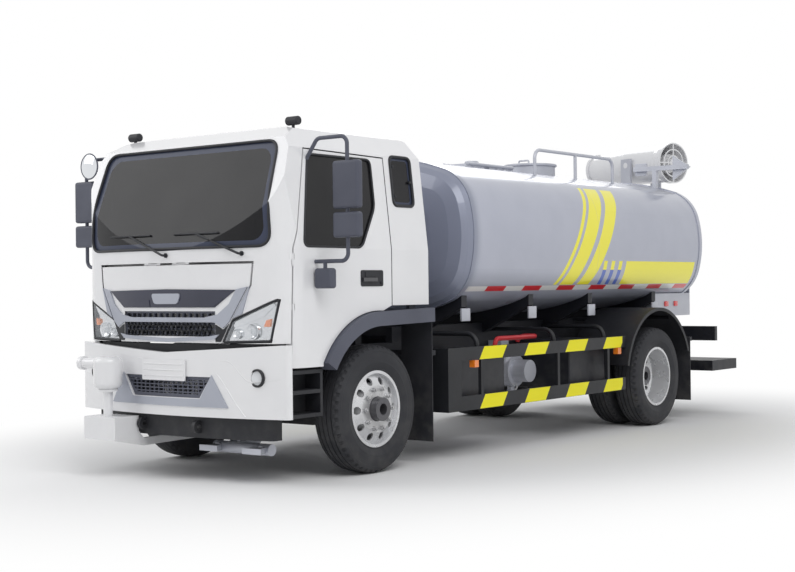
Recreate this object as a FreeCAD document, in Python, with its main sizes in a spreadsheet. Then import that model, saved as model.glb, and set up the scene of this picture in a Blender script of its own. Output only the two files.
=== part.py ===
import FreeCAD, Part
import math
import os
import Sketcher

# Two-axle water tanker truck with a fog cannon behind its tank and a spray gun at its bumper.
# Millimetres, +X forward, +Y left, +Z up; the origin is on the ground under the middle of the truck.
# Places along the truck are given from AXLE, the front axle, or from REAR, the rear one; ahead is positive.

SIZES = {
    # axles and wheels
    "front_axle_x": 2714, "wheelbase": 4500, "seat_clearance": 0.3, "cut_overrun": 20,
    "tyre_radius": 503, "tyre_section": 270, "tyre_bead_radius": 290, "tyre_tread_width": 214,
    "tyre_shoulder_drop": 14, "tyre_bead_width": 200, "sidewall_radius": 385,
    "sidewall_share": 0.6, "rim_flange_radius": 301,
    "rim_flange_width": 11, "rim_wall": 12, "rim_disc_thickness": 14, "rim_hand_hole_radius": 30,
    "rim_hand_hole_circle": 224, "rim_hand_hole_count": 10, "rim_nut_circle": 160, "rim_nut_radius": 17,
    "rim_nut_height": 26, "rim_crown_radius": 184, "hub_radius": 92, "hub_length": 62,
    "hub_bore_radius": 45, "drum_radius": 205, "drum_width": 150, "front_wheel_y": 988,
    "front_disc_offset": 104, "front_disc_crown": 45, "rear_outer_wheel_y": 1091,
    "rear_wheel_spacing": 326, "rear_disc_crown": 60, "rear_hub_radius": 105, "rear_hub_length": 150,
    # steering knuckles
    "kingpin_y": 800, "kingpin_radius": 24, "kingpin_height": 250, "kingpin_clearance": 0.5,
    "knuckle_ear_radius": 52, "knuckle_ear_height": 44, "knuckle_block_width": 84,
    "spindle_radius": 44.7, "spindle_length": 245, "steering_arm_reach": 190, "steering_arm_height": 34,
    "axle_boss_radius": 50, "axle_boss_height": 130,
    # front axle beam, springs and rear axle
    "beam_depth": 96, "beam_height": 92, "beam_drop": 110, "beam_drop_half": 560, "beam_flat_half": 480,
    "spring_inner_y": 385, "spring_width": 80, "spring_half_length": 720, "spring_leaf_pack": 62,
    "spring_arch": 120, "spring_eye_radius": 34, "hanger_width": 110, "hanger_length": 90,
    "rear_spring_half_length": 780, "rear_spring_inner_y": 436, "axle_tube_radius": 72,
    "axle_bowl_radius": 208, "axle_bowl_half": 150, "axle_neck_half": 300, "axle_end_radius": 44.7,
    "axle_end_half": 1010, "axle_drum_plate": 700, "pinion_radius": 95, "pinion_length": 330,
    # frame rails and subframe
    "rail_front": 1040, "rail_rear": -1500, "rail_outer_y": 430, "rail_flange": 75, "rail_wall": 8,
    "rail_bottom": 720, "rail_top": 970, "crossmember_width": 80, "crossmember_inset": 35,
    "crossmember_one": 870, "crossmember_two": -1030, "crossmember_three": -2300,
    "crossmember_four": 1000, "crossmember_five": -650, "crossmember_six": -1430,
    "subframe_front": -1060, "subframe_rear": -1400, "subframe_top": 1105, "saddle_half": 950,
    "saddle_width": 80, "saddle_one": -1420, "saddle_two": -2500, "saddle_three": 910,
    "saddle_four": -430, "saddle_foot": 90, "saddle_rim_drop": 85,
    # engine, gearbox and shafts
    "engine_front": 440, "engine_rear": -420, "engine_half": 330, "engine_bottom": 560,
    "engine_top": 1195, "gearbox_rear": -980, "gearbox_half": 190, "gearbox_bottom": 600,
    "gearbox_top": 930, "shaft_radius": 48,
    # boxes and vessels on the frame
    "fuel_front": -1120, "fuel_rear_share": 0.4222, "fuel_inner_y": 470, "fuel_outer_y": 1040,
    "fuel_bottom": 400, "fuel_top": 900, "fuel_edge": 70, "tray_height": 40, "battery_front": -1050,
    "battery_rear": -1700, "battery_inner_y": 470, "battery_outer_y": 1010, "battery_bottom": 430,
    "battery_top": 900, "battery_edge": 18, "air_tank_radius": 125, "air_tank_length": 900,
    "air_tank_front": -1850, "air_tank_y": 800, "air_tank_z": 640, "air_tank_strap": 40,
    "toolbox_front": 1540, "toolbox_rear": 860, "toolbox_inner_y": 470, "toolbox_outer_y": 1080,
    "toolbox_bottom": 470, "toolbox_top": 930, "toolbox_edge": 16, "toolbox_lid": 12,
    "bracket_thickness": 30, "filter_radius": 62, "filter_height": 170, "filter_x": -880,
    "filter_y": 880, "filter_bottom": 545, "filter_head": 60,
    # pump and water pipes
    "pump_x": 1880, "pump_y": 640, "pump_z": 650, "pump_radius": 150, "pump_width": 130,
    "pump_motor_radius": 105, "pump_motor_length": 260, "pump_flange_radius": 92,
    "pump_flange_width": 22, "pump_outlet_radius": 50, "pump_foot_height": 60, "pipe_radius": 34,
    "pipe_bend": 110, "pipe_z": 400, "duckbill_left_y": 750, "duckbill_right_y": 300, "duckbill_x": 930,
    "duckbill_z": 250, "duckbill_slit": 190, "duckbill_length": 120, "duckbill_height": 22,
    # side guards
    "guard_front": -840, "guard_rear": 640, "guard_outer_y": 1190, "guard_rail_thickness": 30,
    "guard_low_bottom": 408, "guard_low_top": 530, "guard_high_bottom": 828, "guard_high_top": 940,
    "guard_end_width": 190, "guard_end_return": 230, "guard_post_width": 40, "guard_post_one": -1340,
    "guard_post_two": 1910, "guard_post_three": 980, "guard_stay_radius": 21, "guard_stay_height": 1045,
    "guard_stay_bend": 130, "guard_stay_foot": 14, "guard_stay_gap": 5,
    # rear fenders, mudflaps and steps
    "fender_radius": 700, "fender_skin": 8, "fender_inner_y": 600, "fender_outer_y": 1245,
    "fender_lip": 26, "fender_front_angle": 12, "fender_rear_angle": 20, "fender_stay_radius": 19,
    "fender_stay_height": 1096, "fender_stay_step": 350, "front_flap_x": -690,
    "front_flap_inner_y": 820, "front_flap_outer_y": 1135, "front_flap_bottom": 183,
    "front_flap_top": 1167.7, "rear_flap_x": -735, "rear_flap_bottom": 205, "rear_flap_top": 880,
    "flap_thickness": 10, "flap_bracket": 40, "step_front": 1000, "step_rear": 640, "step_inner_y": 760,
    "step_outer_y": 1100, "step_bottom": 500, "step_top": 850, "step_wall": 28, "step_tread": 675,
    "step_recess": 150,
    # front bumper
    "bumper_front": 1215, "bumper_curve_radius": 4000, "bumper_corner_radius": 44, "bumper_half": 1135,
    "bumper_end": 1013, "bumper_skin": 42, "bumper_bottom": 500, "bumper_centre_top": 978,
    "bumper_side_top": 1040, "intake_half": 470, "intake_foot_half": 365, "intake_top": 800,
    "intake_bottom": 640, "fog_lamp_y": 880, "fog_lamp_z": 800, "fog_lamp_radius": 52, "mesh_depth": 14,
    "mesh_bar": 9, "mesh_rows": 5, "mesh_columns": 17, "valance_front": 1150, "valance_thickness": 24,
    "valance_half": 960, "valance_bottom": 335, "valance_end": 940, "tow_pin_y": 300, "tow_pin_z": 420,
    "tow_bore_radius": 20, "tow_eye_radius": 48, "tow_eye_width": 34,
    # spray gun at the right of the bumper
    "gun_x": 1340, "gun_y": -500, "gun_box_front": 1420, "gun_box_rear": 1180, "gun_box_half": 190,
    "gun_box_bottom": 300, "gun_box_top": 478, "gun_plate": 12, "gun_riser_radius": 36,
    "gun_riser_top": 672, "gun_flange_radius": 78, "gun_flange_height": 18, "gun_arm_y": -330,
    "gun_arm_thickness": 24, "gun_arm_low": 240, "gun_arm_kink": 1130, "gun_arm_rear": 480,
    "gun_upright_one": 860, "gun_upright_two": 560, "gun_upright_width": 60, "gun_housing_radius": 112,
    "gun_housing_height": 250, "gun_housing_edge": 48, "gun_nozzle_radius": 42,
    "gun_nozzle_length": 320, "gun_nozzle_height": 236, "gun_gap": 6,
    # tank
    "tank_front": -1290, "tank_rear": -1190, "tank_half_width": 1148, "tank_centre_z": 1893,
    "tank_half_height": 715, "tank_top_radius": 2600, "tank_side_radius": 1100,
    "tank_corner_radius": 420, "tank_rim": 60, "tank_rim_proud": 8, "tank_head_depth": 130,
    # fittings on top of the tank
    "manhole_x": 490, "manhole_neck_radius": 262, "manhole_bore_radius": 240, "manhole_height": 90,
    "manhole_depth": 400, "lid_radius": 280, "lid_thickness": 26, "lid_gap": 0.5,
    "lid_hinge_reach": 330, "lid_hinge_radius": 14, "lid_hinge_half": 60, "lid_handle_radius": 9,
    "walk_front": 1850, "walk_rear": 1050, "walk_half": 140, "walk_height": 42, "handrail_y": 600,
    "handrail_front": 1350, "handrail_rear": -200, "handrail_top": 2790, "handrail_radius": 17,
    "handrail_bend": 90,
    # fog cannon
    "cannon_x": -1980, "cannon_axis_z": 2860, "cannon_yaw": -107, "cannon_mouth": 750,
    "cannon_inlet": -530, "cannon_mouth_radius": 180, "cannon_body_radius": 218, "cannon_cone_end": 120,
    "cannon_inlet_radius": 235, "cannon_ring_width": 70, "cannon_wall": 14, "cannon_lip": 18,
    "trunnion_radius": 34, "yoke_gap": 12, "yoke_arm": 30, "yoke_arm_width": 150,
    "turntable_radius": 190, "turntable_height": 70, "turntable_gap": 0.5, "turntable_z": 2320,
    "column_half": 110, "column_cap": 230, "column_cap_height": 24, "column_foot": 210,
    "column_brace_z": 2050, "column_brace_height": 80,
    # platform, cabinet and signs at the rear
    "platform_front": -1430, "platform_rear": -2060, "platform_half": 1150, "platform_bottom": 478,
    "platform_top": 592, "platform_bar": 70, "rear_bar_bottom": 813, "rear_bar_top": 973,
    "rear_bar_depth": 60, "platform_hanger": 60, "deck_thickness": 14, "cabinet_front": -490,
    "cabinet_rear": -1350, "cabinet_half": 930, "cabinet_bottom": 1105, "cabinet_top": 1420,
    "cabinet_edge": 24, "tail_lamp_y": 830, "tail_lamp_half": 190, "tail_lamp_height": 120,
    "tail_lamp_depth": 50, "marker_size": 60, "marker_depth": 24, "marker_front": -1220,
    "marker_rear": 800, "arrow_x": -1060, "arrow_beam": 50, "arrow_beam_z": 2740,
    "arrow_beam_inner": 400, "arrow_beam_outer": 1060, "arrow_post_y": 660, "arrow_head_y": 930,
    "arrow_head_half": 135, "arrow_thickness": 36,
    # cab walls
    "cab_front": 1175, "cab_curve_radius": 4000, "cab_corner_radius": 240, "cab_half": 1130,
    "cab_rear": -660, "cab_wall": 50, "cab_nose_bottom": 1050, "cab_floor": 1310,
    "cab_skirt_bottom": 870, "cab_footwell_rear": 470, "cab_floor_skin": 40, "cowl_front": 1190,
    "cowl_z": 1750, "screen_top_x": 900, "screen_top_z": 2580, "brow_x": 720, "brow_z": 2672,
    "roof_front_x": 440, "roof_top": 2722, "roof_rear_x": -440, "roof_drop_x": -612,
    "roof_drop_z": 2640, "rear_drop_z": 2490, "belt_z": 1750, "roof_side_y": 1045, "roof_side_z": 2500,
    "roof_edge_y": 930, "roof_edge_z": 2655, "roof_flat_y": 600, "cab_pivot_x": 1110,
    "cab_pivot_z": 950, "firewall_x": 1030, "firewall_thickness": 20,
    # windscreen and the windows
    "screen_bottom_half": 985, "screen_top_half": 935, "screen_bottom_z": 1768, "screen_sill_z": 1750,
    "screen_top_edge_z": 2556, "glass_gap": 0.3, "screen_corner": 110,
    "window_corner": 55, "glass_inset": 10, "glass_thickness": 8,
    "window_front_x": 865, "window_sill_z": 1762, "window_kink_x": 190, "window_rear_x": -10,
    "window_kink_z": 2080, "window_top_z": 2455, "window_top_front_x": 735, "quarter_front": -258,
    "quarter_rear": -525, "quarter_bottom": 2105, "quarter_top": 2500, "quarter_corner": 50,
    # doors
    "door_front_x": 970, "door_skirt_rear_x": 662, "arch_radius": 770, "door_arch_end_x": -60,
    "door_rear_x": -170, "door_belt_x": 950, "door_top_front_x": 765, "door_top_z": 2490,
    "door_rear_top_z": 2475, "seam": 10, "door_room": 26, "door_hinge_x": 955, "door_hinge_y": 1098,
    "hinge_radius": 9, "hinge_length": 45, "hinge_pocket": 12, "hinge_leaf": 16, "leaf_room": 5, "hinge_gap": 0.5,
    "hinge_low_z": 1250, "hinge_high_z": 1620, "handle_x": 30, "handle_z": 1500, "handle_length": 170,
    "handle_height": 30, "handle_proud": 22,
    # mirrors
    "mirror_pole_x": 740, "mirror_pole_y": 1446, "mirror_pole_top": 2560, "mirror_pole_bottom": 1650,
    "mirror_pole_radius": 15, "mirror_bend": 60, "mirror_root_y": 1040, "mirror_root_top": 2400,
    "mirror_root_low_y": 1105, "mirror_thickness": 70, "mirror_half_width": 122,
    "mirror_main_bottom": 2030, "mirror_main_top": 2380, "mirror_wide_bottom": 1820,
    "mirror_wide_top": 2005, "mirror_edge": 22, "kerb_mirror_y": 1225, "kerb_mirror_bottom": 1450,
    "kerb_mirror_top": 1600, "kerb_mirror_half": 85,
    # front flap, grille and headlamps
    "flap_top_z": 1640, "flap_top_half": 826, "flap_shoulder_z": 1480, "flap_shoulder_half": 806,
    "flap_lamp_half": 640, "flap_lamp_z": 1215, "flap_bottom_half": 552, "flap_bottom_z": 1052,
    "flap_wall": 42, "flap_seam": 18, "flap_hinge_x": 1176, "flap_hinge_z": 1648,
    "flap_hinge_radius": 5, "flap_hinge_inner": 110, "flap_hinge_outer": 200, "grille_top_half": 500,
    "grille_top_z": 1290, "grille_bottom_half": 500, "grille_bottom_z": 1100, "grille_depth": 30,
    "grille_bar": 11, "grille_rows": 4, "grille_columns": 15, "grille_frame": 16, "grille_inset": 12,
    "lamp_inner_low_y": 560, "lamp_inner_high_y": 648, "lamp_low_z": 1052, "lamp_high_z": 1222,
    "lamp_tip_y": 1040, "lamp_tip_z": 1375, "lamp_outer_low_y": 980, "lamp_outer_low_z": 1062,
    "lamp_depth": 46, "lamp_recess": 6,
    # fender flares over the front wheels
    "flare_radius": 762, "flare_height": 112, "flare_outer_y": 1172, "flare_inner_y": 1036,
    "flare_rear": -690, "flare_rear_top": 1283, "flare_tab_one": -560, "flare_tab_two": -150,
    "flare_tab_length": 80, "flare_front_angle": 31, "flare_rear_low": 1168,
    # inside the cab
    "seat_width": 500, "seat_depth": 480, "seat_base_height": 330, "cushion_height": 120,
    "back_height": 620, "back_depth": 120, "seat_edge": 40, "seat_front": 330, "seat_y": 610,
    "middle_seat_width": 420, "dash_rear": 660, "dash_bottom": 1420, "dash_front": 1009,
    "dash_half": 1012, "dash_slope": 110, "column_radius": 32, "wheel_x": 420, "wheel_y": 610,
    "wheel_z": 1930, "wheel_ring_radius": 220, "wheel_tube_radius": 15, "wheel_tilt": 28,
    "wheel_hub_radius": 60, "wheel_hub_height": 36,
    # lamps and wipers
    "roof_lamp_x": 690, "roof_lamp_y": 880, "roof_lamp_radius": 34, "roof_lamp_height": 60,
    "roof_lamp_stalk": 12, "wiper_radius": 9, "wiper_left_y": 745, "wiper_right_y": 10,
    "wiper_arm": 455, "wiper_height": 160, "wiper_proud": 40, "blade_length": 470, "blade_radius": 7,
    "blade_seat_share": 1.12,
    # places that several pieces share
    "pipe_run_y": 330, "pipe_clamp_front": 800, "pipe_clamp_middle": -860, "pipe_clamp_rear": 2550,
    "pipe_high_z": 500, "lamp_rear": 955, "ear_rear": 960, "ear_radius": 24, "ear_width": 28,
    "ear_lean": 22, "cab_pin_radius": 14, "column_length": 560, "cab_post_x": -640,
    "cab_post_length": 80, "cab_post_bar": 60, "pivot_bracket_top": 985, "pivot_bracket_low": 880,
    "pipe_rise_rear": -1150, "pipe_rise_front": -950, "walk_treads": 6, "wiper_pivot_z": 1715,
    "wiper_boss_reach": 30, "roof_lamp_seat": 2640, "bumper_reach": 200, "bumper_dip_half": 1080,
    "bumper_stay_low": 760, "bumper_stay_top": 850, "mesh_frame": 26, "mesh_inset": 16,
    "gun_upright_top": 690, "gun_shelf_reach": 98, "strap_low_share": 0.2, "strap_high_share": 0.8,
    "elbow_share": 1.2, "header_share": 1.3, "outlet_share": 1.3, "ear_foot_share": 1.5, "spoke_share": 0.8,
    "column_foot_share": 1.3, "handle_rise_share": 2.5, "guard_inner_share": 0.4, "guard_outer_share": 0.7,
    "motor_boss_share": 1.2,
}


class Size:
    """A number together with the sheet expression that gives it."""

    def __init__(self, value, text):
        self.value = float(value)
        self.text = text

    def __add__(self, other):
        other = as_size(other)
        return Size(self.value + other.value, f"({self.text} + {other.text})")

    def __radd__(self, other):
        return as_size(other) + self

    def __sub__(self, other):
        other = as_size(other)
        return Size(self.value - other.value, f"({self.text} - {other.text})")

    def __rsub__(self, other):
        return as_size(other) - self

    def __mul__(self, other):
        other = as_size(other)
        return Size(self.value * other.value, f"({self.text} * {other.text})")

    def __rmul__(self, other):
        return self * other

    def __truediv__(self, other):
        other = as_size(other)
        return Size(self.value / other.value, f"({self.text} / {other.text})")

    def __neg__(self):
        return Size(-self.value, f"(0 - {self.text})")

    def root(self):
        return Size(math.sqrt(self.value), f"sqrt({self.text})")

    def sine(self):
        return Size(math.sin(math.radians(self.value)), f"sin({self.text} * 1 deg)")

    def cosine(self):
        return Size(math.cos(math.radians(self.value)), f"cos({self.text} * 1 deg)")


def as_size(value):
    """Take a Size as it is, and a plain number as a Size."""
    if isinstance(value, Size):
        return value
    return Size(value, f"({float(value)})")


class SizeSheet:
    """The spreadsheet of driving dimensions; each alias reads as an attribute."""

    def __init__(self, document, sizes):
        self.sheet = document.addObject("Spreadsheet::Sheet", "Sizes")
        for row, (alias, number) in enumerate(sizes.items(), 1):
            self.sheet.set(f"A{row}", alias)
            self.sheet.set(f"B{row}", str(number))
            self.sheet.setAlias(f"B{row}", alias)
        document.recompute()

    def __getattr__(self, alias):
        return Size(self.sheet.get(alias), f"Sizes.{alias}")


doc = FreeCAD.newDocument("TankerTruck")
S = SizeSheet(doc, SIZES)
AXLE = S.front_axle_x
REAR = AXLE - S.wheelbase
NODES = []
ENVELOPES = {}
PLANE_ROLES = {"XY": "XY_Plane", "XZ": "XZ_Plane", "YZ": "YZ_Plane"}
ACROSS = {"XY": "z", "XZ": "y", "YZ": "x"}
TUBE_ROOM_SHARE = 0.49
TURNS = {
    "x": FreeCAD.Rotation(FreeCAD.Vector(0, 1, 0), 90),
    "y": FreeCAD.Rotation(FreeCAD.Vector(1, 0, 0), -90),
    "z": FreeCAD.Rotation(),
}


def bind(target, path, size):
    """Tie one property of an object to its size."""
    target.setExpression(path, as_size(size).text)


def place(target, x=0, y=0, z=0):
    """Tie an object's base point to sizes."""
    for letter, size in (("x", x), ("y", y), ("z", z)):
        if isinstance(size, Size):
            bind(target, f"Placement.Base.{letter}", size)
    return target


def block(x, y, z):
    """A box between pairs of limits along each axis."""
    box = doc.addObject("Part::Box", "Block")
    bind(box, "Length", x[1] - x[0])
    bind(box, "Width", y[1] - y[0])
    bind(box, "Height", z[1] - z[0])
    return place(box, as_size(x[0]), as_size(y[0]), as_size(z[0]))


def rod(axis, centre, start, end, radius):
    """A cylinder along an axis from start to end; centre holds its two other coordinates."""
    cylinder = doc.addObject("Part::Cylinder", "Rod")
    cylinder.Placement = FreeCAD.Placement(FreeCAD.Vector(), TURNS[axis])
    bind(cylinder, "Radius", radius)
    bind(cylinder, "Height", end - start)
    spots = iter(centre)
    base = {letter: start if letter == axis else next(spots) for letter in "xyz"}
    return place(cylinder, *[as_size(base[letter]) for letter in "xyz"])


def draw(sketch, outline):
    """Draw one closed outline: (u, v) joins by a line, (u, v, radius) by an arc of that radius."""
    corners = [(as_size(p[0]), as_size(p[1]), as_size(p[2]) if len(p) > 2 else None) for p in outline]
    first = sketch.GeometryCount
    count = len(corners)
    for index, (u, v, _) in enumerate(corners):
        end_u, end_v, radius = corners[(index + 1) % count]
        start = FreeCAD.Vector(u.value, v.value, 0)
        end = FreeCAD.Vector(end_u.value, end_v.value, 0)
        if radius is None:
            sketch.addGeometry(Part.LineSegment(start, end), False)
            continue
        chord = end - start
        left = FreeCAD.Vector(-chord.y, chord.x, 0).normalize()
        rise = math.sqrt(max(radius.value ** 2 - (chord.Length / 2) ** 2, 0.0))
        side = 1 if radius.value > 0 else -1
        centre = (start + end) / 2 + left * rise * side
        middle = centre + ((start + end) / 2 - centre).normalize() * abs(radius.value)
        ends = (start, end) if side > 0 else (end, start)
        sketch.addGeometry(Part.Arc(ends[0], middle, ends[1]), False)
    for index, (u, v, _) in enumerate(corners):
        here = first + index
        before = first + (index - 1) % count
        turning = corners[index][2]
        leaving = corners[(index + 1) % count][2]
        point = 2 if leaving is not None and leaving.value < 0 else 1
        last = 1 if turning is not None and turning.value < 0 else 2
        if turning is not None:
            radial = sketch.addConstraint(Sketcher.Constraint("Radius", before, abs(turning.value)))
            text = turning.text if turning.value > 0 else f"(0 - {turning.text})"
            sketch.setExpression(f"Constraints[{radial}]", text)
        sketch.addConstraint(Sketcher.Constraint("Coincident", before, last, here, point))
        for kind, size in (("DistanceX", u), ("DistanceY", v)):
            lock = sketch.addConstraint(Sketcher.Constraint(kind, here, point, size.value))
            sketch.setExpression(f"Constraints[{lock}]", size.text)


def draw_circle(sketch, u, v, radius):
    """Draw one circle whose centre and radius follow sizes."""
    u, v, radius = as_size(u), as_size(v), as_size(radius)
    ring = Part.Circle(FreeCAD.Vector(u.value, v.value, 0), FreeCAD.Vector(0, 0, 1), radius.value)
    here = sketch.addGeometry(ring, False)
    for kind, size in (("DistanceX", u), ("DistanceY", v)):
        lock = sketch.addConstraint(Sketcher.Constraint(kind, here, 3, size.value))
        sketch.setExpression(f"Constraints[{lock}]", size.text)
    lock = sketch.addConstraint(Sketcher.Constraint("Radius", here, radius.value))
    sketch.setExpression(f"Constraints[{lock}]", radius.text)


def sketch_in(body, plane):
    """Start a sketch on one of the body's own origin planes."""
    sketch = body.newObject("Sketcher::SketchObject", "Outline")
    role = PLANE_ROLES[plane]
    flat = next(item for item in body.Origin.OriginFeatures if item.Role == role)
    sketch.AttachmentSupport = [(flat, "")]
    sketch.MapMode = "FlatFace"
    return sketch


def prism(plane, outline, start, end, holes=(), circles=()):
    """Pad an outline drawn in a plane between two places across that plane."""
    body = doc.addObject("PartDesign::Body", "Body")
    sketch = sketch_in(body, plane)
    if outline:
        draw(sketch, outline)
    for hole in holes:
        draw(sketch, hole)
    for circle in circles:
        draw_circle(sketch, *circle)
    pad = body.newObject("PartDesign::Pad", "Pad")
    pad.Profile = sketch
    pad.Reversed = plane == "XZ"
    bind(pad, "Length", end - start)
    bind(body, f"Placement.Base.{ACROSS[plane]}", start)
    return body


def turned(axis, outline, x=0, y=0, z=0):
    """Revolve an outline of (along, radius) points about an axis through a centre."""
    body = doc.addObject("PartDesign::Body", "Body")
    sketch = sketch_in(body, "YZ" if axis == "y" else "XZ")
    points = [(p[1], p[0]) + tuple(p[2:]) for p in outline] if axis == "z" else outline
    draw(sketch, points)
    revolution = body.newObject("PartDesign::Revolution", "Revolution")
    revolution.Profile = sketch
    revolution.ReferenceAxis = (sketch, ["V_Axis" if axis == "z" else "H_Axis"])
    revolution.Angle = 360
    return place(body, x, y, z)


def fused(pieces):
    """Join pieces; those that don't touch stay separate solids."""
    joined = doc.addObject("Part::MultiFuse", "Joined")
    joined.Shapes = list(pieces)
    joined.Refine = True
    return joined


def cut(base, *tools):
    """Take the tools away from the base."""
    result = doc.addObject("Part::Cut", "Cut")
    result.Base = base
    result.Tool = tools[0] if len(tools) == 1 else fused(tools)
    return result


def common(*pieces):
    """Keep what all the pieces share."""
    result = doc.addObject("Part::MultiCommon", "Common")
    result.Shapes = list(pieces)
    return result


def mirrored(piece):
    """Copy a piece across the truck's middle plane."""
    mirror = doc.addObject("Part::Mirroring", "Mirror")
    mirror.Source = piece
    mirror.Normal = FreeCAD.Vector(0, 1, 0)
    return mirror


def both_sides(*pieces):
    """A piece on the left and its mirror on the right."""
    return [copy for piece in pieces for copy in (piece, mirrored(piece))]


def rounded(piece, radius, wanted):
    """Round the edges of a piece whose middle and direction satisfy a test."""
    doc.recompute()
    fillet = doc.addObject("Part::Fillet", "Rounded")
    fillet.Base = piece
    edges = []
    for number, edge in enumerate(piece.Shape.Edges, 1):
        if wanted(edge):
            edges.append((number, radius.value, radius.value))
    fillet.Edges = edges
    return fillet


def runs_along(axis):
    """A test for straight edges along an axis."""
    direction = FreeCAD.Vector(*[float(letter == axis) for letter in "xyz"])

    def wanted(edge):
        if not isinstance(edge.Curve, Part.Line):
            return False
        return abs(edge.tangentAt(edge.FirstParameter).dot(direction)) > 0.999

    return wanted


def any_edge(edge):
    """A test that takes every edge."""
    return edge.Length > 0


def bent_tube(points, radius, bend):
    """A round tube through points, with an arc at each corner."""
    spots = [FreeCAD.Vector(*[as_size(number).value for number in point]) for point in points]
    edges = []
    here = spots[0]
    for before, corner, after in zip(spots, spots[1:], spots[2:]):
        towards = (before - corner).normalize()
        away = (after - corner).normalize()
        half = towards.getAngle(away) / 2
        room = min((before - corner).Length, (after - corner).Length) * TUBE_ROOM_SHARE
        back = min(bend.value / math.tan(half), room)
        reach = back * math.tan(half)
        start = corner + towards * back
        end = corner + away * back
        middle = corner + (towards + away).normalize() * (reach / math.sin(half) - reach)
        edges.append(Part.LineSegment(here, start).toShape())
        edges.append(Part.Arc(start, middle, end).toShape())
        here = end
    edges.append(Part.LineSegment(here, spots[-1]).toShape())
    path = Part.Wire(edges)
    circle = Part.Circle(spots[0], (spots[1] - spots[0]).normalize(), radius.value)
    tube = doc.addObject("Part::Feature", "Tube")
    tube.Shape = path.makePipeShell([Part.Wire([circle.toShape()])], True, False)
    return tube


def swung(piece, x, y, angle):
    """A copy of a piece turned about an upright axis."""
    doc.recompute()
    copy = doc.addObject("Part::Feature", "Swung")
    shape = piece.Shape.copy()
    shape.rotate(FreeCAD.Vector(x.value, y.value, 0), FreeCAD.Vector(0, 0, 1), angle.value)
    copy.Shape = shape
    return copy


def tilted(piece, x, z, angle):
    """A copy of a piece leant back about a crosswise axis."""
    doc.recompute()
    copy = doc.addObject("Part::Feature", "Tilted")
    shape = piece.Shape.copy()
    shape.rotate(FreeCAD.Vector(x.value, 0, z.value), FreeCAD.Vector(0, 1, 0), -angle.value)
    copy.Shape = shape
    return copy


def node(name, *pieces):
    """Name a finished sub-part."""
    whole = pieces[0] if len(pieces) == 1 else fused(pieces)
    whole.Label = name
    NODES.append(whole)
    return whole


def rounded_rectangle(left, right, bottom, top, corner):
    """The outline of a rectangle whose corners are arcs."""
    return [
        (right - corner, bottom), (right, bottom + corner, corner), (right, top - corner),
        (right - corner, top, corner), (left + corner, top), (left, top - corner, corner),
        (left, bottom + corner), (left + corner, bottom, corner),
    ]


def rounded_corners(corners, reach, plain=()):
    """Round an outline's corners with arcs that start a reach away from each; plain ones stay sharp."""
    outline = []
    count = len(corners)
    for index, (u, v) in enumerate(corners):
        if index in plain:
            outline.append((u, v))
            continue
        before, after = corners[index - 1], corners[(index + 1) % count]
        sides = [(other[0] - u, other[1] - v) for other in (before, after)]
        lengths = [(across * across + up * up).root() for across, up in sides]
        spots = [
            (u + across * reach / length, v + up * reach / length)
            for (across, up), length in zip(sides, lengths)
        ]
        chord_u, chord_v = spots[1][0] - spots[0][0], spots[1][1] - spots[0][1]
        half_chord = (chord_u * chord_u + chord_v * chord_v).root() / 2
        radius = reach * half_chord / (reach * reach - half_chord * half_chord).root()
        outline.append(spots[0])
        outline.append((*spots[1], radius))
    return outline


def rim_outline(sign, half, disc, crown, hub=()):
    """Section of a rim with its disc: (along, radius), outwards where sign is 1."""
    well = S.tyre_bead_radius - S.seat_clearance
    inner = well - S.rim_wall
    mount = disc
    face = mount + S.rim_disc_thickness
    edge = half - S.rim_flange_width
    return [
        (sign * -half, inner), (sign * (mount - crown), inner),
        (sign * mount, S.rim_crown_radius), (sign * mount, S.hub_bore_radius), *hub,
        (sign * face, S.hub_bore_radius if not hub else hub[-1][1]), (sign * face, S.rim_crown_radius),
        (sign * (face - crown), inner), (sign * half, inner),
        (sign * half, S.rim_flange_radius), (sign * edge, S.rim_flange_radius), (sign * edge, well),
        (sign * -edge, well), (sign * -edge, S.rim_flange_radius), (sign * -half, S.rim_flange_radius),
    ]


def tyre_outline():
    """Section of a tyre: (along, radius)."""
    bead = S.tyre_bead_radius
    half = S.tyre_section / 2
    seat = S.tyre_bead_width / 2
    tread = S.tyre_tread_width / 2
    shoulder = S.tyre_radius - S.tyre_shoulder_drop
    right = [
        (seat, bead), (seat, S.rim_flange_radius + S.seat_clearance),
        (half, S.sidewall_radius, S.tyre_section * S.sidewall_share),
        (tread, shoulder, S.tyre_section * S.sidewall_share),
        (tread - S.tyre_shoulder_drop, S.tyre_radius),
    ]
    left = [
        (-(tread - S.tyre_shoulder_drop), S.tyre_radius), (-tread, shoulder),
        (-half, S.sidewall_radius, S.tyre_section * S.sidewall_share),
        (-seat, S.rim_flange_radius + S.seat_clearance, S.tyre_section * S.sidewall_share), (-seat, bead),
    ]
    return right + left


def ring_of(piece_at, count, radius, axis_x, axis_z):
    """Pieces on a circle about an axle: piece_at makes one from its x and z."""
    pieces = []
    for step in range(int(count.value)):
        angle = Size(360.0 * step / count.value, f"(360 * {step} / {count.text})")
        pieces.append(piece_at(axis_x + radius * angle.cosine(), axis_z + radius * angle.sine()))
    return pieces


def one_rim(x, y, sign, disc, crown, hub=()):
    """A rim with hand holes, at axle place x and centre y; hub lists the hub's section points."""
    half = S.tyre_bead_width / 2 + S.seat_clearance + S.rim_flange_width
    rim = turned("y", rim_outline(sign, half, disc, crown, hub), x, y, S.tyre_radius)
    near = y + sign * (disc - crown - S.rim_disc_thickness)
    far = y + sign * (disc + S.rim_disc_thickness + S.cut_overrun)
    start, end = (near, far) if sign > 0 else (far, near)

    def hole(px, pz):
        return rod("y", (px, pz), start, end, S.rim_hand_hole_radius)

    return cut(rim, *ring_of(hole, S.rim_hand_hole_count, S.rim_hand_hole_circle, x, S.tyre_radius))


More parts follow.
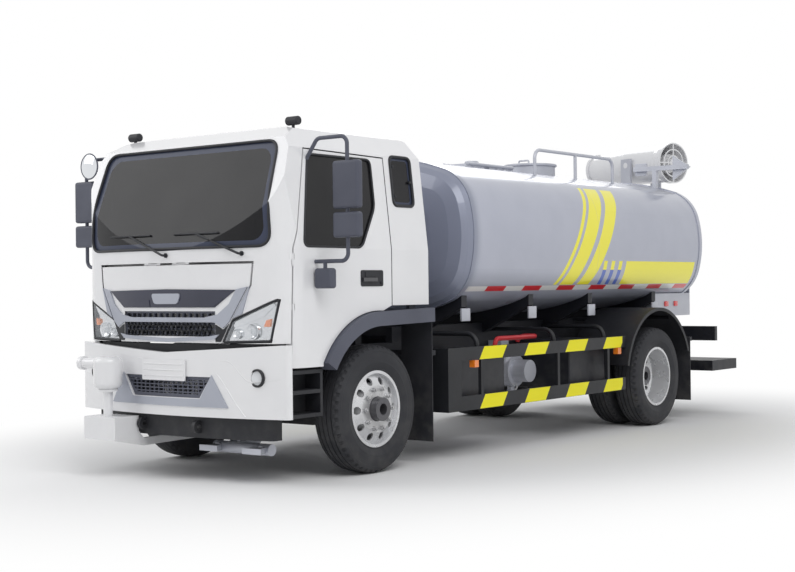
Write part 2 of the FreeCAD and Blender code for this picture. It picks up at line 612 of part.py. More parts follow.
def wheel_nuts(x, face, sign):
    """The ring of wheel nuts on a disc face."""
    start, end = (face, face + S.rim_nut_height) if sign > 0 else (face - S.rim_nut_height, face)

    def nut(px, pz):
        return rod("y", (px, pz), start, end, S.rim_nut_radius)

    return ring_of(nut, S.rim_hand_hole_count, S.rim_nut_circle, x, S.tyre_radius)


def make_wheels():
    """Front wheels, twin rear wheels and their tyres; the right ones mirror the left ones."""
    rear = REAR
    y = S.front_wheel_y
    disc, bore = S.front_disc_offset, S.hub_bore_radius
    face = disc + S.rim_disc_thickness
    hub = [(face + S.hub_length, bore), (face + S.hub_length, S.hub_radius)]
    rim = one_rim(AXLE, y, 1, disc, S.front_disc_crown, hub)
    drum = turned("y", [
        (disc, bore), (disc, S.drum_radius - S.rim_wall), (disc - S.front_disc_crown, S.drum_radius),
        (disc - S.drum_width, S.drum_radius), (disc - S.drum_width, bore),
    ], AXLE, y, S.tyre_radius)
    front_rim = node("rim_front_left", rim, drum, *wheel_nuts(AXLE, y + face, 1))
    front_tyre = node("tyre_front_left", turned("y", tyre_outline(), AXLE, y, S.tyre_radius))
    outer = S.rear_outer_wheel_y
    inner = outer - S.rear_wheel_spacing
    offset = S.rear_wheel_spacing / 2 - S.rim_disc_thickness
    outer_rim = one_rim(rear, outer, -1, offset, S.rear_disc_crown)
    inner_rim = one_rim(rear, inner, 1, offset, S.rear_disc_crown)
    middle = outer - S.rear_wheel_spacing / 2
    hub_body = turned("y", [
        (-S.drum_width, bore), (S.rear_hub_length, bore), (S.rear_hub_length, S.rear_hub_radius),
        (0, S.rear_hub_radius), (0, S.drum_radius - S.rim_wall),
        (-S.drum_width, S.drum_radius - S.rim_wall),
    ], rear, middle, S.tyre_radius)
    nuts = wheel_nuts(rear, middle + S.rim_disc_thickness, 1)
    rear_rim = node("rim_rear_left", outer_rim, inner_rim, hub_body, *nuts)
    outer_tyre = turned("y", tyre_outline(), rear, outer, S.tyre_radius)
    inner_tyre = turned("y", tyre_outline(), rear, inner, S.tyre_radius)
    rear_tyre = node("tyre_rear_left", outer_tyre, inner_tyre)
    for left in (front_rim, front_tyre, rear_rim, rear_tyre):
        node(left.Label.replace("left", "right"), mirrored(left))


def make_knuckles():
    """Steering knuckles: kingpin, two ears, block, spindle and steering arm."""
    for sign, side in ((1, "left"), (-1, "right")):
        y = sign * S.kingpin_y
        z = S.tyre_radius
        half = S.kingpin_height / 2
        boss = S.axle_boss_height / 2 + S.seat_clearance
        pin = rod("z", (AXLE, y), z - half, z + half, S.kingpin_radius)
        ears = [
            rod("z", (AXLE, y), z + boss, z + boss + S.knuckle_ear_height, S.knuckle_ear_radius),
            rod("z", (AXLE, y), z - boss - S.knuckle_ear_height, z - boss, S.knuckle_ear_radius),
        ]
        wide = S.knuckle_block_width / 2
        near = y + sign * (S.axle_boss_radius + S.kingpin_clearance + S.gun_gap)
        far = near + sign * wide
        tall = boss + S.knuckle_ear_height
        limits = (near, far) if sign > 0 else (far, near)
        web = block((AXLE - wide, AXLE + wide), limits, (z - tall, z + tall))
        bridges = []
        for low in (z + boss, z - boss - S.knuckle_ear_height):
            ends = (y, near) if sign > 0 else (near, y)
            bridges.append(block((AXLE - wide, AXLE + wide), ends, (low, low + S.knuckle_ear_height)))
        tip = near + sign * S.spindle_length
        ends = (near, tip) if sign > 0 else (tip, near)
        spindle = rod("y", (AXLE, z), *ends, S.spindle_radius)
        arm_low = z - boss - S.knuckle_ear_height
        arm = block(
            (AXLE - S.steering_arm_reach, AXLE), (y - S.steering_arm_height, y + S.steering_arm_height),
            (arm_low, arm_low + S.steering_arm_height),
        )
        node(f"knuckle_{side}", pin, *ears, web, *bridges, spindle, arm)


def make_front_axle():
    """Drop-centre beam with the two kingpin bosses."""
    z = S.tyre_radius
    top = z + S.beam_height / 2
    low = z - S.beam_height / 2
    drop = S.beam_drop
    tip = S.kingpin_y
    outline = [
        (-tip, low), (-S.beam_drop_half, low), (-S.beam_flat_half, low - drop),
        (S.beam_flat_half, low - drop), (S.beam_drop_half, low), (tip, low), (tip, top),
        (S.beam_drop_half, top), (S.beam_flat_half, top - drop), (-S.beam_flat_half, top - drop),
        (-S.beam_drop_half, top), (-tip, top),
    ]
    half = S.beam_depth / 2
    beam = prism("YZ", outline, AXLE - half, AXLE + half)
    tall = S.axle_boss_height / 2
    bosses = both_sides(rod("z", (AXLE, tip), z - tall, z + tall, S.axle_boss_radius))
    bore = S.kingpin_radius + S.kingpin_clearance
    bores = both_sides(rod("z", (AXLE, tip), z - S.kingpin_height, z + S.kingpin_height, bore))
    trims = both_sides(block(
        (AXLE - S.beam_depth, AXLE + S.beam_depth), (tip, tip + S.beam_depth),
        (low - S.cut_overrun, top + S.cut_overrun),
    ))
    beam = cut(beam, *trims)
    node("front_axle", cut(fused([beam, *bosses]), *bores))


def leaf_spring(x, half_length, inner_y, seat_z):
    """One pack of leaves, hung at both ends from hangers under a rail."""
    arch = S.spring_arch
    thick = S.spring_leaf_pack
    radius_top = (half_length * half_length + arch * arch) / (2 * arch)
    low_arch = arch + thick / 2
    radius_low = (half_length * half_length + low_arch * low_arch) / (2 * low_arch)
    end_low = seat_z + low_arch
    end_top = seat_z + thick + arch
    outline = [
        (x - half_length, end_low), (x + half_length, end_low, radius_low),
        (x + half_length, end_top), (x - half_length, end_top, -radius_top),
    ]
    pack = prism("XZ", outline, inner_y, inner_y + S.spring_width)
    eye_z = (end_low + end_top) / 2
    parts = [pack]
    for place_x in (x - half_length, x + half_length):
        parts.append(rod("y", (place_x, eye_z), inner_y, inner_y + S.spring_width, S.spring_eye_radius))
    return parts, eye_z


def spring_hangers(x, half_length, inner_y, eye_z):
    """Brackets from the rail down to the eyes of a spring."""
    parts = []
    wide = S.hanger_length / 2
    for place_x in (x - half_length, x + half_length):
        parts.append(block(
            (place_x - wide, place_x + wide), (S.rail_outer_y + S.seat_clearance, inner_y + S.hanger_width),
            (eye_z, S.rail_bottom + S.hanger_length),
        ))
    return parts


def make_springs():
    """Leaf springs of both axles with their hangers."""
    beam_top = S.tyre_radius + S.beam_height / 2 - S.beam_drop + S.seat_clearance
    front, front_eye = leaf_spring(AXLE, S.spring_half_length, S.spring_inner_y, beam_top)
    rear_seat = S.tyre_radius + S.axle_tube_radius + S.seat_clearance
    rear, rear_eye = leaf_spring(REAR, S.rear_spring_half_length, S.rear_spring_inner_y, rear_seat)
    hangers = spring_hangers(AXLE, S.spring_half_length, S.spring_inner_y, front_eye)
    hangers += spring_hangers(
        REAR, S.rear_spring_half_length, S.rear_spring_inner_y - S.rail_flange, rear_eye,
    )
    node("leaf_springs", *both_sides(*front, *rear, *hangers))


def make_rear_axle():
    """Axle housing with its bowl, tubes and wheel ends, and the pinion nose."""
    x = REAR
    tube, bowl, end = S.axle_tube_radius, S.axle_bowl_radius, S.axle_end_radius
    outline = [
        (-S.axle_end_half, 0), (S.axle_end_half, 0), (S.axle_end_half, end), (S.axle_drum_plate, end),
        (S.axle_drum_plate, tube), (S.axle_neck_half, tube), (S.axle_bowl_half, bowl),
        (-S.axle_bowl_half, bowl), (-S.axle_neck_half, tube), (-S.axle_drum_plate, tube),
        (-S.axle_drum_plate, end), (-S.axle_end_half, end),
    ]
    housing = turned("y", outline, x, 0, S.tyre_radius)
    nose = rod("x", (0 * x, S.tyre_radius), x, x + S.pinion_length, S.pinion_radius)
    node("rear_axle", housing, nose)


def make_frame():
    """Two channel rails joined by crossmembers."""
    outer, flange, wall = S.rail_outer_y, S.rail_flange, S.rail_wall
    low, top = S.rail_bottom, S.rail_top
    channel = [
        (outer - flange, low), (outer, low), (outer, top), (outer - flange, top),
        (outer - flange, top - wall), (outer - wall, top - wall), (outer - wall, low + wall),
        (outer - flange, low + wall),
    ]
    rails = both_sides(prism("YZ", channel, REAR + S.rail_rear, AXLE + S.rail_front))
    members = []
    for spot in (
        AXLE + S.crossmember_one, AXLE + S.crossmember_two, AXLE + S.crossmember_three,
        REAR + S.crossmember_four, REAR + S.crossmember_five, REAR + S.crossmember_six,
    ):
        start = spot - S.crossmember_width / 2
        members.append(block(
            (start, start + S.crossmember_width), (wall - outer, outer - wall),
            (low + S.crossmember_inset, top - S.crossmember_inset),
        ))
    node("frame_rails", *rails, *members)


def tank_section(grow):
    """The tank's section: four long arcs joined by corner arcs, grown all round."""
    wide = S.tank_half_width + grow
    tall = S.tank_half_height + grow
    top_radius = S.tank_top_radius + grow
    side_radius = S.tank_side_radius + grow
    corner = S.tank_corner_radius + grow
    centre_z = S.tank_centre_z
    # the corner arc touches the top arc (centre 0, -drop) and the side arc (centre -shift, 0)
    drop = top_radius - tall
    shift = side_radius - wide
    reach_top = top_radius - corner
    reach_side = side_radius - corner
    gap = (drop * drop + shift * shift).root()
    along = (reach_top * reach_top - reach_side * reach_side + gap * gap) / (2 * gap)
    off = (reach_top * reach_top - along * along).root()
    # from the top arc's centre towards the side arc's centre, then square to it
    unit_y = -shift / gap
    unit_z = drop / gap
    corner_y = along * unit_y + off * unit_z
    corner_z = -drop + along * unit_z - off * unit_y
    top_y = corner_y * top_radius / reach_top
    top_z = -drop + (corner_z + drop) * top_radius / reach_top
    side_y = -shift + (corner_y + shift) * side_radius / reach_side
    side_z = corner_z * side_radius / reach_side
    return [
        (side_y, centre_z - side_z, corner), (side_y, centre_z + side_z, side_radius),
        (top_y, centre_z + top_z, corner), (-top_y, centre_z + top_z, top_radius),
        (-side_y, centre_z + side_z, corner), (-side_y, centre_z - side_z, side_radius),
        (-top_y, centre_z - top_z, corner), (top_y, centre_z - top_z, top_radius),
    ]


def tank_head(rim_x, way):
    """A dished end: the section drawn in towards the middle as it goes outwards."""
    doc.recompute()
    wires = []
    shares = ((0.0, 0.0), (0.30, 0.035), (0.60, 0.10), (0.84, 0.26), (1.0, 0.52))
    for depth_share, shrink_share in shares:
        grow = -(S.tank_half_height * shrink_share)
        points = tank_section(grow if shrink_share else 0 * grow)
        x = rim_x.value + way * S.tank_head_depth.value * depth_share
        wires.append(section_wire(points, x))
    head = doc.addObject("Part::Feature", "Head")
    head.Shape = Part.makeLoft(wires, True, True)
    return head


def section_wire(points, x):
    """A closed wire of arcs across the truck at one place."""
    edges = []
    count = len(points)
    for index in range(count):
        u, v = points[index][:2]
        end_u, end_v, radius = points[(index + 1) % count]
        start = FreeCAD.Vector(x, u.value, v.value)
        end = FreeCAD.Vector(x, end_u.value, end_v.value)
        chord = end - start
        left = FreeCAD.Vector(0, -chord.z, chord.y).normalize()
        rise = math.sqrt(radius.value ** 2 - (chord.Length / 2) ** 2)
        middle = (start + end) / 2 + left * (rise - radius.value)
        edges.append(Part.Arc(start, middle, end).toShape())
    return Part.Wire(edges)


def make_tank():
    """The barrel with its two dished ends and rims, and the manhole's bore."""
    front, rear = AXLE + S.tank_front, REAR + S.tank_rear
    barrel = prism("YZ", tank_section(0 * S.tank_rim), rear, front)
    proud = S.tank_rim_proud
    rims = [
        prism("YZ", tank_section(proud), front - S.tank_rim, front),
        prism("YZ", tank_section(proud), rear, rear + S.tank_rim),
    ]
    heads = [tank_head(front, 1), tank_head(rear, -1)]
    x = REAR + S.manhole_x
    top = S.tank_centre_z + S.tank_half_height
    well = rod("z", (x, 0 * x), top - S.manhole_depth, top + S.manhole_height, S.manhole_bore_radius)
    node("tank", cut(fused([barrel, *rims, *heads]), well))


def tank_cutter():
    """The room that the tank and its rims take, with a little clearance."""
    front, rear = AXLE + S.tank_front, REAR + S.tank_rear
    reach = S.tank_head_depth + S.cut_overrun
    return prism("YZ", tank_section(S.tank_rim_proud + S.seat_clearance), rear - reach, front + reach)


def barrel_cutter():
    """The room that the barrel takes between its rims, with a seat's clearance."""
    front, rear = AXLE + S.tank_front, REAR + S.tank_rear
    return prism("YZ", tank_section(S.seat_clearance), rear, front)


def make_subframe():
    """Two bearers on the rails with saddles that hold the tank."""
    outer, flange = S.rail_outer_y, S.rail_flange
    low = S.rail_top + S.seat_clearance
    bearers = both_sides(block(
        (REAR + S.subframe_rear, AXLE + S.subframe_front), (outer - flange, outer), (low, S.subframe_top),
    ))
    saddles = []
    half = S.saddle_half
    rim_z = S.tank_centre_z - S.tank_half_height + S.saddle_foot * 2
    for spot in (
        AXLE + S.saddle_one, AXLE + S.saddle_two, REAR + S.saddle_three, REAR + S.saddle_four,
    ):
        start = spot - S.saddle_width / 2
        outline = [
            (-half, rim_z - S.saddle_rim_drop), (-outer, S.subframe_top - S.saddle_foot),
            (outer, S.subframe_top - S.saddle_foot), (half, rim_z - S.saddle_rim_drop),
            (half, rim_z + S.saddle_rim_drop), (-half, rim_z + S.saddle_rim_drop),
        ]
        plate = prism("YZ", outline, start, start + S.saddle_width)
        saddles.append(plate)
    low_cut = block(
        (REAR + S.subframe_rear, AXLE + S.subframe_front), (-outer, outer), (S.rail_bottom, low),
    )
    node("subframe", cut(fused([*bearers, *saddles]), barrel_cutter(), low_cut))


def make_cab_stays():
    """Front brackets with the cab's pivot pins, and the bridge under the cab's rear."""
    outer, flange = S.rail_outer_y, S.rail_flange
    x, z = AXLE + S.cab_pivot_x, S.cab_pivot_z
    bracket = block(
        (AXLE + S.rail_front + S.seat_clearance, x + S.ear_radius), (outer - flange, outer),
        (S.pivot_bracket_low, S.pivot_bracket_top),
    )
    pin = rod("y", (x, z), outer - flange, outer + S.seam * 2 + S.ear_width, S.cab_pin_radius)
    rear = AXLE + S.cab_post_x
    post = block(
        (rear, rear + S.cab_post_length), (outer - flange, outer),
        (S.rail_top + S.seat_clearance, S.cab_floor - S.seat_clearance),
    )
    bar = block(
        (rear, rear + S.cab_post_length), (-outer, outer),
        (S.cab_floor - S.cab_post_bar, S.cab_floor - S.seat_clearance),
    )
    node("cab_stays", *both_sides(bracket, pin, post), bar)


def make_engine():
    """Engine block, and the gearbox with the shaft to the rear axle."""
    node("engine_block", block(
        (AXLE + S.engine_rear, AXLE + S.engine_front), (-S.engine_half, S.engine_half),
        (S.engine_bottom, S.engine_top),
    ))
    rear = REAR
    gearbox = block(
        (AXLE + S.gearbox_rear, AXLE + S.engine_rear - S.seat_clearance),
        (-S.gearbox_half, S.gearbox_half), (S.gearbox_bottom, S.gearbox_top),
    )
    return gearbox, rear


def make_driveline():
    """Gearbox and the two-piece shaft to the rear axle."""
    gearbox, rear = make_engine()
    start_x = AXLE + S.gearbox_rear + S.cut_overrun
    end_x = rear + S.pinion_length + S.seat_clearance
    low = S.gearbox_bottom + S.shaft_radius * 2
    shaft = bent_tube(
        [(start_x, 0, low), (end_x + S.pinion_length, 0, S.tyre_radius), (end_x, 0, S.tyre_radius)],
        S.shaft_radius, S.pinion_length,
    )
    node("driveline", gearbox, shaft)


def make_frame_boxes():
    """Fuel tank, battery box with air vessels, tool box and filter on the frame's sides."""
    side = S.rail_outer_y + S.seat_clearance
    fuel_rear = AXLE - S.wheelbase * S.fuel_rear_share
    fuel = rounded(block(
        (fuel_rear, AXLE + S.fuel_front), (S.fuel_inner_y, S.fuel_outer_y),
        (S.fuel_bottom, S.fuel_top),
    ), S.fuel_edge, runs_along("x"))
    straps = []
    for share in (S.strap_low_share, S.strap_high_share):
        x = fuel_rear + (AXLE + S.fuel_front - fuel_rear) * share
        straps.append(block(
            (x, x + S.bracket_thickness), (side, S.fuel_inner_y + S.fuel_edge),
            (S.fuel_bottom + S.fuel_edge * 2, S.fuel_top - S.fuel_edge),
        ))
    node("fuel_tank", fuel, *straps)
    box = rounded(block(
        (AXLE + S.battery_rear, AXLE + S.battery_front), (-S.battery_outer_y, -S.battery_inner_y),
        (S.battery_bottom, S.battery_top),
    ), S.battery_edge, any_edge)
    shelf = block(
        (AXLE + S.battery_rear, AXLE + S.battery_front), (-S.battery_inner_y - S.tray_height, -side),
        (S.battery_top - S.tray_height * 3, S.battery_top - S.tray_height * 2),
    )
    vessel_end = AXLE + S.air_tank_front - S.air_tank_length
    vessel = rounded(
        rod("x", (-S.air_tank_y, S.air_tank_z), vessel_end, AXLE + S.air_tank_front, S.air_tank_radius),
        S.air_tank_strap, any_edge,
    )
    straps = []
    for share in (S.strap_low_share, S.strap_high_share):
        x = vessel_end + S.air_tank_length * share
        straps.append(block(
            (x, x + S.air_tank_strap), (-S.air_tank_y, -side),
            (S.rail_bottom + S.tray_height, S.rail_bottom + S.tray_height * 2),
        ))
    node("battery_box", box, shelf, vessel, *straps)
    tool = rounded(block(
        (REAR + S.toolbox_rear, REAR + S.toolbox_front), (S.toolbox_inner_y, S.toolbox_outer_y),
        (S.toolbox_bottom, S.toolbox_top),
    ), S.toolbox_edge, any_edge)
    stay = block(
        (REAR + S.toolbox_rear + S.toolbox_lid * 6, REAR + S.toolbox_front - S.toolbox_lid * 6),
        (side, S.toolbox_inner_y + S.toolbox_edge),
        (S.rail_bottom + S.tray_height, S.rail_bottom + S.tray_height * 3),
    )
    node("tool_box", tool, stay)
    x, y = AXLE + S.filter_x, S.filter_y
    can = rod("z", (x, y), S.filter_bottom, S.filter_bottom + S.filter_height, S.filter_radius)
    head_low = S.filter_bottom + S.filter_height
    arm = block(
        (x - S.filter_head, x + S.filter_head), (side, y + S.filter_head),
        (head_low, head_low + S.filter_head),
    )
    node("filter_canister", rounded(can, S.rim_wall, any_edge), arm)


def make_pump():
    """Water pump with its motor and flanges, hung from the left rail."""
    x, y, z = REAR + S.pump_x, S.pump_y, S.pump_z
    half = S.pump_width / 2
    volute = rod("y", (x, z), y - half, y + half, S.pump_radius)
    motor = rod("y", (x, z), y + half, y + half + S.pump_motor_length / 2, S.pump_motor_radius)
    flange = rod(
        "y", (x, z), y + half + S.pump_motor_length / 2,
        y + half + S.pump_motor_length / 2 + S.pump_flange_width, S.pump_flange_radius + S.rim_wall,
    )
    outlet_x = x + S.pump_radius - S.pump_outlet_radius * S.outlet_share
    outlet = rod("z", (outlet_x, y), z, z + S.pump_radius + S.pump_foot_height, S.pump_outlet_radius)
    hanger = block(
        (x - half, x + half), (S.rail_outer_y + S.seat_clearance, y - half),
        (z, S.rail_top - S.crossmember_inset),
    )
    top = rod(
        "z", (outlet_x, y), z + S.pump_radius + S.pump_foot_height,
        z + S.pump_radius + S.pump_foot_height + S.pump_flange_width, S.pump_flange_radius,
    )
    hanger_brace = block(
        (x - half, x + half), (y - half - S.pump_flange_width, y), (z, z + S.pump_radius - S.rim_wall),
    )
    node("pump_unit", volute, motor, flange, outlet, hanger, hanger_brace, top)


def duckbill(x, y, z):
    """A flat fan nozzle that points forward, on its pipe stub."""
    half = S.duckbill_slit / 2
    tall = S.duckbill_height
    body = prism("XY", [
        (x, y - S.pipe_radius), (x + S.duckbill_length, y - half),
        (x + S.duckbill_length, y + half), (x, y + S.pipe_radius),
    ], z - tall, z + tall)
    collar = rod("x", (y, z), x - S.pipe_radius, x + S.duckbill_height, S.pipe_radius)
    return [body, collar]


def make_pipes():
    """Delivery pipe from the pump to the two duckbill nozzles at the front."""
    z = S.pipe_z
    low = S.duckbill_z
    front = AXLE + S.duckbill_x - S.pipe_radius
    pump_x = REAR + S.pump_x
    run = S.pipe_run_y
    drop = bent_tube([
        (pump_x, S.pump_y, S.pump_z - S.pump_radius - S.seat_clearance), (pump_x, S.pump_y, z),
        (pump_x, run, z),
    ], S.pipe_radius, S.pipe_bend)
    elbow = doc.addObject("Part::Sphere", "Elbow")
    bind(elbow, "Radius", S.pipe_radius * S.elbow_share)
    place(elbow, pump_x, run, z)
    main_pipe = bent_tube([
        (pump_x, run, z), (AXLE + S.pipe_rise_rear, run, z), (AXLE + S.pipe_rise_front, run, S.pipe_high_z),
        (front - S.pipe_bend * 6, run, S.pipe_high_z), (front - S.pipe_bend * 3, run, low), (front, run, low),
    ], S.pipe_radius, S.pipe_bend)
    spread = rod(
        "y", (front, low), S.duckbill_right_y - S.pipe_radius * 2, S.duckbill_left_y + S.pipe_radius * 2,
        S.pipe_radius * S.header_share,
    )
    clamps = []
    for x, foot in (
        (AXLE + S.pipe_clamp_front, low), (AXLE + S.pipe_clamp_middle, S.pipe_high_z),
        (REAR + S.pipe_clamp_rear, z),
    ):
        clamps.append(block(
            (x, x + S.bracket_thickness), (run - S.pipe_radius / 2, S.rail_outer_y - S.rail_flange / 2),
            (foot, S.rail_bottom - S.seat_clearance),
        ))
    bills = duckbill(AXLE + S.duckbill_x, S.duckbill_left_y, low)
    bills += duckbill(AXLE + S.duckbill_x, S.duckbill_right_y, low)
    node("water_pipes", drop, elbow, main_pipe, spread, *bills, *clamps)


def side_guard():
    """The left side guard: end plate, two rails, posts and curved stays to the subframe."""
    outer = S.guard_outer_y
    inner = outer - S.guard_rail_thickness
    front, rear = AXLE + S.guard_front, REAR + S.guard_rear
    rails = [
        block((rear, front), (inner, outer), (S.guard_low_bottom, S.guard_low_top)),
        block((rear, front), (inner, outer), (S.guard_high_bottom, S.guard_high_top)),
        block((front - S.guard_end_width, front), (inner, outer), (S.guard_low_bottom, S.guard_high_top)),
        block(
            (front - S.guard_rail_thickness, front), (outer - S.guard_end_return, inner),
            (S.guard_low_bottom, S.guard_high_top),
        ),
    ]
    stays = []
    for x in (AXLE + S.guard_post_one, REAR + S.guard_post_two, REAR + S.guard_post_three):
        rails.append(block(
            (x - S.guard_post_width / 2, x + S.guard_post_width / 2), (inner, outer),
            (S.guard_low_bottom, S.guard_high_top),
        ))
        stays.append(bent_tube(
            [
                (x, S.rail_outer_y + S.seat_clearance, S.guard_stay_height),
                (x, inner - S.guard_stay_radius - S.guard_stay_gap, S.guard_stay_height),
                (x, inner - S.guard_stay_radius - S.guard_stay_gap, S.guard_high_bottom + S.guard_stay_foot),
            ], S.guard_stay_radius, S.guard_stay_bend,
        ))
        rails.append(block(
            (x - S.guard_post_width, x + S.guard_post_width),
            (inner - S.guard_stay_radius * 2 - S.guard_stay_gap * 2, inner),
            (S.guard_high_bottom, S.guard_high_bottom + S.guard_post_width),
        ))
    return [*rails, *stays]


def make_side_guards():
    """Side guards on both sides."""
    node("side_guards", *both_sides(*side_guard()))


def fender_band(radius, thickness, start_angle, end_angle, inner_y, outer_y, centre_x):
    """A curved band over a wheel, between two angles from the ground line at the front."""
    cos_a, sin_a = start_angle.cosine(), start_angle.sine()
    cos_b, sin_b = end_angle.cosine(), end_angle.sine()
    z = S.tyre_radius
    far = radius + thickness
    outline = [
        (centre_x + far * cos_a, z + far * sin_a), (centre_x, z + far, far),
        (centre_x - far * cos_b, z + far * sin_b, far),
        (centre_x - radius * cos_b, z + radius * sin_b), (centre_x, z + radius, -radius),
        (centre_x + radius * cos_a, z + radius * sin_a, -radius),
    ]
    return prism("XZ", outline, inner_y, outer_y)


def make_rear_fenders():
    """Round fenders over the twin wheels, with lips and their stay tubes."""
    x = REAR
    skin = fender_band(
        S.fender_radius, S.fender_skin, S.fender_front_angle, S.fender_rear_angle,
        S.fender_inner_y, S.fender_outer_y, x,
    )
    lip = fender_band(
        S.fender_radius - S.fender_lip, S.fender_lip, S.fender_front_angle, S.fender_rear_angle,
        S.fender_outer_y - S.fender_skin, S.fender_outer_y, x,
    )
    stays = []
    for side in (-1, 1):
        spot = x + side * S.fender_stay_step
        stays.append(rod(
            "y", (spot, S.fender_stay_height), S.rail_outer_y + S.seat_clearance,
            S.fender_outer_y - S.fender_lip * 3, S.fender_stay_radius,
        ))
    node("rear_fenders", *both_sides(fused([skin, lip, *stays])))


def make_mudflaps():
    """Rubber flaps behind the front and the rear wheels."""
    x = AXLE + S.front_flap_x
    front = block(
        (x - S.flap_thickness, x), (S.front_flap_inner_y, S.front_flap_outer_y),
        (S.front_flap_bottom, S.front_flap_top),
    )
    arm = block(
        (x - S.flap_thickness - S.flap_bracket, x - S.flap_thickness),
        (S.rail_outer_y + S.seat_clearance, S.front_flap_outer_y),
        (S.rail_top - S.flap_bracket * 2, S.rail_top - S.flap_bracket),
    )
    x = REAR + S.rear_flap_x
    rear = block(
        (x - S.flap_thickness, x), (S.fender_inner_y + S.fender_lip, S.fender_outer_y - S.fender_lip),
        (S.rear_flap_bottom, S.rear_flap_top),
    )
    rear_arm = block(
        (x - S.flap_thickness - S.flap_bracket, x - S.flap_thickness),
        (S.rail_outer_y + S.seat_clearance, S.fender_outer_y - S.fender_lip),
        (S.rear_flap_top - S.flap_bracket, S.rear_flap_top),
    )
    node("mudflaps", *both_sides(front, arm, rear, rear_arm))


def make_steps():
    """Boxes under the doors, each with a recessed step."""
    outer, inner = S.step_outer_y, S.step_inner_y
    box = block((AXLE + S.step_rear, AXLE + S.step_front), (inner, outer), (S.step_bottom, S.step_top))
    wall = S.step_wall
    recesses = [
        block(
            (AXLE + S.step_rear + wall, AXLE + S.step_front - wall), (outer - S.step_recess, outer + wall),
            (S.step_bottom + wall, S.step_tread),
        ),
        block(
            (AXLE + S.step_rear + wall, AXLE + S.step_front - wall), (outer - S.step_recess, outer + wall),
            (S.step_tread + wall, S.step_top - wall),
        ),
    ]
    arm = block(
        (AXLE + S.step_front - wall * 3, AXLE + S.step_front - wall),
        (S.rail_outer_y + S.seat_clearance, inner),
        (S.rail_bottom + wall, S.rail_bottom + wall * 3),
    )
    node("steps", *both_sides(cut(box, *recesses), arm))


def plan_outline(front, curve_radius, corner_radius, half, rear, inset):
    """Seen from above: a gently curved front, round corners and straight sides."""
    curve = curve_radius - inset
    corner = corner_radius - inset
    wide = half - inset
    centre_x = front - curve_radius
    corner_y = half - corner_radius
    reach = curve_radius - corner_radius
    corner_x = centre_x + (reach * reach - corner_y * corner_y).root()
    touch_x = centre_x + (corner_x - centre_x) * curve / reach
    touch_y = corner_y * curve / reach
    return [
        (rear, -wide), (corner_x, -wide), (touch_x, -touch_y, corner), (touch_x, touch_y, curve),
        (corner_x, wide, corner), (rear, wide),
    ]


def cab_envelope(inset, low):
    """The cab's outer form, drawn in by an inset; low is its bottom. Each form is made once."""
    known = ENVELOPES.get((inset.value, low.value))
    if known:
        return known
    ENVELOPES[(inset.value, low.value)] = envelope = cab_form(inset, low)
    return envelope


def cab_form(inset, low):
    """Build one outer form of the cab from its three views."""
    back = AXLE + S.cab_rear + inset
    plan = prism(
        "XY", plan_outline(
            AXLE + S.cowl_front, S.cab_curve_radius, S.cab_corner_radius, S.cab_half, back, inset,
        ), low, S.roof_top,
    )
    top = S.roof_top - inset
    side = prism("XZ", [
        (AXLE + S.cab_front - inset, low), (AXLE + S.cab_front - inset, S.flap_shoulder_z),
        (AXLE + S.cowl_front - inset, S.cowl_z), (AXLE + S.screen_top_x - inset, S.screen_top_z),
        (AXLE + S.brow_x, S.brow_z - inset), (AXLE + S.roof_front_x, top),
        (AXLE + S.roof_rear_x, top), (AXLE + S.roof_drop_x, S.roof_drop_z - inset),
        (back, S.rear_drop_z - inset), (back, low),
    ], -S.cab_half, S.cab_half)
    across = prism("YZ", [
        (-S.cab_half + inset, low), (S.cab_half - inset, low), (S.cab_half - inset, S.belt_z),
        (S.roof_side_y - inset, S.roof_side_z), (S.roof_edge_y - inset, S.roof_edge_z - inset),
        (S.roof_flat_y, top), (-S.roof_flat_y, top), (-S.roof_edge_y + inset, S.roof_edge_z - inset),
        (-S.roof_side_y + inset, S.roof_side_z), (-S.cab_half + inset, S.belt_z),
    ], back, AXLE + S.cowl_front)
    return common(plan, side, across)


def door_outline(grow):
    """A door seen from the side, grown all round by a margin."""
    x = AXLE
    z = S.tyre_radius
    radius = S.arch_radius - grow
    arch_x = S.door_skirt_rear_x - grow
    arch_z = z + (radius * radius - arch_x * arch_x).root()
    end_x = S.door_arch_end_x
    end_z = z + (radius * radius - end_x * end_x).root()
    return [
        (x + S.door_front_x + grow, S.cab_skirt_bottom - grow),
        (x + S.door_belt_x + grow, S.belt_z),
        (x + S.door_top_front_x + grow, S.door_top_z + grow),
        (x + S.door_rear_x - grow, S.door_rear_top_z + grow),
        (x + S.door_rear_x - grow, S.cab_floor - grow),
        (x + end_x, end_z),
        (x + arch_x, arch_z, -radius),
        (x + arch_x, S.cab_skirt_bottom - grow),
    ]


def screen_outline(grow):
    """The windscreen seen from the front, grown all round by a margin."""
    low_half = S.screen_bottom_half + grow
    top_half = S.screen_top_half + grow
    return rounded_corners([
        (-low_half, S.screen_bottom_z - grow), (0 * grow, S.screen_sill_z - grow),
        (low_half, S.screen_bottom_z - grow), (top_half, S.screen_top_edge_z + grow),
        (-top_half, S.screen_top_edge_z + grow),
    ], S.screen_corner, plain=(1,))


def window_outline(grow):
    """A door window seen from the side, grown all round by a margin."""
    return rounded_corners([
        (AXLE + S.window_kink_x - grow, S.window_sill_z - grow),
        (AXLE + S.window_front_x + grow, S.window_sill_z - grow),
        (AXLE + S.window_top_front_x + grow, S.window_top_z + grow),
        (AXLE + S.window_rear_x - grow, S.window_top_z + grow),
        (AXLE + S.window_rear_x - grow, S.window_kink_z - grow),
    ], S.window_corner)


def quarter_outline(grow):
    """The small rear window seen from the side."""
    return rounded_rectangle(
        AXLE + S.quarter_rear - grow, AXLE + S.quarter_front + grow, S.quarter_bottom - grow,
        S.quarter_top + grow, S.quarter_corner,
    )


